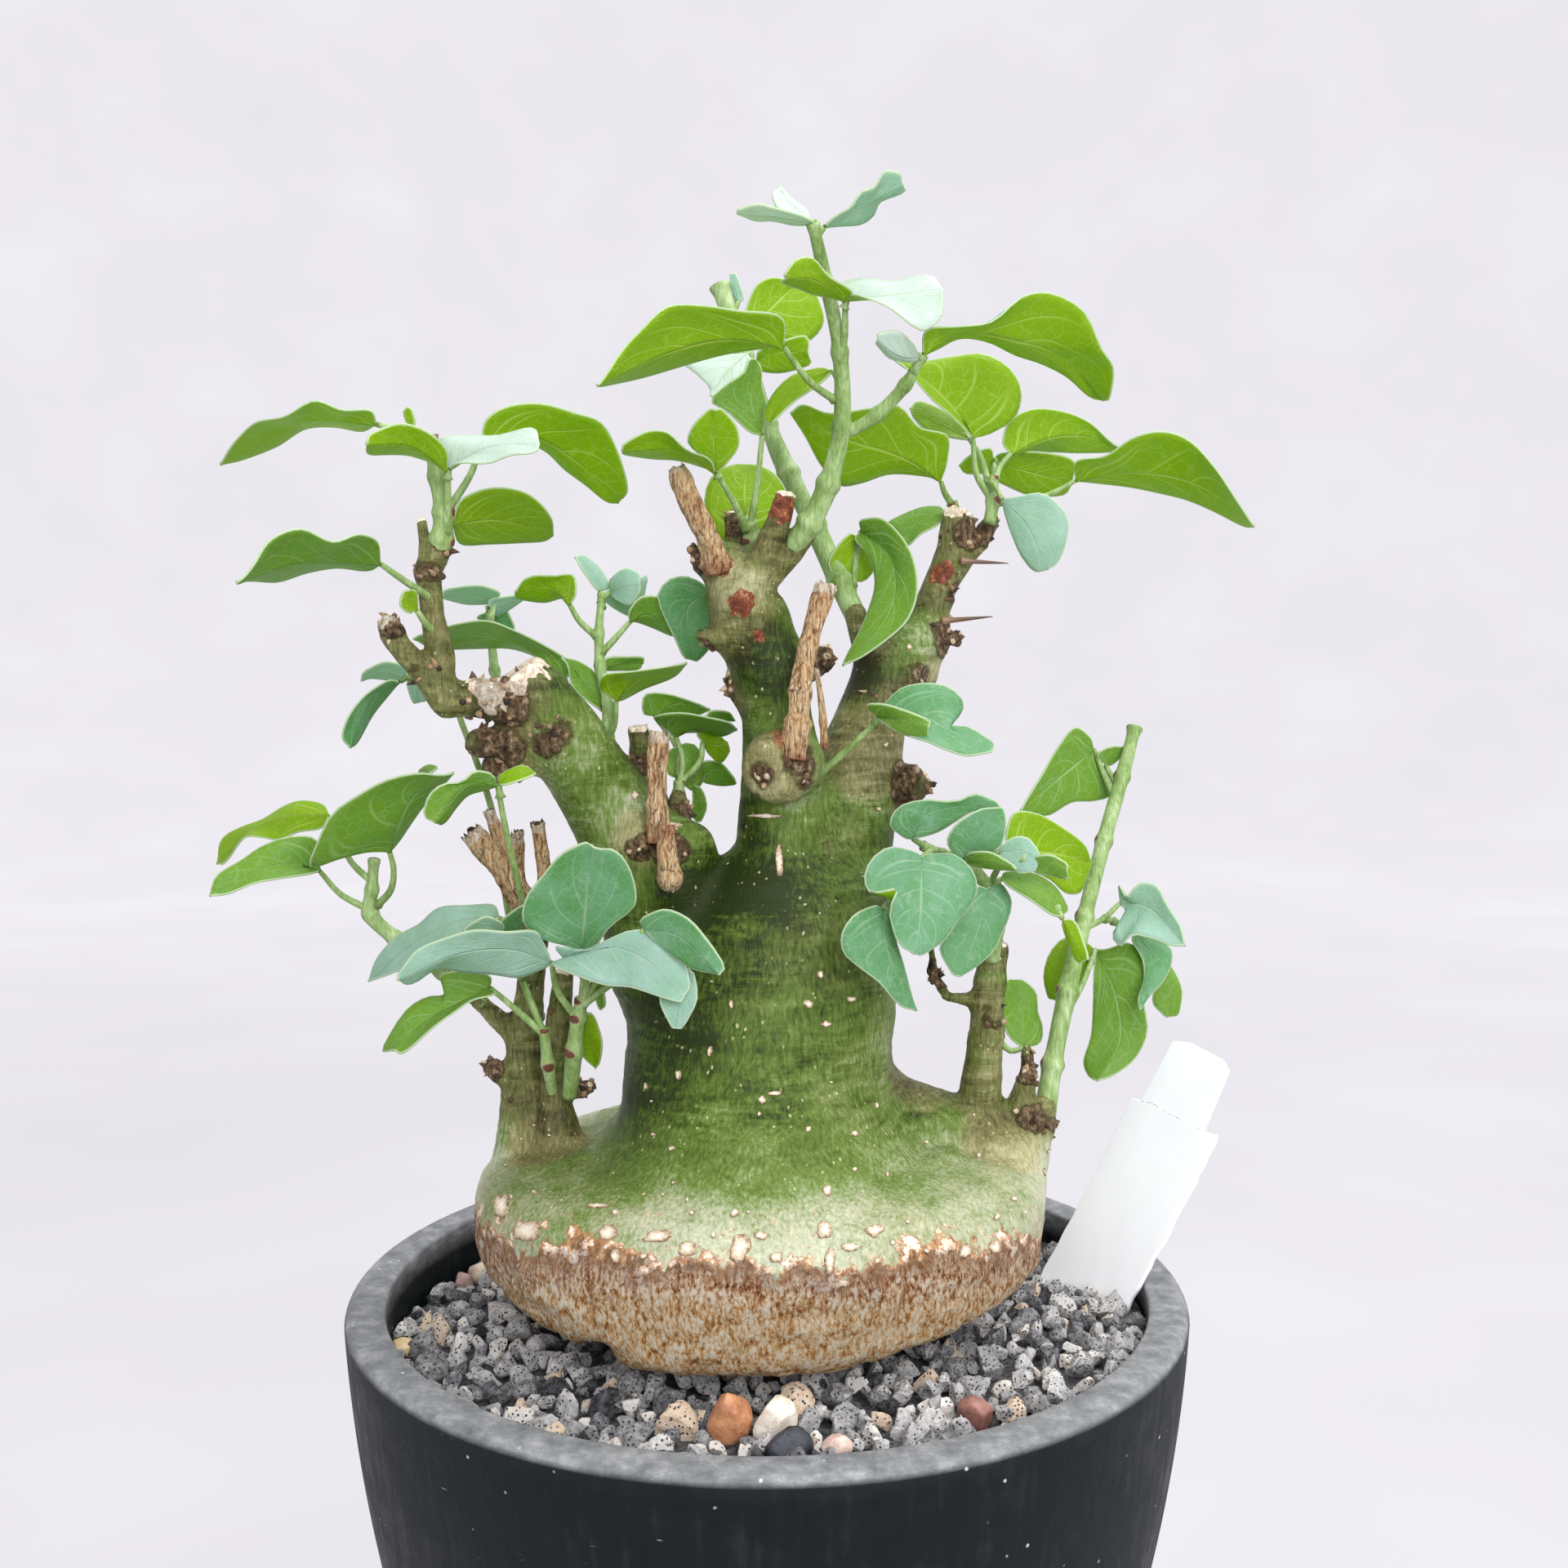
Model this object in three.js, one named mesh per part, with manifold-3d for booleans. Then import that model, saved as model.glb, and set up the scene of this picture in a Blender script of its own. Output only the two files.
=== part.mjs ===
// A potted adenia spinosa: a swollen green caudex with a corky foot, cut-back branches and dry
// stubs, leafy shoots, lava gravel and a plain plant label in a dark round pot.
// Millimetres, +Z up. The origin is the centre of the pot's underside; -Y faces the viewer.
import * as THREE from "three";
import { mergeVertices } from "three/addons/utils/BufferGeometryUtils.js";
import Module from "manifold-3d";

// Driving dimensions
const POT_HEIGHT = 130;
const RIM_RADIUS = 90;
const RIM_FLAT_RADIUS = 88.8;
const RIM_BEVEL = 1.8;
const RIM_INNER_RADIUS = 81.7;
const POT_WALL = 6.5;
const POT_FLOOR = 6;
const LIP_FOOT = 108;
const WALL_SLOPE = 0.0582;
const WALL_CURVE = 0.001606;
const DRAIN_RADIUS = 4;
const DRAIN_CIRCLE = 26;
const DRAIN_COUNT = 3;
const GAP = 0.35;
const BODY_CELL = 7.5;
const BODY_GRID_LOW = new THREE.Vector3(-72, -66, 85.6);
const BODY_GRID_COUNTS = [20, 19, 31];
const CAUDEX_SEGMENTS = 28;
const CAUDEX_TOP = 145;
const CAUDEX_CLEARANCE = 0.75;
const WOOD_FOOT = 109;
const BLEND = 5;
const LEAF_THICKNESS = 0.7;
const LEAF_ROW_LENGTH = 11;
const LEAF_MOST_ROWS = 6;
const POT_SEGMENTS = 36;
const STALK_RADIUS = 0.8;
const STEM_SIDES = 5;
const TWIG_SIDES = 5;
const STUB_SIDES = 7;
const STUB_RADIUS = 3;
const STONE_COUNT = 56;
const STONE_RADIUS = 5;
const GRAVEL_LEVEL = 121.5;
const GRAVEL_SLOPE_X = 0.04;
const GRAVEL_SLOPE_Y = -0.03;
const LABEL_THICKNESS = 0.8;

// Plant shapes are written as [x, z, depth]: x and z as sighted from SIGHT_POINT on the upright
// plane through the pot's axis, and depth as the real y, where a minus is nearer the viewer.
const SIGHT_POINT = new THREE.Vector3(3.5, -336, 256.4);

// Above SWEEP_LOW the growth turns about the upright axis: its left comes nearer, its right goes back.
const SWEEP_LOW = 195;
const SWEEP_RISE = 60;
const SWEEP_TURN = 0.24;

function swept([x, z, depth]) {
  const share = Math.min(Math.max((z - SWEEP_LOW) / SWEEP_RISE, 0), 1);
  return sighted([x, z, depth + share * SWEEP_TURN * x]);
}

function sighted([x, z, depth]) {
  const reach = (depth - SIGHT_POINT.y) / -SIGHT_POINT.y;
  return new THREE.Vector3(
    SIGHT_POINT.x + (x - SIGHT_POINT.x) * reach,
    depth,
    SIGHT_POINT.z + (z - SIGHT_POINT.z) * reach,
  );
}

// Level slices of the caudex: [z, centre x, half width, half depth].
const CAUDEX_SLICES = [
  [102, -1, 30, 29], [106, -1, 37, 35], [110, -1, 41.5, 39.5], [115, -1.2, 46.5, 43.5],
  [120, -1.3, 51, 47.5], [125, -1.2, 54.3, 50.5], [130, -1.2, 57, 53], [135, -1.3, 59.4, 55],
  [140, -1.5, 61, 56.3], [145, -1.6, 61.7, 57], [150, -1.5, 61.8, 56.6], [154, -1.2, 60.5, 54.6],
  [158, -1, 54, 51], [162, -1, 36, 46.5], [166, -1, 32, 42.5], [170, -1.5, 30.3, 39],
  [175, -2, 29.4, 35], [180, -2, 29, 31.8], [190, -1, 29, 28.8], [200, 0.5, 27.6, 26.6],
  [210, 2.5, 24.5, 23.5], [218, 4, 20, 19], [224, 5, 12, 12], [228, 5, 4, 4],
];

// Thick limbs and swellings: chains of [x, z, depth, radius], blended into the caudex.
const LIMBS = [
  [[-18, 203, 1, 18], [-27, 222, -2, 11.6], [-36, 236, -3, 9], [-43, 246.5, -4, 8.2]],
  [[2, 200, -3, 18], [3.5, 226, -4, 10.4], [3, 242, -4, 8.6], [1.2, 262, -3, 6.9]],
  [[1.2, 262, -3, 6.9], [-4, 273, -3, 8.8], [-8.5, 285, -3, 5.6]],
  [[12, 212, 4, 14], [19, 240, 8, 10], [22, 252, 10, 8.2], [26, 262, 11, 8], [31, 268, 11, 6]],
  [[2, 243, -13, 6.8], [6, 243, -13, 6.4]],
  [[24, 164, 0, 11], [40, 160, 0, 10], [51, 156, 0, 9.5]],
  [[-50, 151, 0, 10.5], [-44, 153, -2, 9]],
  [[-18, 224, -8, 6.5], [-21, 218, -10, 6]],
];

// Slender wood: [x, z, depth, radius] from root to tip.
const WOOD_STEMS = {
  limb_top: [[-41, 244, -3.5, 7.6], [-45.5, 250, -4, 8.2], [-50, 256.5, -4.5, 7.2],
    [-54.6, 262.4, -5, 5.6]],
  left_outer: [[-54, 157, 0, 6.5], [-53.7, 172, 0, 4.3], [-53.2, 183, 0, 3.5], [-51.5, 197, 0, 2.9],
    [-50, 213, 0, 3]],
  left_inner: [[-45.5, 156, -4, 6], [-46.6, 170, -4, 3.3], [-46, 184, -4, 2.8], [-44.5, 198, -4, 2.1]],
  left_knob: [[-56, 173, 0, 2.5], [-60, 176, -1, 1.9]],
  left_bough: [[-56, 184, 0, 2.4], [-60.5, 188.5, 0, 2], [-64, 191.5, 0, 1.8]],
  left_nub: [[-44, 171, -5, 2], [-39.5, 172, -6, 1.5]],
  right_stem: [[46.3, 160, 0, 6.5], [46.8, 172, 0, 4.5], [48, 188, 0, 3.9], [49, 204, 0, 3.4]],
  right_knob: [[49.3, 184, -2, 2.6], [49.6, 189, -4, 1.7]],
  right_thorn_twig: [[45, 191, 1, 2], [39, 191.8, 0, 1.2], [36.4, 197, 0, 1.1], [35, 206, 0, 1]],
  right_dry_twig: [[56.3, 160, 0, 2.4], [57.6, 171, -1, 1.2], [56.6, 180.5, -1, 1.2]],
  right_scar: [[54.5, 163, 0, 4], [56, 172, 0, 2.4]],
  limb_side_branch: [[-55, 256, -5, 4.6], [-63, 257.3, -6, 3.6], [-69, 256.2, -6, 3.1],
    [-75.5, 263.5, -6, 2.4], [-81, 271, -6, 1.9], [-80.8, 275, -6, 1.2]],
  limb_cut_twig: [[-78.5, 266.5, -6, 2], [-82, 269.5, -6, 1.4], [-83.3, 274, -6, 1.2]],
  limb_riser: [[-70, 257, -6, 2.6], [-70.5, 266, -6, 2.8], [-72.3, 274, -6, 2.4], [-73.3, 284, -6, 2.2],
    [-71, 288.5, -6, 2.6]],
  limb_riser_twig: [[-73, 286, -6, 1.2], [-74.6, 296, -6, 0.9]],
  limb_knobs: [[-46, 249, -5, 5], [-56, 248, -6, 3.4], [-62.3, 247.3, -8, 2.9]],
  limb_spur: [[-44, 246, -5, 5], [-56, 243.6, -5, 3.8], [-59, 242, -6, 2.8]],
  limb_back_stub: [[-23, 230, 8, 3.2], [-26.5, 242, 9, 2.5], [-28.3, 251, 9, 2.3]],
  limb_back_nub: [[-30, 240, 3, 2.2], [-34, 247, 6, 1.4]],
  mid_nub: [[-19, 228, 3, 3], [-19.5, 235.5, 3, 1.9]],
  mid_bud: [[-27, 223, -8, 3], [-29, 227, -12, 2]],
  trunk_side_stub: [[-4, 255, 0, 2.6], [-7.5, 259, 0, 1.7], [-8.6, 262.5, 0, 0.9]],
  head_knob: [[-9, 270, -5, 3.4], [-14.5, 270.5, -6, 1.2]],
  head_side: [[-8, 281, -3, 3], [-13.4, 285, -3, 1.8], [-16, 289, -3, 1]],
  head_stub_behind: [[-5, 282, 3, 3], [-6.5, 290, 5, 2.5], [-7.6, 297, 6, 2.2]],
  head_limb: [[-6, 278, -8, 4.6], [-1.5, 286.5, -9, 3], [2, 294, -9, 2.7], [4.2, 301, -9, 2.2]],
  head_shoot_base: [[0, 284, -6, 3.4], [5, 289, -6, 3], [8.5, 293.5, -7, 2.5]],
  trunk_small_stub: [[2, 260, -1, 3], [9, 262, 3, 2], [12, 265, 3, 2.3], [13, 269, 3, 1]],
  back_stem_root: [[22, 256, 10, 3.6], [21.5, 266, 10, 3.2], [19, 275, 10, 2.8]],
  right_head: [[28, 264, 11, 6], [33, 270, 12, 5.2], [36.5, 280, 12, 4], [40, 289, 12, 3.6],
    [41.3, 297.5, 12, 3.1]],
  right_head_branch: [[40.5, 284.5, 12, 2.6], [45.3, 290.5, 12, 2.2], [49, 296.5, 12, 1.9]],
  right_head_stub: [[38.5, 286, 12, 2.4], [39, 297.5, 12, 1.5]],
  right_scale_ridge: [[33.5, 262, 12, 3.6], [36.5, 270, 12, 2.2], [40.5, 270, 10, 0.9]],
  right_knob_low: [[27, 238, 6, 5], [30.5, 238.5, 3, 4.2], [34.5, 238.5, 2, 1.2]],
  shoot_foot: [[57, 158, 0, 5.5], [60, 165, 1, 3.2], [60.8, 168, 2, 2.7]],
};

// Dead stubs, bare and tan, each snapped or cut off at its top.
const DRY_STUBS = {
  dry_stub_front: [[[5.2, 244, -19, 2.7], [6.4, 252, -19.5, 2.4], [8.2, 266, -17, 2.1],
    [12.6, 281, -14, 2.3]]],
  dry_twig_front: [[[12.3, 246, -12, 0.9], [11.8, 254, -12, 0.8], [10.6, 263, -14, 0.6]]],
  dry_stub_top: [[[-10.5, 284, -6, 2.9], [-13.2, 292, -7, 2.8], [-17.5, 301, -8, 2.5],
    [-19.6, 306.5, -8, 2]]],
  dry_stub_middle: [
    [[-23.6, 226, -14, 2.5], [-24.1, 236, -14, 2], [-23.6, 249.5, -13, 2.1]],
    [[-22.3, 229.5, -16, 1.8], [-21.8, 222, -17.5, 1.9], [-21.3, 217.5, -18, 2.8],
     [-21.3, 215.2, -18, 1.2]],
  ],
  dry_stub_left_long: [[[-50.5, 209, -3, 2.3], [-54, 214, -4, 2.5], [-59.5, 222, -4, 2.5],
    [-64.5, 228, -4, 2.3]]],
  dry_stub_left_pale: [[[-51.5, 210, 3.5, 1.5], [-54, 216, 3.5, 1.4], [-60.5, 232.5, 3.5, 1.5]]],
  dry_stub_left_round: [[[-50.4, 204, 1, 1.6], [-52, 209, 8, 1.7], [-54, 217, 9, 1.6],
    [-54.4, 228, 8, 1.6]]],
  dry_stub_left_near: [[[-48.8, 209.5, 2, 1.6], [-48.6, 218, 1, 1.6], [-50, 230, 1, 1.6]]],
};

const SPINES = {
  spine_upper: [[41.5, 286.5, 8, 0.9], [51.8, 286, 4, 0.45]],
  spine_lower: [[37.5, 273.6, 8, 1], [48.5, 274.6, 3, 0.45]],
};

// A leafy spray has stems of [x, z, depth, radius] and leaves. A leaf has its rib from base to tip,
// two edges of [x, z], how far each edge stands out of the rib's depth, and its stalk.
function leaf(rib, edgeA, edgeB, lean, stalk) {
  return { rib, edgeA, edgeB, lean, stalk };
}

const SPRAYS = {
  spray_crown: {
    bow: -16,
    stems: [
      [[5, 289.5, -7, 2.2], [9, 294.5, -8, 2.4], [13, 303, -8, 2.1], [15.8, 315, -8, 1.8],
       [15.4, 331, -8, 1.5], [12.6, 345, -8, 1.4], [9.6, 358, -8, 1.1]],
      [[17.5, 314, -8, 1.3], [23.5, 317.7, -9, 1.3], [29.5, 324, -10, 1.2], [33.2, 330.3, -11, 1]],
    ],
    leaves: [
      leaf([[16.5, 341.5, -11], [10, 346, -17], [4, 346.5, -21]],
        [[17.5, 344.3], [13, 347], [9.5, 350.8], [6, 350.4], [4.3, 348.3]],
        [[13, 342.3], [9.5, 343], [6.5, 344.2], [4, 345]], [-3, 3],
        [[15.6, 329, -8], [16.5, 335, -10], [16.3, 342.5, -11.5]]),
      leaf([[17, 342, -11], [26, 342.5, -13], [37.5, 344, -13]],
        [[15.5, 345.3], [20, 346.4], [27, 345.8], [33, 347]],
        [[20, 342.6], [26, 340.2], [33, 335.4], [36, 337]], [5, -6], [[16.3, 340, -11],
         [18.5, 342.2, -11.5]]),
      leaf([[10.5, 358, -8], [2, 359.3, -12], [-6.6, 360, -14]],
        [[5, 360.2], [1, 361.2], [-2, 362], [-4.8, 361.3]],
        [[5, 357.6], [1, 358.4], [-2.5, 358.4], [-5, 359.3]], [-4, 5], [[9.8, 356, -8], [8, 358.4, -8.8]]),
      leaf([[9, 358.6, -8], [5, 361.6, -4], [2.3, 365.3, 0]],
        [[7.5, 361.5], [5, 363.3], [3.4, 365]], [[6, 359.8], [2.4, 360.6], [1.2, 362.8]], [2, -2],
        [[10.3, 355.5, -8], [8.6, 359.4, -7.6]]),
      leaf([[12, 357, -8], [19.5, 360.8, -6], [28.8, 366, -6]],
        [[15, 359.8], [17.8, 361.3], [20, 364.6], [22.8, 365.5], [24.8, 368.8], [27, 368.8]],
        [[15.5, 357.3], [20, 357.7], [22.6, 359.6], [23.8, 362.2], [28, 363.9]], [-5, 4],
        [[10.2, 355, -8], [14, 358.2, -7.6]]),
      leaf([[3.6, 331.7, -10], [-8, 333.6, -14], [-22, 330.6, -22], [-36.6, 323.7, -32]],
        [[2, 338.8], [-6, 339.6], [-14, 340.7], [-21.5, 340.4], [-27, 335.6], [-31, 331.4], [-34.4, 326.4]],
        [[0, 331.7], [-6, 331], [-12, 329.7], [-20, 327.4], [-27, 325.4], [-33, 324.1]], [-10, 9],
        [[14.3, 320.8, -8], [9, 324.6, -10], [3, 332.3, -12.3]]),
      leaf([[33, 330, -11], [41, 335, -8], [52, 333.4, -2], [62, 330.5, 5], [72, 320.6, 14]],
        [[35, 336], [41, 336.3], [48, 337.3], [54.5, 342.6], [60, 343.4], [67.5, 339.6], [71.5, 331.5],
         [74, 327.5], [73.4, 321.6]],
        [[36.5, 331.6], [41, 333.7], [47, 333], [53, 330.2], [58.5, 328.4], [64, 325.6], [68.5, 321.6]],
         [-7, 7],
        [[31, 326.5, -10.5], [35, 332.5, -11.3]]),
      leaf([[32.5, 329.6, -12], [28, 329.9, -17], [23.4, 333.4, -19]],
        [[30.5, 333.3], [28, 335.4], [25, 335.2]], [[29.5, 328.8], [26, 329.6], [24, 331.6]], [-3, 2],
        [[33, 329.5, -11], [30.6, 329.9, -13.4]]),
      leaf([[14, 326.8, -6], [5, 322.6, -1], [0.2, 315.4, -2]],
        [[10, 327.4], [5, 325.8], [1, 321.8], [-0.7, 318]], [[10.5, 323.6], [5.5, 320.2], [2, 316.8]],
         [3, -3],
        [[15.5, 324.5, -8], [12.5, 326, -5.4]]),
    ],
  },
  spray_behind: {
    bow: 18,
    stems: [
      [[20, 272.5, 10, 2.5], [15.5, 282, 10, 2.5], [10, 294, 10, 2.4], [4.5, 305, 10, 2.2],
       [0, 315.5, 10, 2.1], [-5, 330, 10, 2], [-10.2, 344.6, 10, 2]],
    ],
    leaves: [
      leaf([[-3.6, 336, 12], [2, 341.5, 15], [6.5, 345.6, 18]],
        [[-4.6, 340.3], [-2.4, 345], [0.6, 346.6], [4, 346.2]], [[2, 334], [8.5, 333], [12, 337],
         [10.6, 342.6]], [-2, 2],
        [[-6.6, 333, 10], [-2.6, 337, 12.4]]),
      leaf([[-2.5, 329.3, 9], [3.5, 331, 7], [8.8, 330.4, 6]],
        [[-0.5, 332], [3.6, 333.4], [7.4, 334.4]], [[-0.8, 326.6], [3, 326.4], [8, 327.7]], [-2, 2],
        [[-5, 327, 10], [-1.6, 329.6, 8.7]]),
      leaf([[-4.2, 330.6, 6], [-9, 326, 2], [-12.3, 321.6, 0]],
        [[-3.8, 327], [-5.6, 324], [-7, 321.4], [-9.7, 321.2]], [[-10, 330], [-18, 328.6], [-15, 326],
         [-13, 324]], [-2, 2],
        [[-4.2, 328.5, 10], [-5.4, 329.3, 5]]),
      leaf([[-6.2, 341.5, 10], [-7, 344.4, 10], [-7.8, 347.3, 10]],
        [[-5.2, 343.2], [-6, 346]], [[-7.4, 342.6], [-8, 345.6]], [-0.5, 0.5], [[-7.8, 338, 10],
         [-6.5, 343, 10]]),
      leaf([[20, 293, 6], [26.5, 287.5, 0], [27.5, 279, -4], [24, 271.4, -6], [16.1, 264, -8]],
        [[20.5, 295.5], [24.5, 295.6], [28.6, 292], [31.4, 287], [32.3, 280], [30.3, 274], [25.5, 269.4],
         [20, 265.6]],
        [[19, 290.5], [21.2, 288.4], [22.6, 285], [23, 281], [21.6, 276], [19.8, 271.6], [17.4, 267]],
         [-2, 4],
        [[18.2, 277.5, 10], [19, 286, 9], [20.5, 292.8, 5.4]]),
      leaf([[19.2, 291.6, 8], [18.6, 287.5, 9], [17.6, 282.4, 10]],
        [[17, 292], [14.4, 289], [13, 285.8], [14.6, 283]], [[22, 289.6], [23.6, 286], [21.4, 282.6]],
         [-2, 1],
        [[18.4, 281, 9.5], [18.9, 289.6, 8.4]]),
    ],
  },
  spray_head: {
    bow: -4,
    stems: [
      [[-3, 286, 1, 2], [-3.2, 291, 1, 1.9], [-4, 295, 0, 1.4]],
    ],
    leaves: [
      leaf([[-1.2, 313.2, -2], [-3.6, 320.5, -1], [-2.6, 329.4, 1]],
        [[-4, 314], [-8.6, 318.2], [-12.2, 320.6], [-9, 324], [-5.2, 326.6], [-4, 329.4]],
        [[-0.7, 315.6], [-0.2, 319.8], [-1.2, 323.6], [-1.3, 327.4]], [-2, 1],
        [[-3.8, 293.5, 0], [-2.2, 303, -1], [-1.5, 315, -1.8]]),
      leaf([[-11, 305.2, -8], [-19, 310, -12], [-31.4, 310, -17]],
        [[-13, 308.6], [-17.4, 310.2], [-21.6, 313.9], [-25.5, 314.2], [-29.6, 312.3]],
        [[-14, 306.5], [-19, 307.9], [-25, 308.3], [-29.8, 309]], [-6, 5],
        [[-4.6, 293, 0], [-7, 298.5, -4], [-11.6, 306, -8.2]]),
      leaf([[-11, 305.2, -8], [-11.6, 312, -12], [-11.2, 318.8, -16]],
        [[-14, 308.6], [-17.2, 311.8], [-16, 315.4], [-13.4, 318.2]],
        [[-8.4, 307.6], [-6.1, 311], [-6.6, 315.2], [-9, 318.2]], [-1, -2],
        [[-10.6, 304.4, -7.6], [-11.3, 308.6, -10]]),
      leaf([[-4.6, 296, 4], [-5, 301.5, 8], [-4, 307, 12]],
        [[-8, 289.6], [-12.6, 294.5], [-13.6, 300.6], [-11.4, 305.4], [-8, 306.9]],
        [[-0.5, 292.5], [3, 296], [4, 301], [1.6, 305], [-1, 306.6]], [1, 1],
        [[-4, 292, 1], [-4.7, 298.5, 5.6]]),
    ],
  },
  spray_right_stub: {
    bow: -8,
    stems: [
      [[41.6, 294.5, 16, 1.3], [39.5, 299, 16, 1.1]],
    ],
    leaves: [
      leaf([[37.2, 303.4, 14], [29, 308.5, 10], [17, 312.4, 6], [4.8, 318, 3]],
        [[38.7, 308.5], [38.6, 313.2], [32.6, 315], [28, 319.6], [21.6, 319], [13, 318], [7.6, 319.8]],
        [[33.4, 304.6], [26, 305], [20, 303.1], [15.4, 302.6], [11.4, 306.8], [8, 313]], [-5, 5],
        [[40, 298, 16], [38, 301, 15], [35.6, 305, 13.6]]),
      leaf([[37.9, 296.4, 16], [34, 295.4, 18], [28.8, 291.6, 20]],
        [[36.4, 298.2], [33, 298], [28, 296], [25.8, 294.8]], [[36, 293.8], [33, 292.2], [30.6, 290]],
         [3, -3],
        [[40.4, 297, 16], [36.5, 296, 16.5]]),
    ],
  },
  spray_right: {
    bow: 10,
    stems: [
      [[47.6, 294.5, 8, 1.4], [48.4, 299.5, 7.5, 1.4], [48.2, 304.5, 7, 1.1]],
    ],
    leaves: [
      leaf([[44, 312.6, 4], [39.6, 318.6, 1], [34, 324.2, -2], [27.2, 329.2, -5]],
        [[48.5, 314], [53, 317], [54.3, 322.4], [51.8, 327.4], [46, 330.5], [39.6, 329.9], [32.5, 328.8]],
        [[42, 314.7], [39, 317.6], [35.4, 320.6], [32, 324.4], [29.4, 327.6]], [3, -3],
        [[47.8, 300, 7.5], [44.8, 305, 5.5], [43.4, 314, 3.6]]),
      leaf([[43.4, 312.2, 12], [38, 315.4, 12], [30.4, 319, 10]],
        [[40, 316.8], [36.5, 319], [33, 320.4]], [[39, 312.8], [34.5, 313.8], [32, 316]], [2, -2],
        [[47.4, 303, 7.5], [45.5, 309, 10], [42, 313, 12]]),
      leaf([[52, 309.3, 9], [60, 312.5, 13], [68.4, 313, 19], [75.8, 310.5, 24]],
        [[50.4, 312.4], [51.6, 316], [56, 318.7], [63, 318.4], [69, 316], [72.6, 312.7]],
        [[55.5, 309], [60, 309.7], [66, 309.5], [72, 309.6]], [-5, 5],
        [[48.5, 302.5, 7], [49.8, 306.5, 8], [53.5, 310, 8.8]]),
      leaf([[48.4, 308, 16], [56, 305.6, 18], [65.5, 303, 20]],
        [[51, 309.6], [58, 309.8], [64.6, 308.6]], [[46, 305.3], [51, 302.6], [56, 300.6], [62, 300.3]],
         [-4, 4],
        [[48.6, 303.5, 7.4], [48.6, 306.5, 13], [51, 307, 16.6]]),
      leaf([[48.6, 308.2, 14], [45, 307.6, 15], [41, 306.8, 16]],
        [[47, 310.6], [44, 309.4]], [[46.4, 305.2], [43.4, 305]], [-2, 2],
        [[49.4, 307.2, 15.4], [46.8, 307.9, 14.5]]),
      leaf([[66, 303.6, 8], [77, 305.5, 0], [89, 304, -9], [98, 299.6, -17], [104.6, 293.7, -24]],
        [[66.6, 308], [72.4, 308.9], [78.4, 312.8], [84.5, 314.1], [90, 312.4], [95.6, 306.8],
         [100.6, 299.6]],
        [[71.4, 303], [78, 302.2], [84, 301], [90, 299.5], [96, 297], [101.6, 294.2]], [-7, 7],
        [[48.8, 298.8, 7.5], [57, 299.6, 9], [62, 301.4, 9], [68.5, 304.3, 7]]),
      leaf([[50.4, 299.8, 2], [55.5, 294, -1], [60.4, 284.6, -3]],
        [[54, 300.4], [59.4, 300.9], [64.4, 296], [64.3, 290.6], [62.4, 286]],
        [[50.8, 297], [52.2, 292.6], [54.6, 287.4], [57.6, 284.2]], [-2, 2],
        [[47.8, 301.5, 7], [48, 303.3, 4.6], [51.4, 298.8, 1.6]]),
    ],
  },
  spray_left_top: {
    bow: -10,
    stems: [
      [[-71.6, 286.5, -6, 2], [-70.2, 291, -6, 2.1], [-69.7, 297, -6, 1.8], [-71, 304.5, -5, 1.5],
       [-72.4, 313.3, -5, 1.3]],
    ],
    leaves: [
      leaf([[-83.8, 315.6, 2], [-95, 316.7, 8], [-105, 315, 15], [-117.5, 307, 24]],
        [[-85, 318.5], [-91, 318.6], [-97, 320.6], [-103.6, 317.2], [-109.6, 316], [-113.6, 312.6]],
        [[-87, 314.1], [-92.6, 315], [-99, 314.6], [-105, 311], [-111.6, 308.4]], [-9, 9],
        [[-72, 310.5, -5], [-77, 313.5, -2], [-86.5, 316, 2]]),
      leaf([[-68.6, 305.6, -10], [-76.6, 311, -16], [-86.2, 311.4, -22]],
        [[-69.6, 311.4], [-74, 314.6], [-79, 315.8], [-83.8, 314.3]],
        [[-72.4, 307.6], [-77, 309], [-81, 309.2], [-84.6, 309.1]], [-3, 5],
        [[-69.2, 292, -7], [-68.7, 299, -9], [-69.8, 306.8, -11]]),
      leaf([[-68.4, 306, -10], [-60, 310.5, -14], [-48.8, 311.4, -18]],
        [[-70, 312.6], [-65, 313.2], [-58, 313.2], [-51.4, 314.8]],
        [[-65.6, 307.4], [-60, 307.3], [-55, 309], [-51, 309.4]], [5, -5],
        [[-68.7, 304, -9.8], [-66.2, 307.4, -11]]),
      leaf([[-61.4, 310.6, 3], [-51, 313, 8], [-41, 307.6, 16], [-32, 298.8, 24]],
        [[-60.4, 316.4], [-56.4, 319.2], [-49, 320.1], [-41, 318], [-35.6, 316], [-32, 309.6],
         [-30, 302.6]],
        [[-57, 310.4], [-51.6, 311.4], [-47.6, 309.8], [-43.6, 306], [-39, 302.6], [-35.4, 299.6]], [-6, 5],
        [[-68.6, 297.5, -5.5], [-64, 304.5, 0], [-59.6, 311.2, 3.6]]),
      leaf([[-67.8, 294.6, -5], [-58, 295.4, 2], [-46, 292, 12]],
        [[-65.6, 299.8], [-59.4, 302.1], [-53, 301.5], [-49.4, 299.4], [-46.6, 296]],
        [[-66, 290.1], [-60, 290.1], [-53, 290.4], [-48.4, 290.7]], [-8, 8],
        [[-70, 292.5, -6], [-65.6, 295, -4]]),
      leaf([[-76, 314.6, -3], [-76.6, 317, -3], [-77.2, 319.3, -3]],
        [[-75.4, 316.4], [-76, 318.6]], [[-77.2, 315.4], [-78, 317.6]], [-0.5, 0.5],
        [[-72.2, 311.5, -5], [-74.6, 313.2, -4], [-76.4, 316, -3]]),
    ],
  },
  leaf_left_lance: {
    bow: -16,
    stems: [],
    leaves: [
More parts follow.
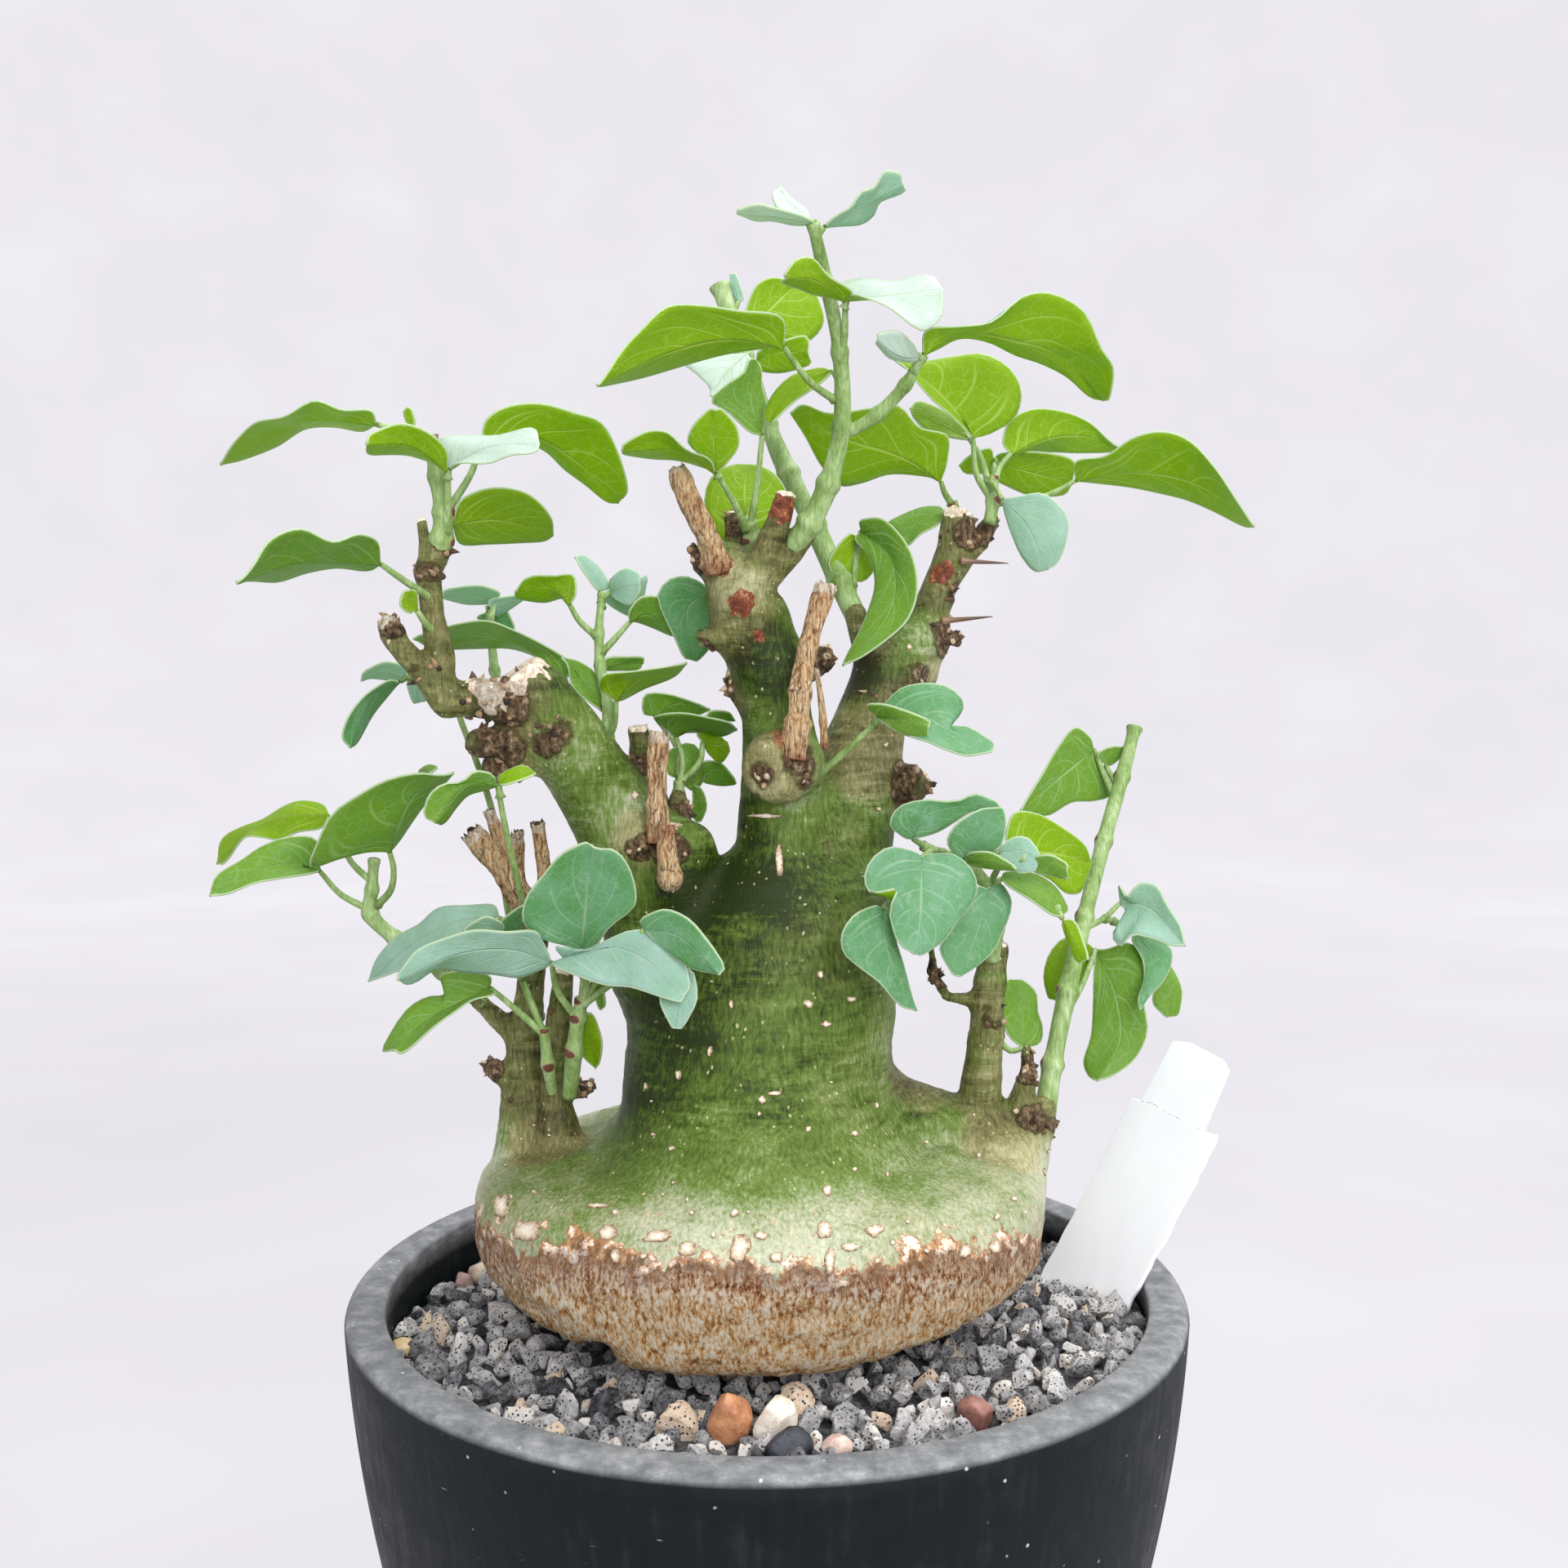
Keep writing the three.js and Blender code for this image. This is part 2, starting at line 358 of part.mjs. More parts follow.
      leaf([[-83.2, 285.8, -12], [-93, 286.2, -16], [-103, 285.6, -22], [-114.5, 281.7, -30]],
        [[-84.6, 291.3], [-88, 292.2], [-93.4, 290.6], [-100.5, 293.4], [-107, 291], [-110.6, 285.8]],
        [[-87, 284.4], [-92.6, 285], [-99, 284], [-105.6, 282], [-110.6, 282.2]], [-9, 8],
        [[-72.6, 278.5, -7], [-79.6, 283.2, -11], [-86, 286, -12.8]]),
    ],
  },
  leaf_left_small: {
    bow: -10,
    stems: [],
    leaves: [
      leaf([[-75.7, 276, -10], [-77, 278, -11], [-77.4, 280.4, -12]],
        [[-77.8, 275.4], [-79.3, 276.8], [-79, 279.2]], [[-75.4, 277.6], [-75.6, 279.6]], [-1, 1],
        [[-71.9, 271.2, -7], [-74, 273.4, -9], [-76.3, 277, -10.4]]),
    ],
  },
  spray_left_behind: {
    bow: 14,
    stems: [
      [[-32.6, 244.5, 6.5, 1.5], [-34.8, 248.5, 8, 1.4], [-34.6, 255, 9, 1.2], [-36.2, 264, 9, 1.1],
       [-36.4, 271, 9, 1], [-35.8, 279.5, 9, 0.8]],
    ],
    leaves: [
      leaf([[-42.6, 277, 6], [-47, 281, 8], [-54.6, 279.7, 10]],
        [[-41.2, 280.6], [-41.8, 283.5], [-46, 283.4], [-50.6, 283.4]], [[-44.6, 278.5], [-48, 277.6],
         [-53, 278.2]], [-4, 4],
        [[-36.6, 270, 9], [-40.6, 273.6, 7.6], [-43.6, 278.2, 6.2]]),
      leaf([[-36, 280, 9], [-37.2, 283.2, 8], [-41.5, 287.4, 6]],
        [[-37.6, 281.2], [-39.6, 284]], [[-34.2, 281.6], [-36.2, 285], [-38.8, 287.3]], [-2, 2],
        [[-35.9, 277.5, 9], [-36.6, 282, 8.6]]),
      leaf([[-34, 279.8, 9], [-31, 280.8, 5], [-27.4, 281.5, 3]],
        [[-33.4, 283.2], [-30.6, 285], [-28.4, 284.4]], [[-32, 277.8], [-29.8, 277], [-28, 279]], [1, -1],
        [[-35.9, 278.5, 9], [-32.4, 280.3, 7]]),
      leaf([[-29.8, 273.4, 7], [-26, 275.2, 6], [-20.3, 270.4, 6]],
        [[-29.6, 276.4], [-27.4, 278.8], [-23, 278.7], [-21, 274.6]], [[-27.6, 273.2], [-24.4, 272],
         [-22, 270.9]], [-3, 3],
        [[-36.1, 266.5, 9], [-33, 269.8, 8], [-28.8, 274, 6.8]]),
      leaf([[-32.8, 256.4, 3], [-29, 260.6, 0], [-17.4, 264.6, -6]],
        [[-36.6, 259.6], [-35.6, 262], [-30, 262.7], [-23, 263.6]], [[-31, 256.8], [-26.6, 259.1],
         [-20, 261.8]], [-6, 5],
        [[-34.8, 247.8, 8], [-33.2, 251.5, 5], [-32, 258.2, 2.6]]),
      leaf([[-43.6, 261, 13], [-52, 268, 16], [-62, 270.6, 18], [-76.6, 269.8, 18]],
        [[-42.2, 264.6], [-46, 267.2], [-54.6, 271.6], [-60.6, 273.7], [-67, 273], [-73, 271.3]],
        [[-46.4, 261.8], [-49, 265.2], [-55, 267.6], [-63, 267.7], [-70, 267.5]], [-7, 7],
        [[-35, 247, 8.5], [-40.6, 250.6, 10], [-43.3, 255.4, 12], [-44.4, 262.6, 13.4]]),
      leaf([[-35.4, 253.8, 10], [-38.6, 258.6, 11], [-44.6, 266, 8]],
        [[-42.4, 259.8], [-43.2, 263.6]], [[-35.8, 259], [-37.4, 262.6], [-40, 264.6]], [-1, 1],
        [[-34.8, 251, 8.6], [-36.6, 255.8, 10.3]]),
      leaf([[-36.3, 263.2, 9.6], [-32, 264.4, 12], [-26.8, 264.6, 14]],
        [[-34, 266], [-30, 266], [-27.6, 266]], [[-33, 262.9], [-29, 263]], [-1, 1],
        [[-36, 262, 9], [-34, 263.8, 10.8]]),
      leaf([[-35.6, 279, 10], [-31.4, 277.4, 12], [-27.4, 275, 14]],
        [[-30, 280.6], [-26, 283.6], [-26.6, 279]], [[-33.6, 276.6], [-30.8, 275]], [1, 1],
        [[-35.8, 276.5, 9], [-33.4, 278.2, 11]]),
    ],
  },
  spray_left_far: {
    bow: 14,
    stems: [
      [[-55.5, 255, 1, 1.6], [-57.5, 259, 16, 1.3], [-59, 263, 34, 1.1], [-60, 275, 34, 1]],
    ],
    leaves: [
      leaf([[-58.6, 278, 30], [-64, 279.4, 28], [-70.2, 279, 26]],
        [[-58.8, 280.4], [-62, 281.3], [-67.6, 280.8]], [[-61.6, 277.2], [-65, 277.2], [-68.4, 278]],
         [-3, 3],
        [[-60, 273.6, 29.5], [-60.8, 278.6, 29.4]]),
      leaf([[-59.6, 276, 30], [-56.6, 277, 31], [-51.9, 279.2, 33]],
        [[-59, 278.6], [-56, 279]], [[-57, 275.2], [-54, 277.2]], [-2, 2], [[-60, 274, 29.6],
         [-58, 276.6, 30.6]]),
      leaf([[-60.4, 275.6, 32], [-57.6, 274.6, 34], [-55, 271.2, 36]],
        [[-59.6, 277], [-56.8, 276.8], [-55.2, 274]], [[-62, 273.6], [-59, 271.8], [-57, 270.6]], [-1, 2],
        [[-59.8, 272.6, 29.4], [-59.2, 275.4, 32.6]]),
    ],
  },
  leaf_left_drooping: {
    bow: 10,
    stems: [],
    leaves: [
      leaf([[-79.4, 260.6, 4], [-86.6, 257, 0], [-90.5, 246.2, -3]],
        [[-83, 260.4], [-87.4, 257.4], [-90.8, 253], [-92.2, 249]], [[-82, 257.6], [-85.4, 253.4],
         [-88.6, 247.8]], [-3, 3],
        [[-51.6, 199, 1], [-56, 208, 11], [-58.8, 228, 11], [-62, 240, 10], [-66, 251, 7],
         [-69.8, 261, 5], [-75, 263, 5], [-81, 260, 3.4]]),
      leaf([[-78, 261, 4.5], [-82.6, 262.6, 7], [-88, 260.8, 10]],
        [[-78.6, 264], [-82.6, 264.9], [-86.2, 263.4]], [[-80.6, 260.7], [-84.4, 261.2]], [-3, 3],
        [[-76.4, 262.6, 5], [-80, 262, 5.4]]),
      leaf([[-77, 262, 5], [-76, 259.4, 6], [-75.6, 256, 8]],
        [[-78, 259.4], [-77.2, 256.8]], [[-74.4, 260.4], [-73.4, 257.6]], [0, 0], [[-76.4, 262.6, 5],
         [-76.4, 260.4, 5.6]]),
    ],
  },
  spray_middle: {
    bow: 6,
    stems: [
      [[-19.4, 232.5, 6.5, 1.5], [-19.4, 236, 7, 1.3], [-19.2, 239.2, 7, 1]],
    ],
    leaves: [
      leaf([[-20, 248.8, 8], [-15.4, 250.6, 5], [-6.6, 250.2, 2]],
        [[-24.6, 253], [-19, 253.9], [-13, 252.9], [-8.6, 251.9]], [[-18, 249.6], [-14, 249.5],
         [-10, 248.8]], [-7, 6],
        [[-19.3, 238, 7], [-18.4, 243.6, 8], [-18, 249.6, 7]]),
      leaf([[-24.4, 253, 16], [-20, 256, 16], [-12.4, 254.5, 16]],
        [[-27.2, 254.6], [-26.6, 257.8], [-22, 258], [-16.6, 256.4]], [[-21, 253], [-16.4, 253.2]], [-2, 2],
        [[-19, 240, 8], [-20, 247, 15], [-22, 254.2, 16]]),
      leaf([[-14.2, 247.4, 8], [-11.4, 246.8, 10], [-8.8, 247.6, 12]],
        [[-15, 249.6], [-12, 249.6]], [[-12.6, 244.6], [-10.4, 242.8], [-8.6, 244.8]], [-1, 1],
        [[-19.2, 238.4, 7], [-14.6, 243.6, 7.5], [-13, 247, 8.8]]),
      leaf([[-19.6, 239.5, 10], [-18, 243, 12], [-16, 247, 14]],
        [[-22, 241.4], [-21.6, 245.4], [-19, 247]], [[-15.6, 237], [-13.6, 240], [-14.2, 244.4]], [1, 1],
        [[-19.2, 237, 7], [-18.7, 241.4, 11]]),
      leaf([[-15.4, 240.6, 13], [-11.6, 241, 14], [-6.8, 238.6, 15]],
        [[-13.4, 243.6], [-10, 243], [-8, 240.8]], [[-13.6, 238.6], [-10.4, 238], [-8.2, 238.1]], [-1, 1],
        [[-17, 240.6, 11.6], [-13.4, 241, 13.4]]),
      leaf([[-16.6, 238.6, 12], [-15, 234, 13], [-15.6, 230.2, 14]],
        [[-16.4, 235.6], [-16.6, 232.4]], [[-13.8, 236.6], [-13.2, 233.4], [-14, 231]], [0, 0],
        [[-16.9, 240.6, 11.8], [-15.9, 236.4, 12.4]]),
      leaf([[-13.6, 253, 5], [-10.6, 253.4, 7], [-7, 252.2, 9]],
        [[-12, 254.4], [-9, 254.2]], [[-11, 252.6], [-8.6, 252.1]], [-1, 1],
        [[-15.2, 250.8, 5], [-11.8, 253.3, 6.2]]),
    ],
  },
  leaf_behind_crown: {
    bow: 6,
    stems: [],
    leaves: [
      leaf([[-12.6, 279.4, 7], [-17.2, 276.6, 10], [-16.6, 265.2, 12]],
        [[-14.2, 281.8], [-17.6, 283.3], [-21.4, 282.6], [-23.8, 279.2], [-22.4, 274.6], [-20, 269.6],
         [-18.6, 266.4]],
        [[-12, 276.6], [-11.6, 272], [-12, 268.6], [-14.4, 265.6]], [-1, 1],
        [[-6.5, 282.5, 5], [-10.6, 280.8, 7], [-14.6, 278.4, 8.4]]),
    ],
  },
  spray_left_middle: {
    bow: 6,
    stems: [
      [[-62, 190, 0, 1.7], [-71, 197.5, 0, 1.6], [-81, 204.5, 0, 1.6], [-86.6, 210.2, 0, 1.5],
       [-86.2, 215.5, 0, 1.3], [-85.6, 222, 0, 1.1]],
    ],
    leaves: [
      leaf([[-82.2, 223.6, -5], [-80, 230, -10], [-76.4, 236.4, -13], [-68, 240.9, -16]],
        [[-87, 223.6], [-93, 222.2], [-99.7, 220.4], [-98, 225.6], [-94.6, 232], [-88.6, 236.2],
         [-83, 239.2], [-76, 240.8], [-71.4, 240.4]],
        [[-80.4, 225.6], [-77.6, 229.6], [-75, 233.2], [-72.6, 235.8], [-70, 238.6]], [-4, 4],
        [[-85, 212, 0], [-82, 215.5, -3], [-81.4, 220, -4.5], [-81.8, 225.6, -6.6]]),
      leaf([[-95, 231.5, 3], [-104, 231.4, 9], [-112, 228.4, 16], [-119.8, 220.9, 24]],
        [[-97, 234.2], [-101.4, 234.8], [-105, 233.6], [-109.6, 230.8], [-114, 229.2], [-117.4, 227.6]],
        [[-97.4, 228.6], [-102, 227.9], [-106.4, 226.2], [-110, 226.8], [-113.6, 226.8], [-117, 222.4]],
         [5, -5],
        [[-86, 217, 0], [-90.6, 221.5, 1], [-97.4, 231.4, 3]]),
      leaf([[-97.4, 219.4, -2], [-105, 221, -7], [-113, 218.6, -13], [-121.6, 214, -20]],
        [[-98.4, 226.6], [-104, 227], [-109.8, 225], [-114.6, 221.8], [-119.4, 219]],
        [[-100.6, 218.6], [-106, 217.8], [-111.6, 216.8], [-117, 214.6]], [4, -4],
        [[-87.2, 211.2, 0], [-93, 214.4, -1], [-99.6, 220.2, -3]]),
      leaf([[-73.6, 240.4, -13.6], [-74, 241.6, -9], [-75.4, 241.4, -5]],
        [[-71.6, 242.2], [-73.6, 242.6]], [[-74.6, 240.5], [-75.8, 240.4]], [1, 1],
        [[-74.4, 238.6, -13.2], [-73.8, 241.2, -11.4]]),
    ],
  },
  leaf_under_limb: {
    bow: -12,
    stems: [],
    leaves: [
      leaf([[-58.6, 238, -12], [-65, 238.6, -15], [-72.4, 229.9, -20]],
        [[-60.6, 241], [-63.6, 241.3], [-66.6, 238.9], [-70.6, 238.4], [-73.6, 236], [-74.7, 232.8]],
        [[-61.6, 237], [-65, 236], [-67.4, 233.6], [-69.6, 230.6]], [-2, 3],
        [[-51.3, 202.5, -1], [-52.4, 208, -10], [-57.2, 230, -13], [-60.4, 238.4, -13]]),
      leaf([[-58.4, 238.2, -12], [-55, 240.2, -12], [-50.2, 240.6, -11]],
        [[-57.6, 240.8], [-54, 242.4]], [[-56, 238.4], [-53, 239.4]], [2, -2],
        [[-58, 235.5, -12.8], [-56.6, 239.4, -12.2]]),
    ],
  },
  spray_left_low: {
    bow: -12,
    stems: [
      [[-43.5, 170, -9, 1.6], [-42.4, 180, -12, 1.7], [-41.4, 187.5, -12, 1.5], [-40.8, 191.5, -12, 1.1]],
    ],
    leaves: [
      leaf([[-47.2, 199.5, -18], [-56, 202.4, -21], [-67, 201.6, -23], [-81, 195.6, -26]],
        [[-48.8, 203.6], [-50.4, 206.3], [-57, 206.2], [-64, 206.6], [-70, 205], [-76.6, 202.2],
         [-79.6, 198.6]],
        [[-50, 197.6], [-54.4, 196.1], [-60, 196.8], [-66.6, 197.2], [-72, 198.1], [-76.6, 195.3]], [-2, 3],
        [[-42, 187.5, -12], [-46, 193.2, -16], [-49.4, 200.6, -19]]),
      leaf([[-40.6, 202, -17], [-39.8, 210, -18], [-38.4, 225.3, -18]],
        [[-44.6, 203.2], [-49.6, 204.8], [-53.4, 208.4], [-52.8, 213.4], [-49, 218.6], [-45, 223.2],
         [-41.4, 225.2]],
        [[-37.4, 203], [-34.4, 207.2], [-29, 211.8], [-28.8, 216], [-30.8, 221.6], [-33.6, 224.2],
         [-36, 224.4]], [-3, -3],
        [[-40.8, 190, -12], [-40.3, 196, -15], [-40.4, 204.5, -17.6]]),
      leaf([[-44.6, 200.2, -21], [-34, 202.8, -25], [-26.6, 200, -28], [-18.4, 191.5, -31]],
        [[-45.4, 203], [-41, 202], [-36, 204], [-29.6, 206.6], [-23, 205.8], [-19, 202], [-17.3, 196.6]],
        [[-46.4, 198.4], [-41.6, 196.4], [-35.6, 194.4], [-30, 193.9], [-25, 192.3], [-21, 191]], [2, -3],
        [[-40.6, 190.5, -12], [-39.6, 195, -17], [-39.4, 200.8, -23]]),
      leaf([[-27, 206.6, -24.5], [-19.6, 205.4, -28], [-10.4, 196.6, -32]],
        [[-26.6, 209.8], [-22.4, 211.2], [-17.4, 209.2], [-13.4, 204.8], [-10.3, 200.4]],
        [[-24.4, 204], [-20.4, 200.6], [-16, 197.8], [-13, 197.2]], [-1, 0],
        [[-40.4, 191, -12], [-34, 200, -20], [-24.4, 206.8, -25.4]]),
      leaf([[-21, 197, -26], [-19.6, 191, -29], [-20.5, 184.8, -31]],
        [[-23.6, 194.6], [-23.6, 190.4], [-22, 186.8]], [[-16, 196.8], [-15.4, 191.4], [-17.6, 186.6]],
         [-1, 0],
        [[-40.6, 190, -12], [-32, 196, -19], [-24, 198, -24], [-20.4, 194.6, -27.2]]),
      leaf([[-40.2, 188.6, -12], [-38.8, 183, -9], [-37.7, 175.9, -6]],
        [[-41.4, 184.6], [-40.8, 179.4]], [[-37.6, 187], [-36.2, 182], [-36.6, 178]], [0, 0],
        [[-41.3, 189, -12], [-39.5, 186, -10.6]]),
      leaf([[-37.8, 195.4, -15], [-36.6, 192.6, -14], [-36.4, 189, -13]],
        [[-38.2, 192.6], [-37.4, 190]], [[-36, 194.4], [-35.4, 191]], [0, 0],
        [[-40.6, 190.6, -12], [-39.2, 193.4, -13.6], [-37.1, 194.2, -14.6]]),
    ],
  },
  spray_left_front: {
    bow: -6,
    stems: [
      [[-46.8, 169, -4, 1.3], [-48.2, 177, -11, 1.2], [-49, 185, -11.5, 1]],
    ],
    leaves: [
      leaf([[-60.6, 193.8, -15], [-68, 190.2, -18], [-75.6, 186, -22], [-82, 180, -26]],
        [[-61.6, 197], [-67, 197.6], [-71.5, 196.6], [-70, 192.6], [-74.6, 191.8], [-79, 189],
         [-83.9, 181.4]],
        [[-60.2, 192.2], [-64.4, 191.2], [-68.6, 188.4], [-73, 185.2], [-78.4, 180.3]], [4, -5],
        [[-48.9, 183.5, -11.4], [-55, 189, -13], [-62.4, 193.6, -15.6]]),
      leaf([[-58.4, 209.4, -5], [-68, 208.4, -4], [-78, 203, 0], [-87.2, 195.2, 6]],
        [[-60.2, 212.2], [-65, 212], [-71.8, 211.4], [-76, 207.9], [-81, 205.2], [-85.4, 200.2]],
        [[-60.6, 207.4], [-66, 204.6], [-72, 201.6], [-78, 198.6], [-83, 196.6]], [4, -3],
        [[-49.2, 184, -11.5], [-53.8, 196, -9], [-56.4, 204, -6], [-60.6, 209.4, -5.6]]),
      leaf([[-56.4, 205.6, -12], [-54.6, 209, -14], [-51.6, 212.2, -15]],
        [[-58, 208.8], [-55, 211.2]], [[-53.4, 206.8], [-52, 209.8]], [-1, 1],
        [[-54.6, 199, -8.8], [-55.6, 207.2, -12]]),
      leaf([[-57.6, 206.2, -13], [-61, 207.6, -14], [-66.6, 206.2, -15]],
        [[-58.2, 208.4], [-61.4, 209.7], [-64.4, 208.2]], [[-60, 205.4], [-63.6, 205.2]], [-1, 1],
        [[-53.6, 196, -9], [-56, 202.5, -11.6], [-59.4, 206.8, -13.6]]),
    ],
  },
  leaf_front: {
    bow: -12,
    stems: [],
    leaves: [
      leaf([[24.2, 252.6, -16], [33, 253, -20], [40, 249.6, -22], [48.9, 246, -23]],
        [[25.4, 256], [28.8, 259.2], [34, 260.3], [39.4, 259.3], [42.4, 255.8], [40.6, 252.3],
         [37.8, 250.8], [42.6, 251], [47.4, 248.4]],
        [[27, 250.8], [31, 248.6], [34.4, 247.6], [38.4, 245.9], [43, 244.5], [46.8, 245]], [3, -4],
        [[10.6, 240, -10.5], [17.6, 246.2, -14], [26.4, 253, -16.8]]),
      leaf([[24, 253, -17], [29, 252.6, -23], [34.9, 250.6, -25]],
        [[21.8, 255.8], [25, 255.8], [29.6, 254.5], [33.8, 252.9]], [[25.2, 251.4], [29, 249.2],
         [33, 248.2]], [-1, 1],
        [[23.4, 251.8, -16], [26.2, 253, -19]]),
    ],
  },
  spray_right_low: {
    bow: -12,
    stems: [
      [[48.8, 200, -2, 1.8], [49.6, 207, -4, 1.6], [48.4, 215, -5, 1.5], [44.6, 219.6, -4, 1.4],
       [38, 223, -4, 1.2], [33.6, 225, -5, 0.9]],
    ],
    leaves: [
      leaf([[31.6, 226.4, -7], [34, 231.6, -9], [41, 233.6, -9], [50.4, 233.5, -8]],
        [[28.8, 227.2], [26.4, 229.6], [28, 233.2], [33, 235], [41, 234.8], [45, 236.4], [48.6, 235.2]],
        [[32.6, 226.6], [36.8, 227.9], [40.4, 230], [44, 232.3]], [-1, 1],
        [[35, 224.4, -4.4], [33, 225.6, -6], [32.6, 228.6, -7.8]]),
      leaf([[43, 221.8, -12], [46, 228, -15], [49.6, 233.4, -16]],
        [[40.2, 223], [38.9, 226], [40.6, 229.4], [44.4, 232.2]], [[46.6, 223.4], [50.4, 224.6],
         [51.8, 228.6], [51.6, 232]], [-1, -1],
        [[42.6, 220.4, -4], [41.6, 219.6, -9], [43.8, 223.6, -12.8]]),
      leaf([[50.4, 223.6, -15], [54.4, 224, -16], [58.7, 222.4, -17]],
        [[50.9, 225.2], [53.4, 227], [56.4, 226.8], [58.4, 224.6]], [[51.6, 221.2], [54.6, 219],
         [57.4, 219.2]], [0, 0],
        [[46, 224.6, -13.6], [48.6, 223.6, -14.2], [52, 223.6, -15.4]]),
      leaf([[42.8, 221.4, -13], [48, 221.6, -18], [54.2, 219.9, -20]],
        [[44.4, 223.7], [48.4, 223.7], [51.8, 221.9]], [[45.6, 220.3], [49.6, 219.8], [52.4, 219.6]],
         [-1, 1],
        [[42, 219.8, -10], [44.8, 221.6, -14.6]]),
      leaf([[57.6, 220.6, -16], [61.4, 220.8, -18], [65.1, 219.6, -19]],
        [[58.8, 222.9], [61.6, 223.1], [64.4, 221.7]], [[59.2, 218.7], [62, 218.3], [64.4, 217.6]], [-1, 1],
        [[55, 222.4, -16.4], [59, 220.8, -16.6]]),
      leaf([[52.6, 223, -6], [61, 223.4, 0], [70.4, 221.4, 7]],
        [[51.8, 228], [53.4, 232.2], [58, 232.2], [63.6, 229.3], [69, 225.2]],
        [[57, 219.6], [61.6, 217.4], [65, 214.5], [67.8, 214.6], [69.4, 218]], [-3, 3],
        [[48.2, 216, -5], [50, 220, -5.6], [55, 223.2, -4]]),
      leaf([[33.4, 222.4, -20], [33.2, 212, -25], [32, 201.2, -28]],
        [[30.6, 224.2], [26.4, 224.8], [22.4, 222], [20.9, 218], [22, 215], [25.4, 215.2], [28, 215.6],
         [26.4, 211], [27.6, 205.4]],
        [[36.6, 223.3], [40.4, 223.1], [44.4, 219.8], [45.6, 215.6], [44.2, 212.2], [41.6, 209],
         [38.6, 204.4], [35, 201.8]], [-3, 3],
        [[37.6, 223, -4], [36, 224.2, -12], [33.5, 219, -21.6]]),
      leaf([[25, 211.2, -21], [25.4, 204.4, -24], [28, 196.6, -24], [32.5, 188.7, -22]],
        [[22, 211.6], [18.6, 209.8], [16, 205.6], [16.4, 201.6], [20.4, 198], [24.4, 194.9], [27.6, 191]],
        [[26.6, 210], [28, 204], [29.6, 198.8], [31, 193.6]], [-3, 2],
        [[36.6, 223.3, -5], [30.6, 217.5, -16], [25.2, 208.8, -22]]),
      leaf([[48, 215.6, -9], [45.6, 206, -14], [42, 196.2, -16]],
        [[44.6, 215.6], [41.6, 210], [38.6, 205], [37.4, 202.4], [39.6, 197.8]],
        [[51.2, 216.4], [53.1, 212.6], [51.2, 206], [49, 201.7], [46.6, 199.4]], [-1, 1],
        [[48.4, 214, -5], [47.6, 213, -10]]),
      leaf([[50.8, 217.8, -10], [57.6, 217.4, -13], [64.2, 209.6, -15]],
        [[52.4, 219.3], [57.6, 219], [62.4, 216.2], [65, 212.2]], [[52.8, 215.8], [57, 213.2],
         [61.2, 210.2]], [3, -3],
        [[48.6, 213, -5], [49.6, 216.6, -8.4], [53.4, 217.8, -11]]),
      leaf([[64.2, 209, -15.4], [66.2, 205, -17], [70, 200, -18]],
        [[67.6, 207.6], [69.2, 203.2]], [[64.6, 206], [66.8, 200.4]], [-1, 1],
        [[62.6, 211.6, -14.6], [65.4, 206.8, -16.2]]),
    ],
  },
  leaf_right_low: {
    bow: 0,
    stems: [],
    leaves: [
      leaf([[55.8, 180.5, 3], [55.4, 187.6, 6], [54, 195.7, 9]],
        [[52.8, 183], [50.6, 187.8], [50.9, 192.4], [51.8, 195.2]],
        [[59.6, 181.8], [60, 185.4], [59, 188.6], [58.6, 192.8], [56.4, 195.1]], [-2, 2],
        [[49.6, 183.2, 0], [53, 180, 1.6], [55.6, 183, 4]]),
    ],
  },
  shoot_right: {
    bow: 8,
    stems: [
      [[60.4, 163.5, 2, 2.5], [62.3, 177, 2, 2.1], [65.4, 193, 2, 2], [69, 209.5, 2, 1.8],
       [73, 226, 2, 1.7], [76.8, 240, 2, 1.6], [79.4, 250.6, 2, 1.5]],
    ],
    leaves: [
      leaf([[70.6, 246, 5], [64, 240.6, 3], [54.8, 232.6, -1]],
        [[69, 249.4], [66.6, 250.8], [63, 246.8], [59.6, 241], [56.6, 236]],
        [[72.6, 242], [74.6, 236.2], [71, 234.7], [66, 234.4], [61, 231.6]], [-2, 3],
        [[75.2, 235.5, 2], [73.2, 239.6, 4], [69.4, 245.2, 5]]),
      leaf([[73.2, 242.4, 5], [74.6, 244.6, 4], [77, 246.6, 3]],
        [[71.6, 245.4], [73.6, 246.4]], [[75.2, 243], [77.2, 244.8]], [-1, 1],
        [[76, 237.5, 2], [74.3, 244.1, 4.2]]),
      leaf([[76.6, 212.4, 0], [82.6, 211.6, -4], [91, 203, -9]],
        [[76.4, 216.5], [78, 213.8], [80.6, 216.8], [84.4, 216.6], [86.8, 212.4], [90, 207.4]],
        [[77.8, 210], [75, 205.2], [77, 203], [79, 205.4], [84, 204.6], [87.8, 203.2]], [-2, -2],
        [[69, 207, 2], [73, 209, 1], [78.6, 212.4, -1]]),
      leaf([[79.6, 206, 4], [84, 199.6, 2], [81.2, 188.8, -2]],
        [[84, 204.6], [87.8, 202.7], [88, 199], [86, 194.8], [83.2, 191.8]],
        [[79.6, 203.6], [81.6, 200.2], [82, 195.6], [80.8, 191.6]], [1, -1],
        [[73.4, 209, 1.4], [76, 208.4, 5], [80.8, 204.6, 3.6]]),
      leaf([[71.4, 202.2, 8], [66.4, 199, 10], [62.4, 191.2, 12]],
        [[68, 204.6], [64.6, 204.9], [61.4, 201.6], [60.1, 196.6], [60.8, 192.6]],
        [[70.6, 198], [68.4, 194], [65.6, 190.6]], [1, -1],
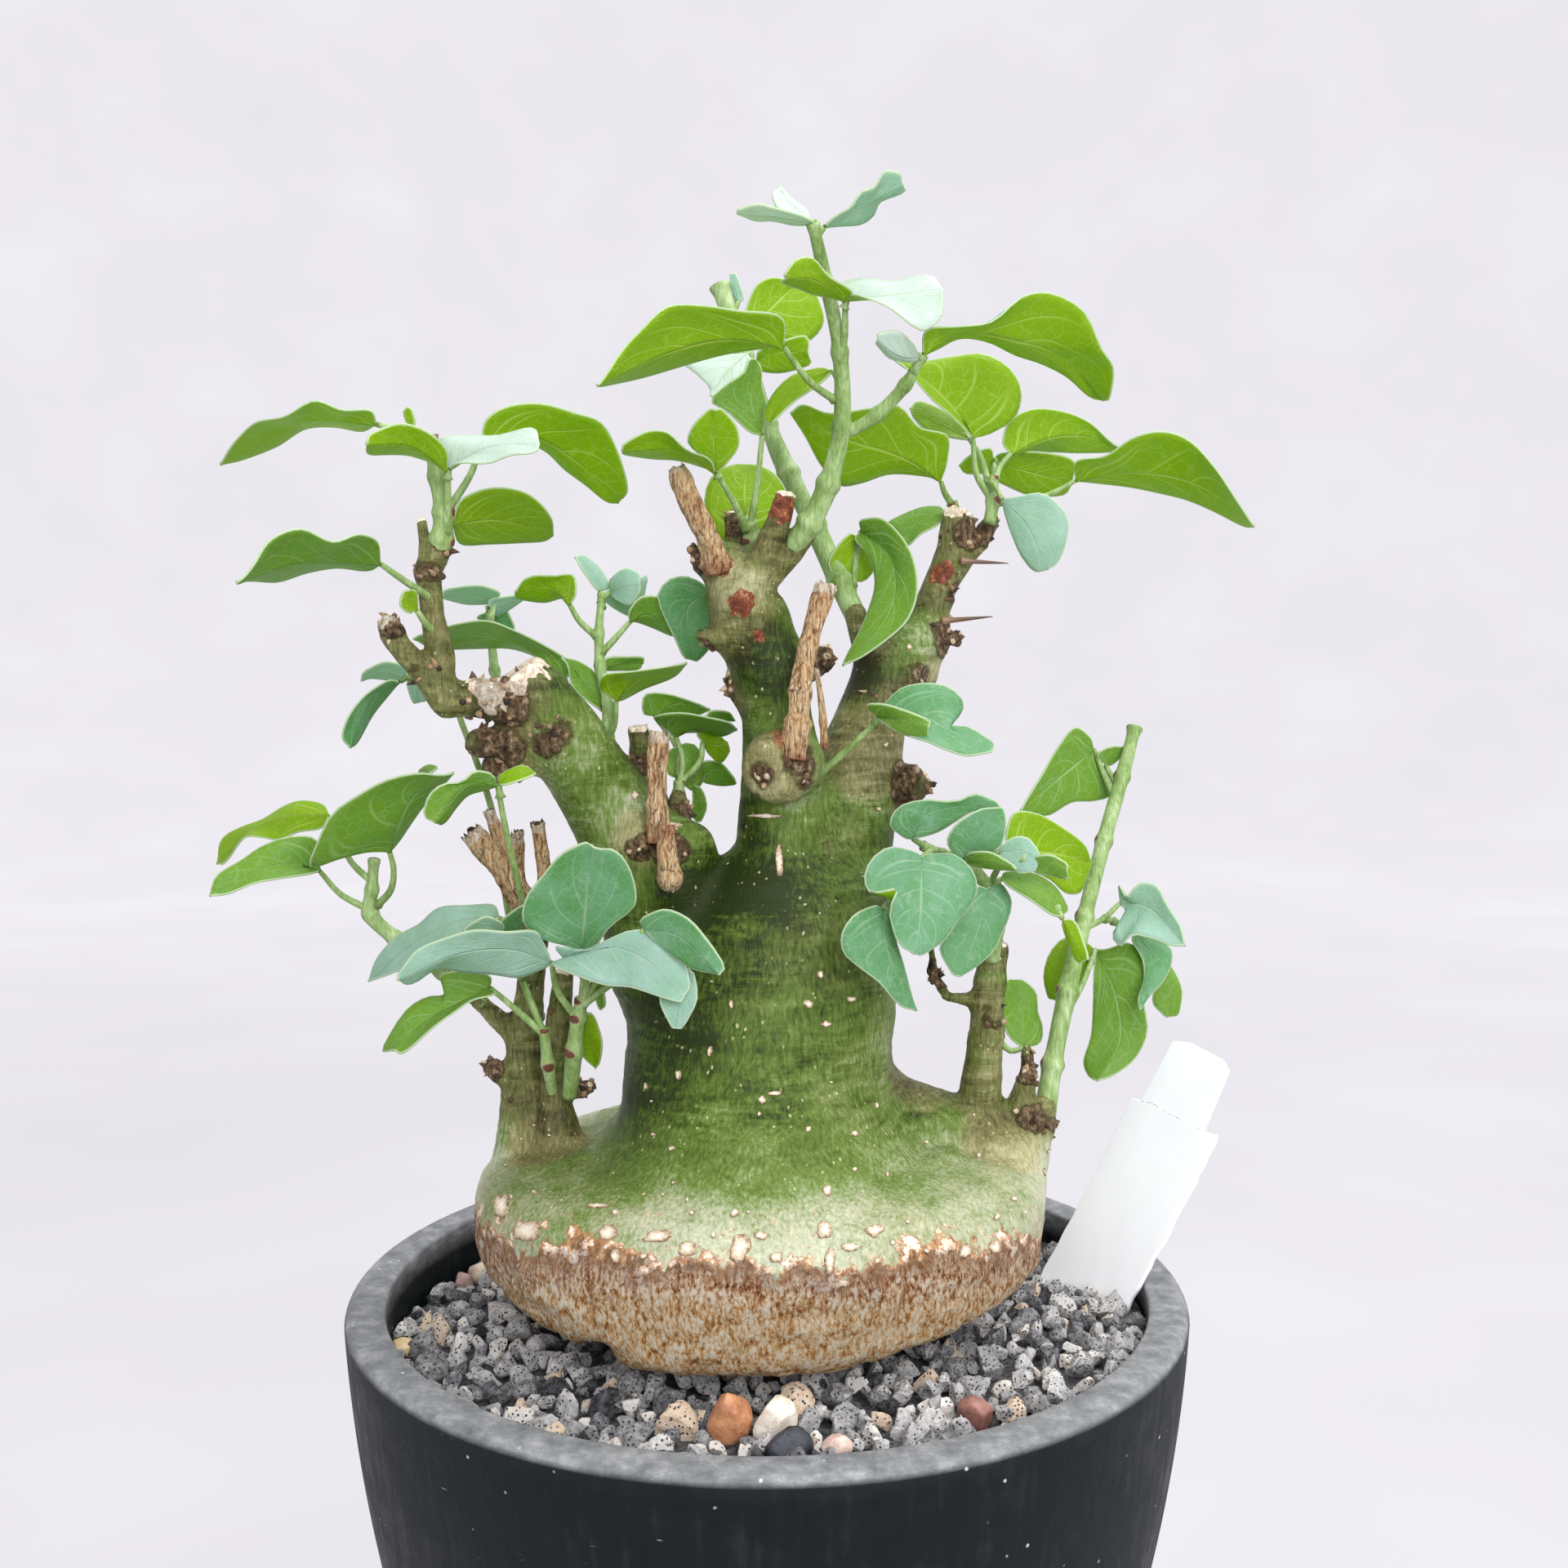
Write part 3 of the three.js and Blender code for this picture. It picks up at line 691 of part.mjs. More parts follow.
        [[65, 188, 2], [68.6, 194.6, 5], [69.6, 201.2, 8.6]]),
      leaf([[71.6, 202.4, 8], [76, 192, 6], [77, 182, 5], [72, 173.2, 4]],
        [[74.4, 202.6], [79, 203.7], [82.8, 198.4], [82, 192], [83.1, 184.4], [80.4, 178.2], [76, 174.6]],
        [[71, 196.4], [71, 190], [70.6, 183.4], [69, 177.4], [70, 174.6]], [-1, 1],
        [[70.4, 199.6, 7.4], [72.6, 199.4, 7.6]]),
      leaf([[85.6, 199, 12], [87.6, 193.8, 12], [88, 187.4, 12]],
        [[88.4, 198], [90.4, 193.6], [90, 189]], [[84.8, 195.4], [84, 190.6], [86.2, 188]], [1, -1],
        [[75.2, 208.5, 4], [80, 205.6, 9], [86, 197.4, 12]]),
    ],
  },
};

const PEBBLES = {
  pebble_ochre: { place: [-8.6, 97.9, -60], size: [4.4, 3.6, 5.6], color: 0xb0642c, turn: 0.3 },
  pebble_white: { place: [1.4, 96.6, -61.5], size: [4.2, 4, 5.2], color: 0xd9d3c8, turn: 1.1 },
  pebble_black: { place: [4.6, 91.6, -72], size: [4.6, 3.6, 3], color: 0x26272a, turn: 0.5 },
  pebble_red: { place: [46, 98.3, -59], size: [3.8, 3.6, 3.2], color: 0x84493a, turn: 2.1 },
  pebble_cream: { place: [-62.8, 130.6, 32], size: [4, 3.4, 3.2], color: 0xb9a58f, turn: 0.9 },
};

// The label leans, turned a little from the viewer: its flat runs through three points.
const LABEL_PLANE = [[61.1, 130.2, 13], [80.1, 124.7, -6], [88.7, 182.1, 12]];
const LABEL_OUTLINE = [[51.8, 112], [85.7, 176.4], [88.6, 182.1], [92.6, 181.7], [99.6, 178],
  [101.1, 175.5], [73.8, 108]];

const wasm = await Module();
wasm.setup();

function solidFrom(geometry) {
  const bare = new THREE.BufferGeometry();
  bare.setAttribute("position", geometry.getAttribute("position").clone());
  if (geometry.index) bare.setIndex(geometry.index.clone());
  const merged = mergeVertices(bare, 1e-4);
  const mesh = new wasm.Mesh({
    numProp: 3,
    vertProperties: new Float32Array(merged.getAttribute("position").array),
    triVerts: new Uint32Array(merged.index.array),
  });
  return new wasm.Manifold(mesh);
}

function geometryFrom(solid) {
  const mesh = solid.getMesh();
  const geometry = new THREE.BufferGeometry();
  geometry.setAttribute("position", new THREE.BufferAttribute(new Float32Array(mesh.vertProperties), 3));
  geometry.setIndex(new THREE.BufferAttribute(new Uint32Array(mesh.triVerts), 1));
  return geometry;
}

function signedVolume(points, faces) {
  const normal = new THREE.Vector3();
  return faces.reduce((sum, [a, b, c]) => {
    normal.crossVectors(points[b], points[c]);
    return sum + points[a].dot(normal) / 6;
  }, 0);
}

// A closed solid from points and triangles, turned inside out if its faces point inward.
function solidFromFaces(points, faces) {
  const outward = signedVolume(points, faces) > 0 ? faces : faces.map(([a, b, c]) => [a, c, b]);
  const geometry = new THREE.BufferGeometry();
  geometry.setAttribute("position", new THREE.Float32BufferAttribute(points.flatMap((p) => p.toArray()), 3));
  geometry.setIndex(outward.flat());
  return solidFrom(geometry);
}

function union(solids) {
  return solids.reduce((whole, solid) => whole.add(solid));
}

function seededRandom(seed) {
  let state = seed;
  return () => {
    state = (state * 1664525 + 1013904223) % 4294967296;
    return state / 4294967296;
  };
}

// A round tapered tube through [x, z, depth, radius] stations, closed at both ends.
function tube(stations, sides, extra = 0) {
  const centres = stations.map(swept);
  const points = [];
  const faces = [];
  let across = new THREE.Vector3(0, 1, 0.2);
  centres.forEach((centre, i) => {
    const before = centres[Math.max(i - 1, 0)];
    const after = centres[Math.min(i + 1, centres.length - 1)];
    const along = after.clone().sub(before).normalize();
    across = across.clone().addScaledVector(along, -across.dot(along)).normalize();
    const other = along.clone().cross(across);
    const radius = stations[i][3] + extra;
    for (let k = 0; k < sides; k++) {
      const angle = (2 * Math.PI * k) / sides;
      const spoke = across.clone().multiplyScalar(Math.cos(angle)).addScaledVector(other, Math.sin(angle));
      points.push(centre.clone().addScaledVector(spoke, radius));
    }
  });
  for (let i = 0; i < centres.length - 1; i++) {
    for (let k = 0; k < sides; k++) {
      const a = i * sides + k;
      const b = i * sides + ((k + 1) % sides);
      faces.push([a, b, b + sides], [a, b + sides, a + sides]);
    }
  }
  const last = (centres.length - 1) * sides;
  for (let k = 1; k < sides - 1; k++) {
    faces.push([0, k + 1, k], [last, last + k, last + k + 1]);
  }
  return solidFromFaces(points, faces);
}

function curve(points) {
  return new THREE.CatmullRomCurve3(points.map(([x, z, depth = 0]) => new THREE.Vector3(x, z, depth)));
}

// A leaf and its stalk as one closed strip: rows of edge, rib and edge points, and a tip.
function leafSolid({ rib, edgeA, edgeB, lean, stalk }) {
  const tip = rib[rib.length - 1];
  const length = swept(rib[0]).distanceTo(swept(tip));
  const count = Math.min(Math.round(length / LEAF_ROW_LENGTH) + 2, LEAF_MOST_ROWS);
  const ribCurve = curve(rib);
  const edgeCurves = [edgeA, edgeB].map((edge) => curve([rib[0], ...edge, tip]));
  const rows = [];
  for (let i = 1; i < count; i++) {
    const t = i / count;
    const centre = ribCurve.getPoint(t);
    const swell = Math.pow(Math.sin(Math.PI * t), 0.7);
    const [a, b] = edgeCurves.map((edge, side) => {
      const point = edge.getPoint(t);
      return swept([point.x, point.y, centre.z + lean[side] * swell]);
    });
    rows.push([a, swept(centre.toArray()), b]);
  }
  rows.unshift(...stalkRows([...stalk.slice(0, -1), rib[0]].map(swept), rows[0]));
  const stalkCount = rows.length - count + 1;
  const halves = rows.flatMap((row, i) => {
    const middleHalf = i < stalkCount ? STALK_RADIUS : LEAF_THICKNESS / 2;
    return [LEAF_THICKNESS / 2, middleHalf, LEAF_THICKNESS / 2];
  });
  const faces = [];
  for (let i = 0; i < rows.length - 1; i++) {
    const [a, r, b] = [3 * i, 3 * i + 1, 3 * i + 2];
    faces.push([a, a + 3, r + 3], [a, r + 3, r], [r, r + 3, b + 3], [r, b + 3, b]);
  }
  const end = 3 * rows.length;
  faces.push([end - 3, end, end - 2], [end - 2, end, end - 1]);
  return thickened([...rows.flat(), swept(tip)], faces, [...halves, LEAF_THICKNESS / 2]);
}

// Narrow rows along a stalk, lying flat with the first row of its blade.
function stalkRows(line, firstRow) {
  const across = firstRow[0].clone().sub(firstRow[2]);
  return line.map((centre, i) => {
    const along = line[Math.min(i + 1, line.length - 1)].clone().sub(line[Math.max(i - 1, 0)]).normalize();
    const side = across.clone().addScaledVector(along, -across.dot(along)).setLength(STALK_RADIUS);
    return [centre.clone().add(side), centre, centre.clone().sub(side)];
  });
}

// Both faces of a blade stand off its middle surface; a rim strip closes them.
function thickened(middle, faces, halves) {
  const normals = middle.map(() => new THREE.Vector3());
  const edges = new Map();
  faces.forEach(([a, b, c]) => {
    const ab = middle[b].clone().sub(middle[a]);
    const normal = ab.cross(middle[c].clone().sub(middle[a]));
    [a, b, c].forEach((v) => normals[v].add(normal));
    [[a, b], [b, c], [c, a]].forEach(([u, v]) => {
      if (!edges.delete(`${v},${u}`)) edges.set(`${u},${v}`, [u, v]);
    });
  });
  const top = middle.map((p, i) => p.clone().addScaledVector(normals[i].normalize(), halves[i]));
  const bottom = middle.map((p, i) => p.clone().addScaledVector(normals[i], -halves[i]));
  const count = middle.length;
  const shell = faces.flatMap(([a, b, c]) => [[a, b, c], [a + count, c + count, b + count]]);
  edges.forEach(([u, v]) => shell.push([v, u, u + count], [v, u + count, v + count]));
  return solidFromFaces([...top, ...bottom], shell);
}

function smoothMin(a, b, k) {
  const h = Math.max(k - Math.abs(a - b), 0) / k;
  return Math.min(a, b) - (h * h * k) / 4;
}

// How far a point lies outside the caudex's level slices.
function sliceDistance(p) {
  const slices = CAUDEX_SLICES;
  const last = slices.length - 1;
  const z = Math.min(Math.max(p.z, slices[0][0]), slices[last][0]);
  let i = 0;
  while (i < last - 1 && slices[i + 1][0] < z) i++;
  const [low, high] = [slices[i], slices[i + 1]];
  const t = (z - low[0]) / (high[0] - low[0]);
  const [, centre, width, depth] = low.map((value, k) => value + (high[k] - value) * t);
  const rho = Math.hypot((p.x - centre) / width, p.y / depth);
  const side = (rho - 1) * Math.min(width, depth);
  return side + 3 * Math.abs(p.z - z);
}

// How far a point lies outside a chain of balls of changing radius.
function chainDistance(p, balls) {
  let nearest = Infinity;
  for (let i = 0; i < balls.length - 1; i++) {
    const [a, b] = [balls[i], balls[i + 1]];
    const ab = b.centre.clone().sub(a.centre);
    const ap = p.clone().sub(a.centre);
    const t = Math.min(Math.max(ap.dot(ab) / ab.lengthSq(), 0), 1);
    const gap = ap.addScaledVector(ab, -t).length() - (a.radius + (b.radius - a.radius) * t);
    nearest = Math.min(nearest, gap);
  }
  return nearest;
}

const LIMB_BALLS = LIMBS.map((chain) =>
  chain.map((station) => ({ centre: swept(station), radius: station[3] })));

function woodDistance(p) {
  return LIMB_BALLS.reduce((d, balls) => smoothMin(d, chainDistance(p, balls), BLEND), sliceDistance(p));
}

function woodSlope(p) {
  const step = 0.5;
  return new THREE.Vector3(
    woodDistance(p.clone().setX(p.x + step)) - woodDistance(p.clone().setX(p.x - step)),
    woodDistance(p.clone().setY(p.y + step)) - woodDistance(p.clone().setY(p.y - step)),
    woodDistance(p.clone().setZ(p.z + step)) - woodDistance(p.clone().setZ(p.z - step)),
  ).normalize();
}

// A point moved onto the surface where woodDistance is zero, then outward by extra.
function settled(p, extra) {
  const onSurface = p.clone().addScaledVector(woodSlope(p), -woodDistance(p));
  return onSurface.addScaledVector(woodSlope(onSurface), extra);
}

// The surface where woodDistance is zero, swollen by extra, in four-sided patches over a grid.
function woodSurface(extra) {
  const low = BODY_GRID_LOW;
  const counts = BODY_GRID_COUNTS;
  const at = (i, j, k) => (k * (counts[1] + 1) + j) * (counts[0] + 1) + i;
  const corner = (i, j, k) => new THREE.Vector3(i, j, k).multiplyScalar(BODY_CELL).add(low);
  const values = [];
  for (let k = 0; k <= counts[2]; k++) {
    for (let j = 0; j <= counts[1]; j++) {
      for (let i = 0; i <= counts[0]; i++) {
        values.push(woodDistance(corner(i, j, k)));
      }
    }
  }
  const cornerSteps = [...Array(8).keys()].map((n) => [n & 1, (n >> 1) & 1, n >> 2]);
  const cellEdges = [];
  cornerSteps.forEach((a, m) => cornerSteps.forEach((b, n) => {
    if (m < n && a.filter((v, q) => v !== b[q]).length === 1) cellEdges.push([a, b]);
  }));
  const points = [];
  const cellPoint = new Map();
  for (let k = 0; k < counts[2]; k++) {
    for (let j = 0; j < counts[1]; j++) {
      for (let i = 0; i < counts[0]; i++) {
        const crossings = [];
        for (const [a, b] of cellEdges) {
          const va = values[at(i + a[0], j + a[1], k + a[2])];
          const vb = values[at(i + b[0], j + b[1], k + b[2])];
          if (va < 0 === vb < 0) continue;
          const pa = corner(i + a[0], j + a[1], k + a[2]);
          crossings.push(pa.lerp(corner(i + b[0], j + b[1], k + b[2]), va / (va - vb)));
        }
        if (crossings.length === 0) continue;
        const sum = crossings.reduce((total, p) => total.add(p), new THREE.Vector3());
        cellPoint.set(at(i, j, k), points.length);
        points.push(settled(sum.divideScalar(crossings.length), extra));
      }
    }
  }
  const faces = [];
  const patch = (cells, inside) => {
    const [a, b, c, d] = cells.map(([i, j, k]) => cellPoint.get(at(i, j, k)));
    if (inside) faces.push([a, b, c], [a, c, d]);
    else faces.push([a, c, b], [a, d, c]);
  };
  for (let k = 1; k < counts[2]; k++) {
    for (let j = 1; j < counts[1]; j++) {
      for (let i = 1; i < counts[0]; i++) {
        const here = values[at(i, j, k)] < 0;
        if (here !== values[at(i + 1, j, k)] < 0) {
          patch([[i, j - 1, k - 1], [i, j, k - 1], [i, j, k], [i, j - 1, k]], here);
        }
        if (here !== values[at(i, j + 1, k)] < 0) {
          patch([[i - 1, j, k - 1], [i - 1, j, k], [i, j, k], [i, j, k - 1]], here);
        }
        if (here !== values[at(i, j, k + 1)] < 0) {
          patch([[i - 1, j - 1, k], [i, j - 1, k], [i, j, k], [i - 1, j, k]], here);
        }
      }
    }
  }
  return solidFromFaces(points, faces);
}

// The lower caudex, swollen by extra, as rings around its level slices.
function caudexRoom(extra) {
  const rings = CAUDEX_SLICES.filter(([z]) => z > WOOD_FOOT && z < CAUDEX_TOP);
  rings.unshift([WOOD_FOOT, ...rings[0].slice(1)]);
  const segments = CAUDEX_SEGMENTS;
  const points = rings.flatMap(([z, centre, width, depth]) => [...Array(segments).keys()].map((k) => {
    const angle = (2 * Math.PI * k) / segments;
    const [x, y] = [(width + extra) * Math.cos(angle), (depth + extra) * Math.sin(angle)];
    return new THREE.Vector3(centre + x, y, z - GAP);
  }));
  const faces = [];
  const last = (rings.length - 1) * segments;
  for (let i = 0; i < rings.length - 1; i++) {
    for (let k = 0; k < segments; k++) {
      const a = i * segments + k;
      const b = i * segments + ((k + 1) % segments);
      faces.push([a, b, b + segments], [a, b + segments, a + segments]);
    }
  }
  for (let k = 1; k < segments - 1; k++) {
    faces.push([0, k + 1, k], [last, last + k, last + k + 1]);
  }
  return solidFromFaces(points, faces);
}

function woodSides(stations) {
  return stations.some((station) => station[3] > STUB_RADIUS) ? STUB_SIDES : TWIG_SIDES;
}

function plantWood(extra) {
  const stems = Object.values(WOOD_STEMS).map((stations) => tube(stations, woodSides(stations), extra));
  return union([woodSurface(extra), ...stems]).trimByPlane([0, 0, 1], WOOD_FOOT - extra);
}

// A spray bows away from or toward the viewer: bow is the depth gained per 50 mm from its root.
function spray({ bow, stems, leaves }) {
  const root = stems.length > 0 ? stems[0][0] : leaves[0].stalk[0];
  const bent = ([x, z, depth, ...rest]) => {
    const reach = Math.hypot(x - root[0], z - root[1]);
    return [x, z, depth + bow * reach / 50, ...rest];
  };
  return union([
    ...stems.map((stations) => tube(stations.map(bent), STEM_SIDES)),
    ...leaves.map((one) => leafSolid({ ...one, rib: one.rib.map(bent), stalk: one.stalk.map(bent) })),
  ]);
}

// Of pieces that a cut left apart, the largest is kept.
function largest(solid) {
  return solid.decompose().sort((a, b) => b.volume() - a.volume())[0];
}

function potWallRadius(z) {
  const drop = POT_HEIGHT - RIM_BEVEL - z;
  return RIM_RADIUS - WALL_SLOPE * drop - WALL_CURVE * drop * drop;
}

const WALL_LEVELS = [0, 38, 84, POT_HEIGHT - RIM_BEVEL];
const INNER_LEVELS = [POT_FLOOR, 38, 84, LIP_FOOT];

function innerWallRadius(z) {
  return Math.min(potWallRadius(z) - POT_WALL, RIM_INNER_RADIUS);
}

function potSolid() {
  const outer = WALL_LEVELS.map((z) => new THREE.Vector2(potWallRadius(z), z));
  const inner = INNER_LEVELS.map((z) => new THREE.Vector2(innerWallRadius(z), z)).reverse();
  const profile = [
    new THREE.Vector2(0, 0),
    ...outer,
    new THREE.Vector2(RIM_FLAT_RADIUS, POT_HEIGHT),
    new THREE.Vector2(RIM_INNER_RADIUS, POT_HEIGHT),
    ...inner,
    new THREE.Vector2(0, POT_FLOOR),
  ];
  let pot = turned(profile, POT_SEGMENTS);
  for (let i = 0; i < DRAIN_COUNT; i++) {
    const angle = (2 * Math.PI * (i + 0.25)) / DRAIN_COUNT;
    const hole = new THREE.CylinderGeometry(DRAIN_RADIUS, DRAIN_RADIUS, 3 * POT_FLOOR, 12);
    hole.rotateX(Math.PI / 2);
    hole.translate(DRAIN_CIRCLE * Math.cos(angle), DRAIN_CIRCLE * Math.sin(angle), POT_FLOOR / 2);
    pot = pot.subtract(solidFrom(hole));
  }
  return pot;
}

// A lathe solid about +Z; its profile runs from the axis, out, and back to the axis.
function turned(profile, segments) {
  const geometry = new THREE.LatheGeometry(profile, segments);
  geometry.rotateX(Math.PI / 2);
  const points = [];
  const faces = [];
  const merged = mergeVertices(withoutSeams(geometry), 1e-4);
  const position = merged.getAttribute("position");
  for (let i = 0; i < position.count; i++) points.push(new THREE.Vector3().fromBufferAttribute(position, i));
  for (let i = 0; i < merged.index.count; i += 3) {
    const face = [0, 1, 2].map((k) => merged.index.getX(i + k));
    if (new Set(face).size === 3) faces.push(face);
  }
  return solidFromFaces(points, faces);
}

function withoutSeams(geometry) {
  const bare = geometry.clone();
  bare.deleteAttribute("normal");
  bare.deleteAttribute("uv");
  return bare;
}

function gravelHeight(x, y) {
  return GRAVEL_LEVEL + GRAVEL_SLOPE_X * x + GRAVEL_SLOPE_Y * y;
}

function stone(form, place, size, turn, random) {
  const geometry = mergeVertices(withoutSeams(form), 1e-4);
  const position = geometry.getAttribute("position");
  for (let i = 0; i < position.count; i++) {
    const swell = 0.82 + 0.36 * random();
    position.setXYZ(i, position.getX(i) * swell, position.getY(i) * swell, position.getZ(i) * swell);
  }
  geometry.scale(...size);
  geometry.rotateZ(turn);
  geometry.rotateX(0.4 * turn);
  geometry.translate(place.x, place.y, place.z);
  return solidFrom(geometry);
}

// Soil fills the pot under a sloping top; stones stand half out of it, spread by the golden angle.
function gravelSolid(clearings) {
  const foot = POT_FLOOR + GAP;
  const profile = [
    new THREE.Vector2(0, foot),
    new THREE.Vector2(innerWallRadius(POT_FLOOR) - GAP, foot),
    ...INNER_LEVELS.slice(1).map((z) => new THREE.Vector2(innerWallRadius(z) - GAP, z)),
    new THREE.Vector2(RIM_INNER_RADIUS - GAP, GRAVEL_LEVEL),
    new THREE.Vector2(0, GRAVEL_LEVEL),
  ];
  const soil = geometryFrom(turned(profile, POT_SEGMENTS));
  const position = soil.getAttribute("position");
  for (let i = 0; i < position.count; i++) {
    if (position.getZ(i) > GRAVEL_LEVEL - 1) {
      position.setZ(i, gravelHeight(position.getX(i), position.getY(i)));
    }
  }
  const random = seededRandom(7);
  const innermost = 44;
  const outermost = RIM_INNER_RADIUS - GAP - STONE_RADIUS - 1;
  const goldenAngle = Math.PI * (3 - Math.sqrt(5));
  const stones = [];
  for (let i = 0; i < STONE_COUNT; i++) {
    const share = (i + 0.5) / STONE_COUNT;
    const radius = Math.sqrt(innermost ** 2 + (outermost ** 2 - innermost ** 2) * share);
    const angle = i * goldenAngle + 0.3 * random();
    const [x, y] = [radius * Math.cos(angle), radius * Math.sin(angle)];
    const size = [0.8, 1, 0.75].map((share) => STONE_RADIUS * share * (0.75 + 0.35 * random()));
    const place = new THREE.Vector3(x, y, gravelHeight(x, y) + 0.6);
    stones.push(stone(new THREE.OctahedronGeometry(1, 0), place, size, 6 * random(), random));
  }
  const bed = union([solidFrom(soil), ...stones]);
  return largest(clearings.reduce((left, cut) => left.subtract(cut), bed));
}

function pebbleSolid({ place, size, turn }, extra) {
  const random = seededRandom(Math.round(100 * turn));
  const form = new THREE.IcosahedronGeometry(1, 0);
  return stone(form, sighted(place), size.map((value) => value + extra), turn, random);
}

// A flat plate whose outline is sighted on the label's flat.
function labelSolid(thickness) {
  const flat = new THREE.Plane().setFromCoplanarPoints(...LABEL_PLANE.map(sighted));
  const front = LABEL_OUTLINE.map((point) => {
    const away = sighted([...point, 0]).sub(SIGHT_POINT);
    const hit = new THREE.Ray(SIGHT_POINT, away.normalize()).intersectPlane(flat, new THREE.Vector3());
    return hit.addScaledVector(flat.normal, thickness / 2);
  });
  const back = front.map((point) => point.clone().addScaledVector(flat.normal, -thickness));
  const count = front.length;
  const faces = [];
  for (let k = 0; k < count; k++) {
    const next = (k + 1) % count;
    faces.push([k, k + count, next + count], [k, next + count, next]);
    if (k > 0 && k < count - 1) faces.push([0, k, k + 1], [count, count + k + 1, count + k]);
  }
  return solidFromFaces([...front, ...back], faces);
}

function meshOf(name, solid, color, roughness) {
  const material = new THREE.MeshStandardMaterial({ color, roughness, metalness: 0 });
  const mesh = new THREE.Mesh(geometryFrom(solid), material);
  mesh.name = name;
  return mesh;
}

const group = new THREE.Group();
group.name = "potted_adenia";

const wood = plantWood(0);
const clearWood = plantWood(GAP + 0.15);
const pebbles = Object.entries(PEBBLES);
const pebbleRooms = pebbles.map(([, pebble]) => pebbleSolid(pebble, GAP));

group.add(meshOf("pot", potSolid(), 0x33353a, 0.6));
const labelRoom = labelSolid(LABEL_THICKNESS + 2 * GAP);
const gravelRooms = [caudexRoom(CAUDEX_CLEARANCE), labelRoom, ...pebbleRooms];
group.add(meshOf("gravel_bed", gravelSolid(gravelRooms), 0x76746f, 0.95));
pebbles.forEach(([name, pebble]) => group.add(meshOf(name, pebbleSolid(pebble, 0), pebble.color, 0.6)));
group.add(meshOf("caudex", wood, 0x6f8a4a, 0.6));
Object.entries(DRY_STUBS).forEach(([name, chains]) => {
  const stub = union(chains.map((stations) => tube(stations, TWIG_SIDES)));
  group.add(meshOf(name, largest(stub.subtract(clearWood)), 0xb08d5b, 0.85));
});
Object.entries(SPINES).forEach(([name, stations]) => {
  group.add(meshOf(name, largest(tube(stations, STEM_SIDES).subtract(clearWood)), 0x4a3a2e, 0.5));
});
Object.entries(SPRAYS).forEach(([name, parts]) => {
  group.add(meshOf(name, largest(spray(parts).subtract(clearWood)), 0x6f9f2e, 0.5));
});
group.add(meshOf("plant_label", labelSolid(LABEL_THICKNESS), 0xf2f2ee, 0.4));

export default group;
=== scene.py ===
"""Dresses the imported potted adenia: pot, gravel, pebbles, caudex, dry stubs, spines, leaves, label."""
import math
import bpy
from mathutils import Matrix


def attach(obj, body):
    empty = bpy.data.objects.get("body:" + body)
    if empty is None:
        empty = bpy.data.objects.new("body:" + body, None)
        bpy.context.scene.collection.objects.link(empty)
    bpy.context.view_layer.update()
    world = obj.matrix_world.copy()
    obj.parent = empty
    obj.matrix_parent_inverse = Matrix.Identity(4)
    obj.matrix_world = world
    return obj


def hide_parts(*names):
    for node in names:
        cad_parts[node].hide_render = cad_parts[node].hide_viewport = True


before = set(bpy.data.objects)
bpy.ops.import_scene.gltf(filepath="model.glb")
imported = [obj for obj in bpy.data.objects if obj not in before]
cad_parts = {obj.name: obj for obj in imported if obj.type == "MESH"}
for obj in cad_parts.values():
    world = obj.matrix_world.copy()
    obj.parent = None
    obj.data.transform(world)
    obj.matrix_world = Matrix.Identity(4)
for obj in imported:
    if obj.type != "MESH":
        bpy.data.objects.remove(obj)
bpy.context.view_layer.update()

from types import SimpleNamespace

import bmesh
import bpy
import numpy as np
from mathutils import Matrix, Vector
from mathutils.bvhtree import BVHTree

bl_info = {
    "name": "Potted adenia",
    "version": (1, 0, 0),
    "blender": (4, 5, 0),
    "location": "View3D > Sidebar > Adenia",
    "description": "Builds a potted adenia with its bark, leaves, gravel and label",
    "category": "Add Mesh",
}

MM = 0.001

# The photograph's eye, in mm. Plant shapes are written as [x, z, depth]: x and z as sighted from
# the eye on the upright plane through the pot's axis, and depth as the real y.
EYE = np.array([3.5, -336.0, 256.4])
EYE_PITCH = 3.06
LENS = 35.625

# The colours that a user may change, as display values.
POT_COLOR = (11, 18, 20)
GRAVEL_COLOR = (176, 175, 175)
SKIN_COLOR = (96, 120, 50)
CORK_COLOR = (204, 160, 118)
LEAF_COLOR = (114, 156, 54)
LABEL_COLOR = (240, 242, 246)
BACKDROP_COLOR = (214, 212, 217)

# The light from all round, the place that the lamps face in metres, and their spread in degrees.
SKY_LIGHT = (0.99, 0.985, 1.0, 1.0)
LIGHT_AIM = Vector((0, 0, 0.2))
LAMP_SPREAD = 150

# The backdrop's own glow. Near the object it lacks a share of its strength, which it gains
# between two distances in metres. The shade is how much the backdrop's colour is darkened.
BACKDROP_GLOW = 1.04
GLOW_LACK = 0.17
GLOW_RISE = (0.5, 1.9)
BACKDROP_SHADE = 0.8

# The pot's drain holes.
DRAIN_HOLES = 3
DRAIN_HOLE_SIDES = 28

# Chips' sizes beside the mean one, their tones, and how many have each.
CHIP_SIZES = [0.62, 0.8, 1.0, 1.25, 1.45]
CHIP_SIZE_SHARES = [0.25, 0.27, 0.26, 0.15, 0.07]
CHIP_TONES = [0.05, 0.3, 0.46, 0.6, 0.76, 0.97]
CHIP_TONE_SHARES = [0.07, 0.2, 0.28, 0.25, 0.15, 0.05]

# How many chips are thrown, and from which throw on one may also lie over a neighbour.
CHIP_THROWS = 8000
FIRST_HEAPED_THROW = 6000

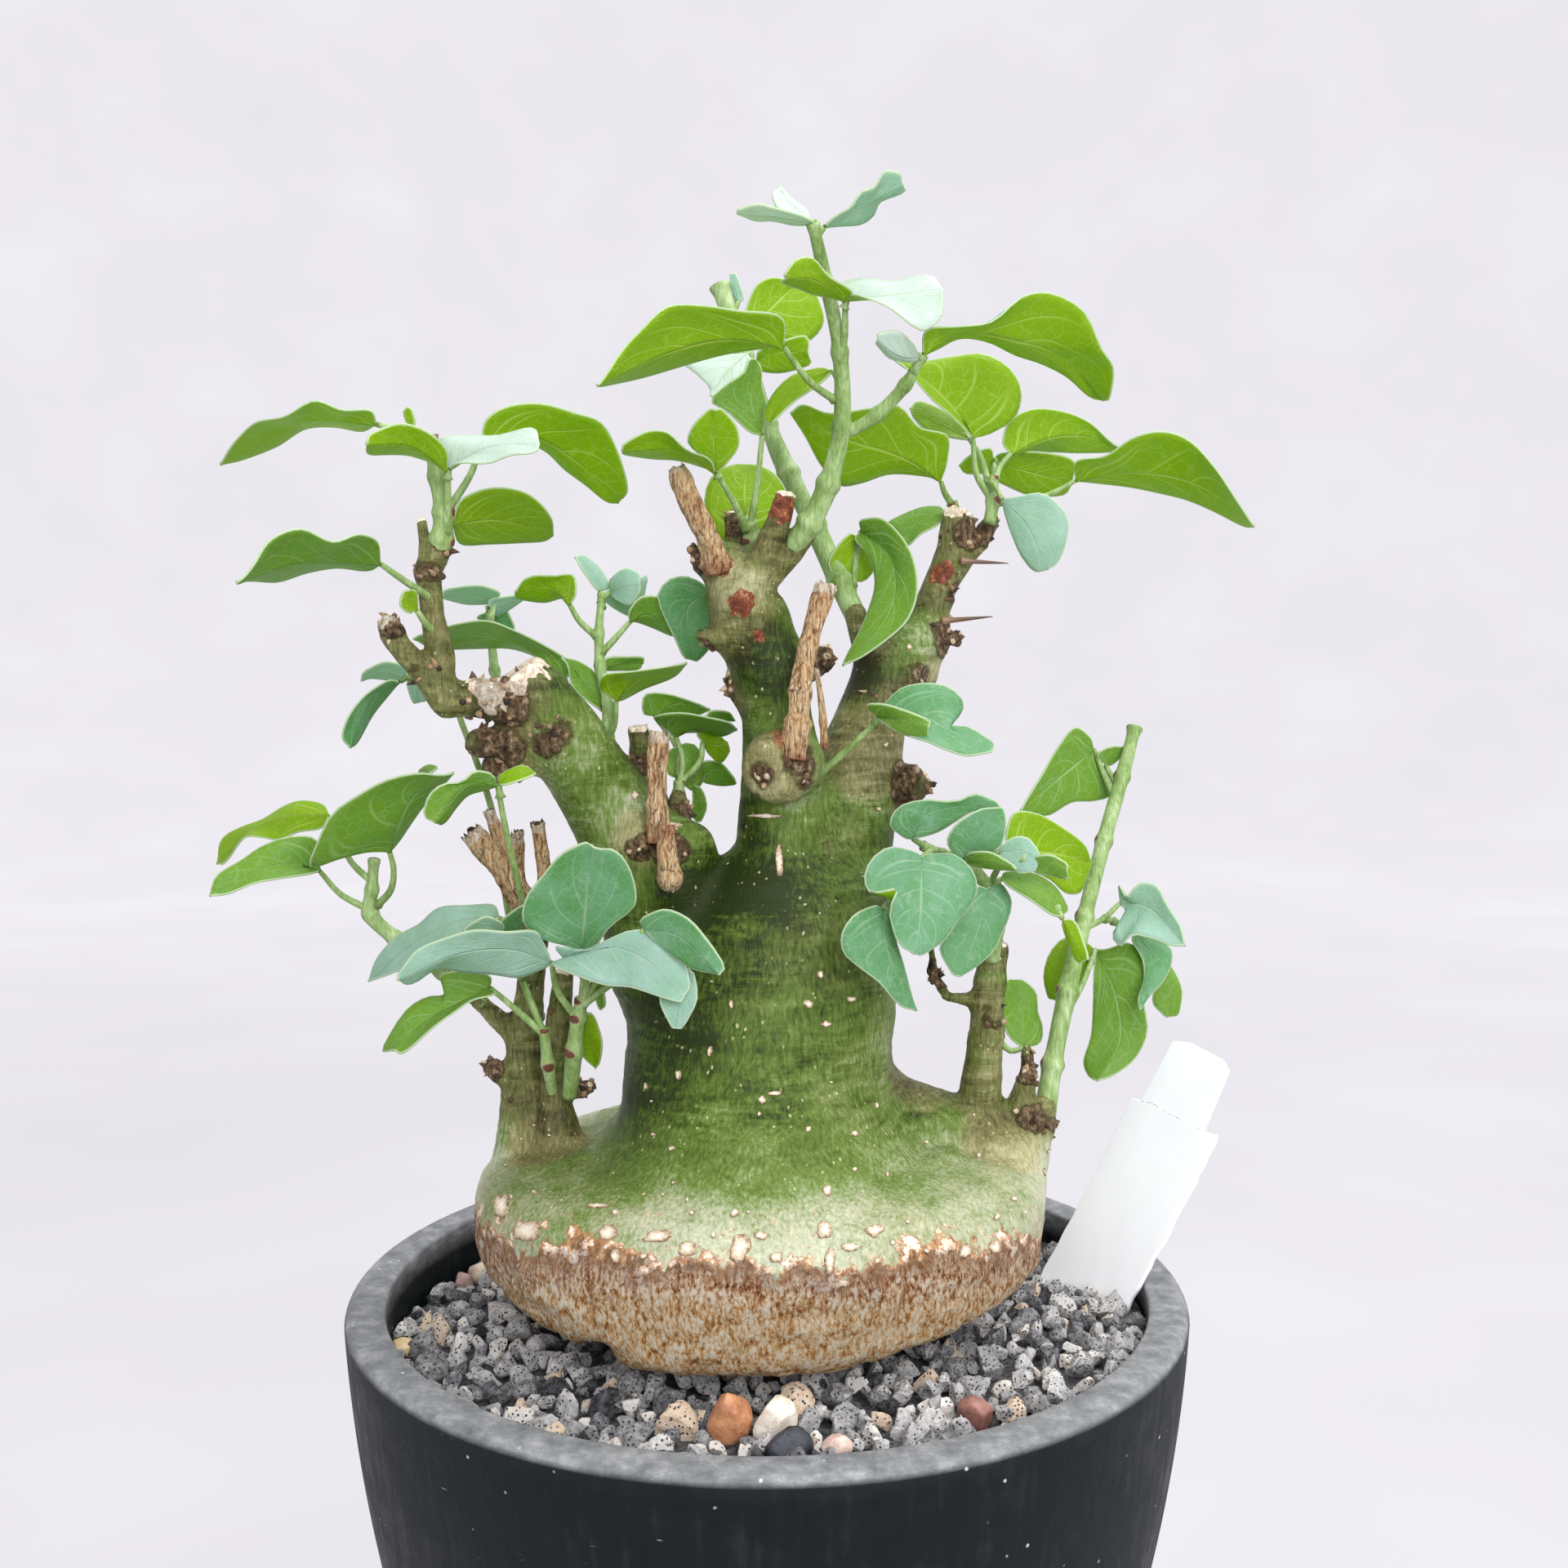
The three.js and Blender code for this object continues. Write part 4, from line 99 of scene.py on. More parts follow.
# A cork plate's rings, from its middle to its edge, and how high each stands.
PLATE_SIDES = 18
PLATE_SHARES = [0, 0.35, 0.65, 0.88, 1, 1.1]
PLATE_RISES = [0.75, 0.7, 0.8, 1, 0.5, -0.7]

# How far a plate stands from the bark in mm, how many plates the unseen back has, and how many of
# those are the larger flakes.
PLATE_LIFT = 0.34
BACK_PLATES = 80
BACK_FLAKES = 24

# How brown the bark is on thin woody stems.
STEM_BROWNNESS = 0.62

# Above SWEEP_LOW the growth turns about the upright axis, fully so SWEEP_RISE mm higher: its left
# comes nearer.
SWEEP_LOW = 195
SWEEP_RISE = 60
SWEEP_TURN = 0.24

# The swollen caudex in level slices: [height, centre x, half width, half depth].
CAUDEX_SLICES = [
    [102, -1, 30, 29], [106, -1, 37, 35], [110, -1, 41.5, 39.5], [115, -1.2, 46.5, 43.5],
    [120, -1.3, 51, 47.5], [125, -1.2, 54.3, 50.5], [130, -1.2, 57, 53], [135, -1.3, 59.4, 55],
    [140, -1.5, 61, 56.3], [145, -1.6, 61.7, 57], [150, -1.5, 61.8, 56.6], [154, -1.2, 60.5, 54.6],
    [158, -1, 54, 51], [162, -1, 36, 46.5], [166, -1, 32, 42.5], [170, -1.5, 30.3, 39],
    [175, -2, 29.4, 35], [180, -2, 29, 31.8], [190, -1, 29, 28.8], [200, 0.5, 27.6, 26.6],
    [210, 2.5, 24.5, 23.5], [218, 4, 20, 19], [224, 5, 12, 12], [228, 5, 4, 4],
]

# Chains of balls that the thick limbs are made of: [x, z, depth, radius].
LIMBS = [
    [[-18, 203, 1, 18], [-27, 222, -2, 11.6], [-36, 236, -3, 9], [-43, 246.5, -4, 8.2]],
    [[2, 200, -3, 18], [3.5, 226, -4, 10.4], [3, 242, -4, 8.6], [1.2, 262, -3, 6.9]],
    [[1.2, 262, -3, 6.9], [-4, 273, -3, 8.8], [-8.5, 285, -3, 5.6]],
    [[12, 212, 4, 14], [19, 240, 8, 10], [22, 252, 10, 8.2], [26, 262, 11, 8], [31, 268, 11, 6]],
    [[2, 243, -13, 6.8], [6, 243, -13, 6.4]],
    [[24, 164, 0, 11], [40, 160, 0, 10], [51, 156, 0, 9.5]],
    [[-50, 151, 0, 10.5], [-44, 153, -2, 9]],
    [[-18, 224, -8, 6.5], [-21, 218, -10, 6]],
]

# The thinner woody stems and knobs, as chains of the same kind.
WOOD_STEMS = {
    "limb_top": [
        [-41, 244, -3.5, 7.6], [-45.5, 250, -4, 8.2], [-50, 256.5, -4.5, 7.2],
        [-54.6, 262.4, -5, 5.6],
    ],
    "left_outer": [
        [-54, 157, 0, 6.5], [-53.7, 172, 0, 4.3], [-53.2, 183, 0, 3.5], [-51.5, 197, 0, 2.9],
        [-50, 213, 0, 3],
    ],
    "left_inner": [
        [-45.5, 156, -4, 6], [-46.6, 170, -4, 3.3], [-46, 184, -4, 2.8], [-44.5, 198, -4, 2.1],
    ],
    "left_knob": [[-56, 173, 0, 2.5], [-60, 176, -1, 1.9]],
    "left_bough": [[-56, 184, 0, 2.4], [-60.5, 188.5, 0, 2], [-64, 191.5, 0, 1.8]],
    "left_nub": [[-44, 171, -5, 2], [-39.5, 172, -6, 1.5]],
    "right_stem": [[46.3, 160, 0, 6.5], [46.8, 172, 0, 4.5], [48, 188, 0, 3.9], [49, 204, 0, 3.4]],
    "right_knob": [[49.3, 184, -2, 2.6], [49.6, 189, -4, 1.7]],
    "right_thorn_twig": [
        [45, 191, 1, 2], [39, 191.8, 0, 1.2], [36.4, 197, 0, 1.1], [35, 206, 0, 1],
    ],
    "right_dry_twig": [[56.3, 160, 0, 2.4], [57.6, 171, -1, 1.2], [56.6, 180.5, -1, 1.2]],
    "right_scar": [[54.5, 163, 0, 4], [56, 172, 0, 2.4]],
    "limb_side_branch": [
        [-55, 256, -5, 4.6], [-63, 257.3, -6, 3.6], [-69, 256.2, -6, 3.1], [-75.5, 263.5, -6, 2.4],
        [-81, 271, -6, 1.9], [-80.8, 275, -6, 1.2],
    ],
    "limb_cut_twig": [[-78.5, 266.5, -6, 2], [-82, 269.5, -6, 1.4], [-83.3, 274, -6, 1.2]],
    "limb_riser": [
        [-70, 257, -6, 2.6], [-70.5, 266, -6, 2.8], [-72.3, 274, -6, 2.4], [-73.3, 284, -6, 2.2],
        [-71, 288.5, -6, 2.6],
    ],
    "limb_riser_twig": [[-73, 286, -6, 1.2], [-74.6, 296, -6, 0.9]],
    "limb_knobs": [[-46, 249, -5, 5], [-56, 248, -6, 3.4], [-62.3, 247.3, -8, 2.9]],
    "limb_spur": [[-44, 246, -5, 5], [-56, 243.6, -5, 3.8], [-59, 242, -6, 2.8]],
    "limb_back_stub": [[-23, 230, 8, 3.2], [-26.5, 242, 9, 2.5], [-28.3, 251, 9, 2.3]],
    "limb_back_nub": [[-30, 240, 3, 2.2], [-34, 247, 6, 1.4]],
    "mid_nub": [[-19, 228, 3, 3], [-19.5, 235.5, 3, 1.9]],
    "mid_bud": [[-27, 223, -8, 3], [-29, 227, -12, 2]],
    "trunk_side_stub": [[-4, 255, 0, 2.6], [-7.5, 259, 0, 1.7], [-8.6, 262.5, 0, 0.9]],
    "head_knob": [[-9, 270, -5, 3.4], [-14.5, 270.5, -6, 1.2]],
    "head_side": [[-8, 281, -3, 3], [-13.4, 285, -3, 1.8], [-16, 289, -3, 1]],
    "head_stub_behind": [[-5, 282, 3, 3], [-6.5, 290, 5, 2.5], [-7.6, 297, 6, 2.2]],
    "head_limb": [[-6, 278, -8, 4.6], [-1.5, 286.5, -9, 3], [2, 294, -9, 2.7], [4.2, 301, -9, 2.2]],
    "head_shoot_base": [[0, 284, -6, 3.4], [5, 289, -6, 3], [8.5, 293.5, -7, 2.5]],
    "trunk_small_stub": [[2, 260, -1, 3], [9, 262, 3, 2], [12, 265, 3, 2.3], [13, 269, 3, 1]],
    "back_stem_root": [[22, 256, 10, 3.6], [21.5, 266, 10, 3.2], [19, 275, 10, 2.8]],
    "right_head": [
        [28, 264, 11, 6], [33, 270, 12, 5.2], [36.5, 280, 12, 4], [40, 289, 12, 3.6],
        [41.3, 297.5, 12, 3.1],
    ],
    "right_head_branch": [[40.5, 284.5, 12, 2.6], [45.3, 290.5, 12, 2.2], [49, 296.5, 12, 1.9]],
    "right_head_stub": [[38.5, 286, 12, 2.4], [39, 297.5, 12, 1.5]],
    "right_scale_ridge": [[33.5, 262, 12, 3.6], [36.5, 270, 12, 2.2], [40.5, 270, 10, 0.9]],
    "right_knob_low": [[27, 238, 6, 5], [30.5, 238.5, 3, 4.2], [34.5, 238.5, 2, 1.2]],
    "shoot_foot": [[57, 158, 0, 5.5], [60, 165, 1, 3.2], [60.8, 168, 2, 2.7]],
}

# Dead dry stubs, each of one chain or two, and the sides of their tubes.
STUB_SIDES = 26
DRY_STUBS = {
    "dry_stub_front": [
        [[5.2, 244, -19, 2.7], [6.4, 252, -19.5, 2.4], [8.2, 266, -17, 2.1], [12.6, 281, -14, 2.3]],
    ],
    "dry_twig_front": [[[12.3, 246, -12, 0.9], [11.8, 254, -12, 0.8], [10.6, 263, -14, 0.6]]],
    "dry_stub_top": [
        [[-10.5, 284, -6, 2.9], [-13.2, 292, -7, 2.8], [-17.5, 301, -8, 2.5], [-19.6, 306.5, -8, 2]],
    ],
    "dry_stub_middle": [
        [[-23.6, 226, -14, 2.5], [-24.1, 236, -14, 2], [-23.6, 249.5, -13, 2.1]],
        [[-22.3, 229.5, -16, 1.8], [-21.8, 222, -17.5, 1.9], [-21.3, 217.5, -18, 2.8],
         [-21.3, 215.2, -18, 1.2]],
    ],
    "dry_stub_left_long": [
        [[-50.5, 209, -3, 2.3], [-54, 214, -4, 2.5], [-59.5, 222, -4, 2.5], [-64.5, 228, -4, 2.3]],
    ],
    "dry_stub_left_pale": [
        [[-51.5, 210, 3.5, 1.5], [-54, 216, 3.5, 1.4], [-60.5, 232.5, 3.5, 1.5]],
    ],
    "dry_stub_left_round": [
        [[-50.4, 204, 1, 1.6], [-52, 209, 8, 1.7], [-54, 217, 9, 1.6], [-54.4, 228, 8, 1.6]],
    ],
    "dry_stub_left_near": [[[-48.8, 209.5, 2, 1.6], [-48.6, 218, 1, 1.6], [-50, 230, 1, 1.6]]],
}

SPINES = {
    "spine_upper": [[41.5, 286.5, 8, 0.62], [51.8, 286, 4, 0.32]],
    "spine_lower": [[37.5, 273.6, 8, 0.68], [48.5, 274.6, 3, 0.32]],
}

# Height at which the caudex ends, under the gravel, and two corners of the box that holds it.
WOOD_FOOT = 112
WOOD_BOX = [[-92.0, -66, WOOD_FOOT - 3], [72.0, 66, 310]]

# How softly, in mm, the limbs and the thinner stems run into the caudex.
LIMB_BLEND = 5
STEM_BLEND = 1.8

# Stems that were cut off, and how far down its side each one's pale wood goes.
CUT_STEMS = {
    "limb_top": 3.6, "left_outer": 1, "left_inner": 1, "right_stem": 1, "limb_side_branch": 1.5,
    "limb_cut_twig": 1.5, "limb_riser_twig": 1, "limb_back_stub": 1, "trunk_side_stub": 1,
    "head_stub_behind": 1, "head_limb": 1, "trunk_small_stub": 1, "right_head": 2,
    "right_head_branch": 1, "right_head_stub": 1, "right_thorn_twig": 1,
}

# Rough dark bark: [x, z, depth, radius, strength].
ROUGH_SPOTS = [
    [-46, 249, -8, 7, 1], [-56, 247, -6, 7, 1], [-61, 247, -7, 6, 1], [-57, 242, -6, 6, 1],
    [-55, 256, -8, 7, 0.9], [-62, 257, -6, 6, 0.7], [-75, 263, -6, 5, 0.5], [-81, 272, -6, 4, 0.9],
    [-70.5, 262, -6, 4, 0.6], [-73, 284, -6, 4.5, 0.7], [-71, 289, -6, 4, 0.7],
    [29, 238.5, 4, 8, 1], [36, 238.5, 2, 4, 1], [36.5, 270, 11, 7, 1], [40, 270, 10, 5, 1],
    [30, 262, 8, 7, 0.8], [38, 280, 12, 6, 0.7], [42, 292, 12, 7, 0.85], [46, 292, 12, 5, 0.7],
    [22, 256, 6, 5, 0.6], [-14, 268, -5, 4, 1], [12, 265, 2, 4.5, 1], [-8, 259, 0, 4, 0.9],
    [-15, 287, -3, 5, 0.9], [-7, 294, 5, 5, 0.7], [6, 244, -18, 6, 0.7], [-21, 224, -14, 6, 0.75],
    [-28, 225, -12, 4.5, 1], [-19, 232, 3, 5, 0.8], [-27, 243, 9, 6, 0.7], [-53, 168, 0, 6, 0.6],
    [-60, 176, -1, 4, 1], [-53, 186, 0, 4.5, 0.7], [-50, 208, 0, 6, 0.9], [-40, 172, -6, 4, 1],
    [-46, 190, -3, 4, 0.7], [49, 187, -3, 4, 0.7], [37, 197, 0, 5, 0.9], [56.5, 165, 0, 6.5, 1],
    [57, 176, -1, 5, 1], [50, 202, 0, 4, 0.6], [60, 164, 1, 5, 0.9], [46, 172, 0, 4, 0.4],
    [-2, 240, -21, 5.5, 0.85], [8, 239, -20, 4, 0.6],
]

# Larger pebbles: place, half sizes, turn, and the two colours of the skin.
PEBBLES = {
    "pebble_ochre": [[-8.6, 97.9, -60], [4.4, 3.6, 5.6], 0.3, (150, 92, 58), (206, 150, 108)],
    "pebble_white": [[1.4, 96.6, -61.5], [4.2, 4, 5.2], 1.1, (196, 182, 160), (240, 234, 222)],
    "pebble_black": [[4.6, 91.6, -72], [4.6, 3.6, 3], 0.5, (18, 20, 26), (52, 56, 66)],
    "pebble_red": [[46, 98.3, -59], [3.8, 3.6, 3.2], 2.1, (112, 70, 62), (158, 112, 100)],
    "pebble_cream": [[-62.8, 130.6, 32], [4, 3.4, 3.2], 0.9, (158, 136, 120), (206, 190, 170)],
}

SMALL_PEBBLES = {
    "pebble_pink": [[15.3, 91.4, -70], [3, 2.6, 2], 0.4, (176, 140, 128), (222, 196, 184)],
    "pebble_mauve": [[-67.1, 128.4, 25], [3.2, 2.8, 2.4], 1.2, (120, 92, 88), (168, 138, 130)],
    "pebble_yellow": [[-81, 113.6, -15], [2.8, 2.4, 2], 0.2, (190, 160, 110), (226, 204, 160)],
}

# The label's softened edge and its tape's thickness, in mm.
LABEL_EDGE = 0.22
TAPE_THICKNESS = 0.22

# The label leans, turned a little from the viewer: its flat runs through three points.
LABEL_PLANE = [[61.1, 130.2, 13], [80.1, 124.7, -6], [88.7, 182.1, 12]]
LABEL_OUTLINE = [
    [51.8, 112], [85.7, 176.4], [88.6, 182.1], [92.6, 181.7], [99.6, 178], [101.1, 175.5], [73.8, 108],
]
TAPE_OUTLINE = [
    [52.4, 114], [62, 133], [71.3, 151], [79.8, 169.6], [84.6, 168.2], [92.6, 163.6], [98.9, 161],
    [90.4, 143.4], [81, 125.5], [74.6, 112],
]


def leaf(rib, edge_a, edge_b, lean, stalk):
    """A leaf: its rib from base to tip, two edges of [x, z], how far each leans, and its stalk."""
    return {"rib": rib, "edges": (edge_a, edge_b), "lean": lean, "stalk": stalk}


def spray(bow, stems, leaves):
    """A leafy spray: the depth it gains per 50 mm from its root, its stems and its leaves."""
    return {"bow": bow, "stems": stems, "leaves": leaves}


SPRAYS = {}
SPRAYS["spray_crown"] = spray(-16, [
    [[5, 289.5, -7, 2.2], [9, 294.5, -8, 2.4], [13, 303, -8, 2.1], [15.8, 315, -8, 1.8],
     [15.4, 331, -8, 1.5], [12.6, 345, -8, 1.4], [9.6, 358, -8, 1.1]],
    [[17.5, 314, -8, 1.3], [23.5, 317.7, -9, 1.3], [29.5, 324, -10, 1.2], [33.2, 330.3, -11, 1]],
], [
    leaf([[16.5, 341.5, -11], [10, 346, -17], [4, 346.5, -21]], [[17.5, 344.3], [13, 347], [9.5, 350.8],
         [6, 350.4], [4.3, 348.3]], [[13, 342.3], [9.5, 343], [6.5, 344.2], [4, 345]], [-3, 3],
         [[15.6, 329, -8], [16.5, 335, -10], [16.3, 342.5, -11.5]]),
    leaf([[17, 342, -11], [26, 342.5, -13], [37.5, 344, -13]], [[15.5, 345.3], [20, 346.4], [27, 345.8],
         [33, 347]], [[20, 342.6], [26, 340.2], [33, 335.4], [36, 337]], [5, -6], [[16.3, 340, -11],
         [18.5, 342.2, -11.5]]),
    leaf([[10.5, 358, -8], [2, 359.3, -12], [-6.6, 360, -14]], [[5, 360.2], [1, 361.2], [-2, 362],
         [-4.8, 361.3]], [[5, 357.6], [1, 358.4], [-2.5, 358.4], [-5, 359.3]], [-4, 5], [[9.8, 356, -8],
         [8, 358.4, -8.8]]),
    leaf([[9, 358.6, -8], [5, 361.6, -4], [2.3, 365.3, 0]], [[7.5, 361.5], [5, 363.3], [3.4, 365]],
         [[6, 359.8], [2.4, 360.6], [1.2, 362.8]], [2, -2], [[10.3, 355.5, -8], [8.6, 359.4, -7.6]]),
    leaf([[12, 357, -8], [19.5, 360.8, -6], [28.8, 366, -6]], [[15, 359.8], [17.8, 361.3], [20, 364.6],
         [22.8, 365.5], [24.8, 368.8], [27, 368.8]], [[15.5, 357.3], [20, 357.7], [22.6, 359.6],
         [23.8, 362.2], [28, 363.9]], [-5, 4], [[10.2, 355, -8], [14, 358.2, -7.6]]),
    leaf([[3.6, 331.7, -10], [-8, 333.6, -14], [-22, 330.6, -22], [-36.6, 323.7, -32]], [[2, 338.8],
         [-6, 339.6], [-14, 340.7], [-21.5, 340.4], [-27, 335.6], [-31, 331.4], [-34.4, 326.4]],
         [[0, 331.7], [-6, 331], [-12, 329.7], [-20, 327.4], [-27, 325.4], [-33, 324.1]], [-10, 9],
         [[14.3, 320.8, -8], [9, 324.6, -10], [3, 332.3, -12.3]]),
    leaf([[33, 330, -11], [41, 335, -8], [52, 333.4, -2], [62, 330.5, 5], [72, 320.6, 14]], [[35, 336],
         [41, 336.3], [48, 337.3], [54.5, 342.6], [60, 343.4], [67.5, 339.6], [71.5, 331.5], [74, 327.5],
         [73.4, 321.6]], [[36.5, 331.6], [41, 333.7], [47, 333], [53, 330.2], [58.5, 328.4], [64, 325.6],
         [68.5, 321.6]], [-7, 7], [[31, 326.5, -10.5], [35, 332.5, -11.3]]),
    leaf([[32.5, 329.6, -12], [28, 329.9, -17], [23.4, 333.4, -19]], [[30.5, 333.3], [28, 335.4],
         [25, 335.2]], [[29.5, 328.8], [26, 329.6], [24, 331.6]], [-3, 2], [[33, 329.5, -11],
         [30.6, 329.9, -13.4]]),
    leaf([[14, 326.8, -6], [5, 322.6, -1], [0.2, 315.4, -2]], [[10, 327.4], [5, 325.8], [1, 321.8],
         [-0.7, 318]], [[10.5, 323.6], [5.5, 320.2], [2, 316.8]], [3, -3], [[15.5, 324.5, -8],
         [12.5, 326, -5.4]]),
])
SPRAYS["spray_behind"] = spray(18, [
    [[20, 272.5, 10, 2.5], [15.5, 282, 10, 2.5], [10, 294, 10, 2.4], [4.5, 305, 10, 2.2],
     [0, 315.5, 10, 2.1], [-5, 330, 10, 2], [-10.2, 344.6, 10, 2]],
], [
    leaf([[-3.6, 336, 12], [2, 341.5, 15], [6.5, 345.6, 18]], [[-4.6, 340.3], [-2.4, 345], [0.6, 346.6],
         [4, 346.2]], [[2, 334], [8.5, 333], [12, 337], [10.6, 342.6]], [-2, 2], [[-6.6, 333, 10],
         [-2.6, 337, 12.4]]),
    leaf([[-2.5, 329.3, 9], [3.5, 331, 7], [8.8, 330.4, 6]], [[-0.5, 332], [3.6, 333.4], [7.4, 334.4]],
         [[-0.8, 326.6], [3, 326.4], [8, 327.7]], [-2, 2], [[-5, 327, 10], [-1.6, 329.6, 8.7]]),
    leaf([[-4.2, 330.6, 6], [-9, 326, 2], [-12.3, 321.6, 0]], [[-3.8, 327], [-5.6, 324], [-7, 321.4],
         [-9.7, 321.2]], [[-10, 330], [-18, 328.6], [-15, 326], [-13, 324]], [-2, 2], [[-4.2, 328.5, 10],
         [-5.4, 329.3, 5]]),
    leaf([[-6.2, 341.5, 10], [-7, 344.4, 10], [-7.8, 347.3, 10]], [[-5.2, 343.2], [-6, 346]],
         [[-7.4, 342.6], [-8, 345.6]], [-0.5, 0.5], [[-7.8, 338, 10], [-6.5, 343, 10]]),
    leaf([[20, 293, 6], [26.5, 287.5, 0], [27.5, 279, -4], [24, 271.4, -6], [16.1, 264, -8]],
         [[20.5, 295.5], [24.5, 295.6], [28.6, 292], [31.4, 287], [32.3, 280], [30.3, 274], [25.5, 269.4],
         [20, 265.6]], [[19, 290.5], [21.2, 288.4], [22.6, 285], [23, 281], [21.6, 276], [19.8, 271.6],
         [17.4, 267]], [-2, 4], [[18.2, 277.5, 10], [19, 286, 9], [20.5, 292.8, 5.4]]),
    leaf([[19.2, 291.6, 8], [18.6, 287.5, 9], [17.6, 282.4, 10]], [[17, 292], [14.4, 289], [13, 285.8],
         [14.6, 283]], [[22, 289.6], [23.6, 286], [21.4, 282.6]], [-2, 1], [[18.4, 281, 9.5],
         [18.9, 289.6, 8.4]]),
])
SPRAYS["spray_head"] = spray(-4, [
    [[-3, 286, 1, 2], [-3.2, 291, 1, 1.9], [-4, 295, 0, 1.4]],
], [
    leaf([[-1.2, 313.2, -2], [-3.6, 320.5, -1], [-2.6, 329.4, 1]], [[-4, 314], [-8.6, 318.2],
         [-12.2, 320.6], [-9, 324], [-5.2, 326.6], [-4, 329.4]], [[-0.7, 315.6], [-0.2, 319.8],
         [-1.2, 323.6], [-1.3, 327.4]], [-2, 1], [[-3.8, 293.5, 0], [-2.2, 303, -1], [-1.5, 315, -1.8]]),
    leaf([[-11, 305.2, -8], [-19, 310, -12], [-31.4, 310, -17]], [[-13, 308.6], [-17.4, 310.2],
         [-21.6, 313.9], [-25.5, 314.2], [-29.6, 312.3]], [[-14, 306.5], [-19, 307.9], [-25, 308.3],
         [-29.8, 309]], [-6, 5], [[-4.6, 293, 0], [-7, 298.5, -4], [-11.6, 306, -8.2]]),
    leaf([[-11, 305.2, -8], [-11.6, 312, -12], [-11.2, 318.8, -16]], [[-14, 308.6], [-17.2, 311.8],
         [-16, 315.4], [-13.4, 318.2]], [[-8.4, 307.6], [-6.1, 311], [-6.6, 315.2], [-9, 318.2]],
         [-1, -2], [[-10.6, 304.4, -7.6], [-11.3, 308.6, -10]]),
    leaf([[-4.6, 296, 4], [-5, 301.5, 8], [-4, 307, 12]], [[-8, 289.6], [-12.6, 294.5], [-13.6, 300.6],
         [-11.4, 305.4], [-8, 306.9]], [[-0.5, 292.5], [3, 296], [4, 301], [1.6, 305], [-1, 306.6]],
         [1, 1], [[-4, 292, 1], [-4.7, 298.5, 5.6]]),
])
SPRAYS["spray_right_stub"] = spray(-8, [
    [[41.6, 294.5, 16, 1.3], [39.5, 299, 16, 1.1]],
], [
    leaf([[37.2, 303.4, 14], [29, 308.5, 10], [17, 312.4, 6], [4.8, 318, 3]], [[38.7, 308.5],
         [38.6, 313.2], [32.6, 315], [28, 319.6], [21.6, 319], [13, 318], [7.6, 319.8]], [[33.4, 304.6],
         [26, 305], [20, 303.1], [15.4, 302.6], [11.4, 306.8], [8, 313]], [-5, 5], [[40, 298, 16],
         [38, 301, 15], [35.6, 305, 13.6]]),
    leaf([[37.9, 296.4, 16], [34, 295.4, 18], [28.8, 291.6, 20]], [[36.4, 298.2], [33, 298], [28, 296],
         [25.8, 294.8]], [[36, 293.8], [33, 292.2], [30.6, 290]], [3, -3], [[40.4, 297, 16],
         [36.5, 296, 16.5]]),
])
SPRAYS["spray_right"] = spray(10, [
    [[47.6, 294.5, 8, 1.4], [48.4, 299.5, 7.5, 1.4], [48.2, 304.5, 7, 1.1]],
], [
    leaf([[44, 312.6, 4], [39.6, 318.6, 1], [34, 324.2, -2], [27.2, 329.2, -5]], [[48.5, 314], [53, 317],
         [54.3, 322.4], [51.8, 327.4], [46, 330.5], [39.6, 329.9], [32.5, 328.8]], [[42, 314.7],
         [39, 317.6], [35.4, 320.6], [32, 324.4], [29.4, 327.6]], [3, -3], [[47.8, 300, 7.5],
         [44.8, 305, 5.5], [43.4, 314, 3.6]]),
    leaf([[43.4, 312.2, 12], [38, 315.4, 12], [30.4, 319, 10]], [[40, 316.8], [36.5, 319], [33, 320.4]],
         [[39, 312.8], [34.5, 313.8], [32, 316]], [2, -2], [[47.4, 303, 7.5], [45.5, 309, 10],
         [42, 313, 12]]),
    leaf([[52, 309.3, 9], [60, 312.5, 13], [68.4, 313, 19], [75.8, 310.5, 24]], [[50.4, 312.4],
         [51.6, 316], [56, 318.7], [63, 318.4], [69, 316], [72.6, 312.7]], [[55.5, 309], [60, 309.7],
         [66, 309.5], [72, 309.6]], [-5, 5], [[48.5, 302.5, 7], [49.8, 306.5, 8], [53.5, 310, 8.8]]),
    leaf([[48.4, 308, 16], [56, 305.6, 18], [65.5, 303, 20]], [[51, 309.6], [58, 309.8], [64.6, 308.6]],
         [[46, 305.3], [51, 302.6], [56, 300.6], [62, 300.3]], [-4, 4], [[48.6, 303.5, 7.4],
         [48.6, 306.5, 13], [51, 307, 16.6]]),
    leaf([[48.6, 308.2, 14], [45, 307.6, 15], [41, 306.8, 16]], [[47, 310.6], [44, 309.4]],
         [[46.4, 305.2], [43.4, 305]], [-2, 2], [[49.4, 307.2, 15.4], [46.8, 307.9, 14.5]]),
    leaf([[66, 303.6, 8], [77, 305.5, 0], [89, 304, -9], [98, 299.6, -17], [104.6, 293.7, -24]],
         [[66.6, 308], [72.4, 308.9], [78.4, 312.8], [84.5, 314.1], [90, 312.4], [95.6, 306.8],
         [100.6, 299.6]], [[71.4, 303], [78, 302.2], [84, 301], [90, 299.5], [96, 297], [101.6, 294.2]],
         [-7, 7], [[48.8, 298.8, 7.5], [57, 299.6, 9], [62, 301.4, 9], [68.5, 304.3, 7]]),
    leaf([[50.4, 299.8, 2], [55.5, 294, -1], [60.4, 284.6, -3]], [[54, 300.4], [59.4, 300.9], [64.4, 296],
         [64.3, 290.6], [62.4, 286]], [[50.8, 297], [52.2, 292.6], [54.6, 287.4], [57.6, 284.2]], [-2, 2],
         [[47.8, 301.5, 7], [48, 303.3, 4.6], [51.4, 298.8, 1.6]]),
])
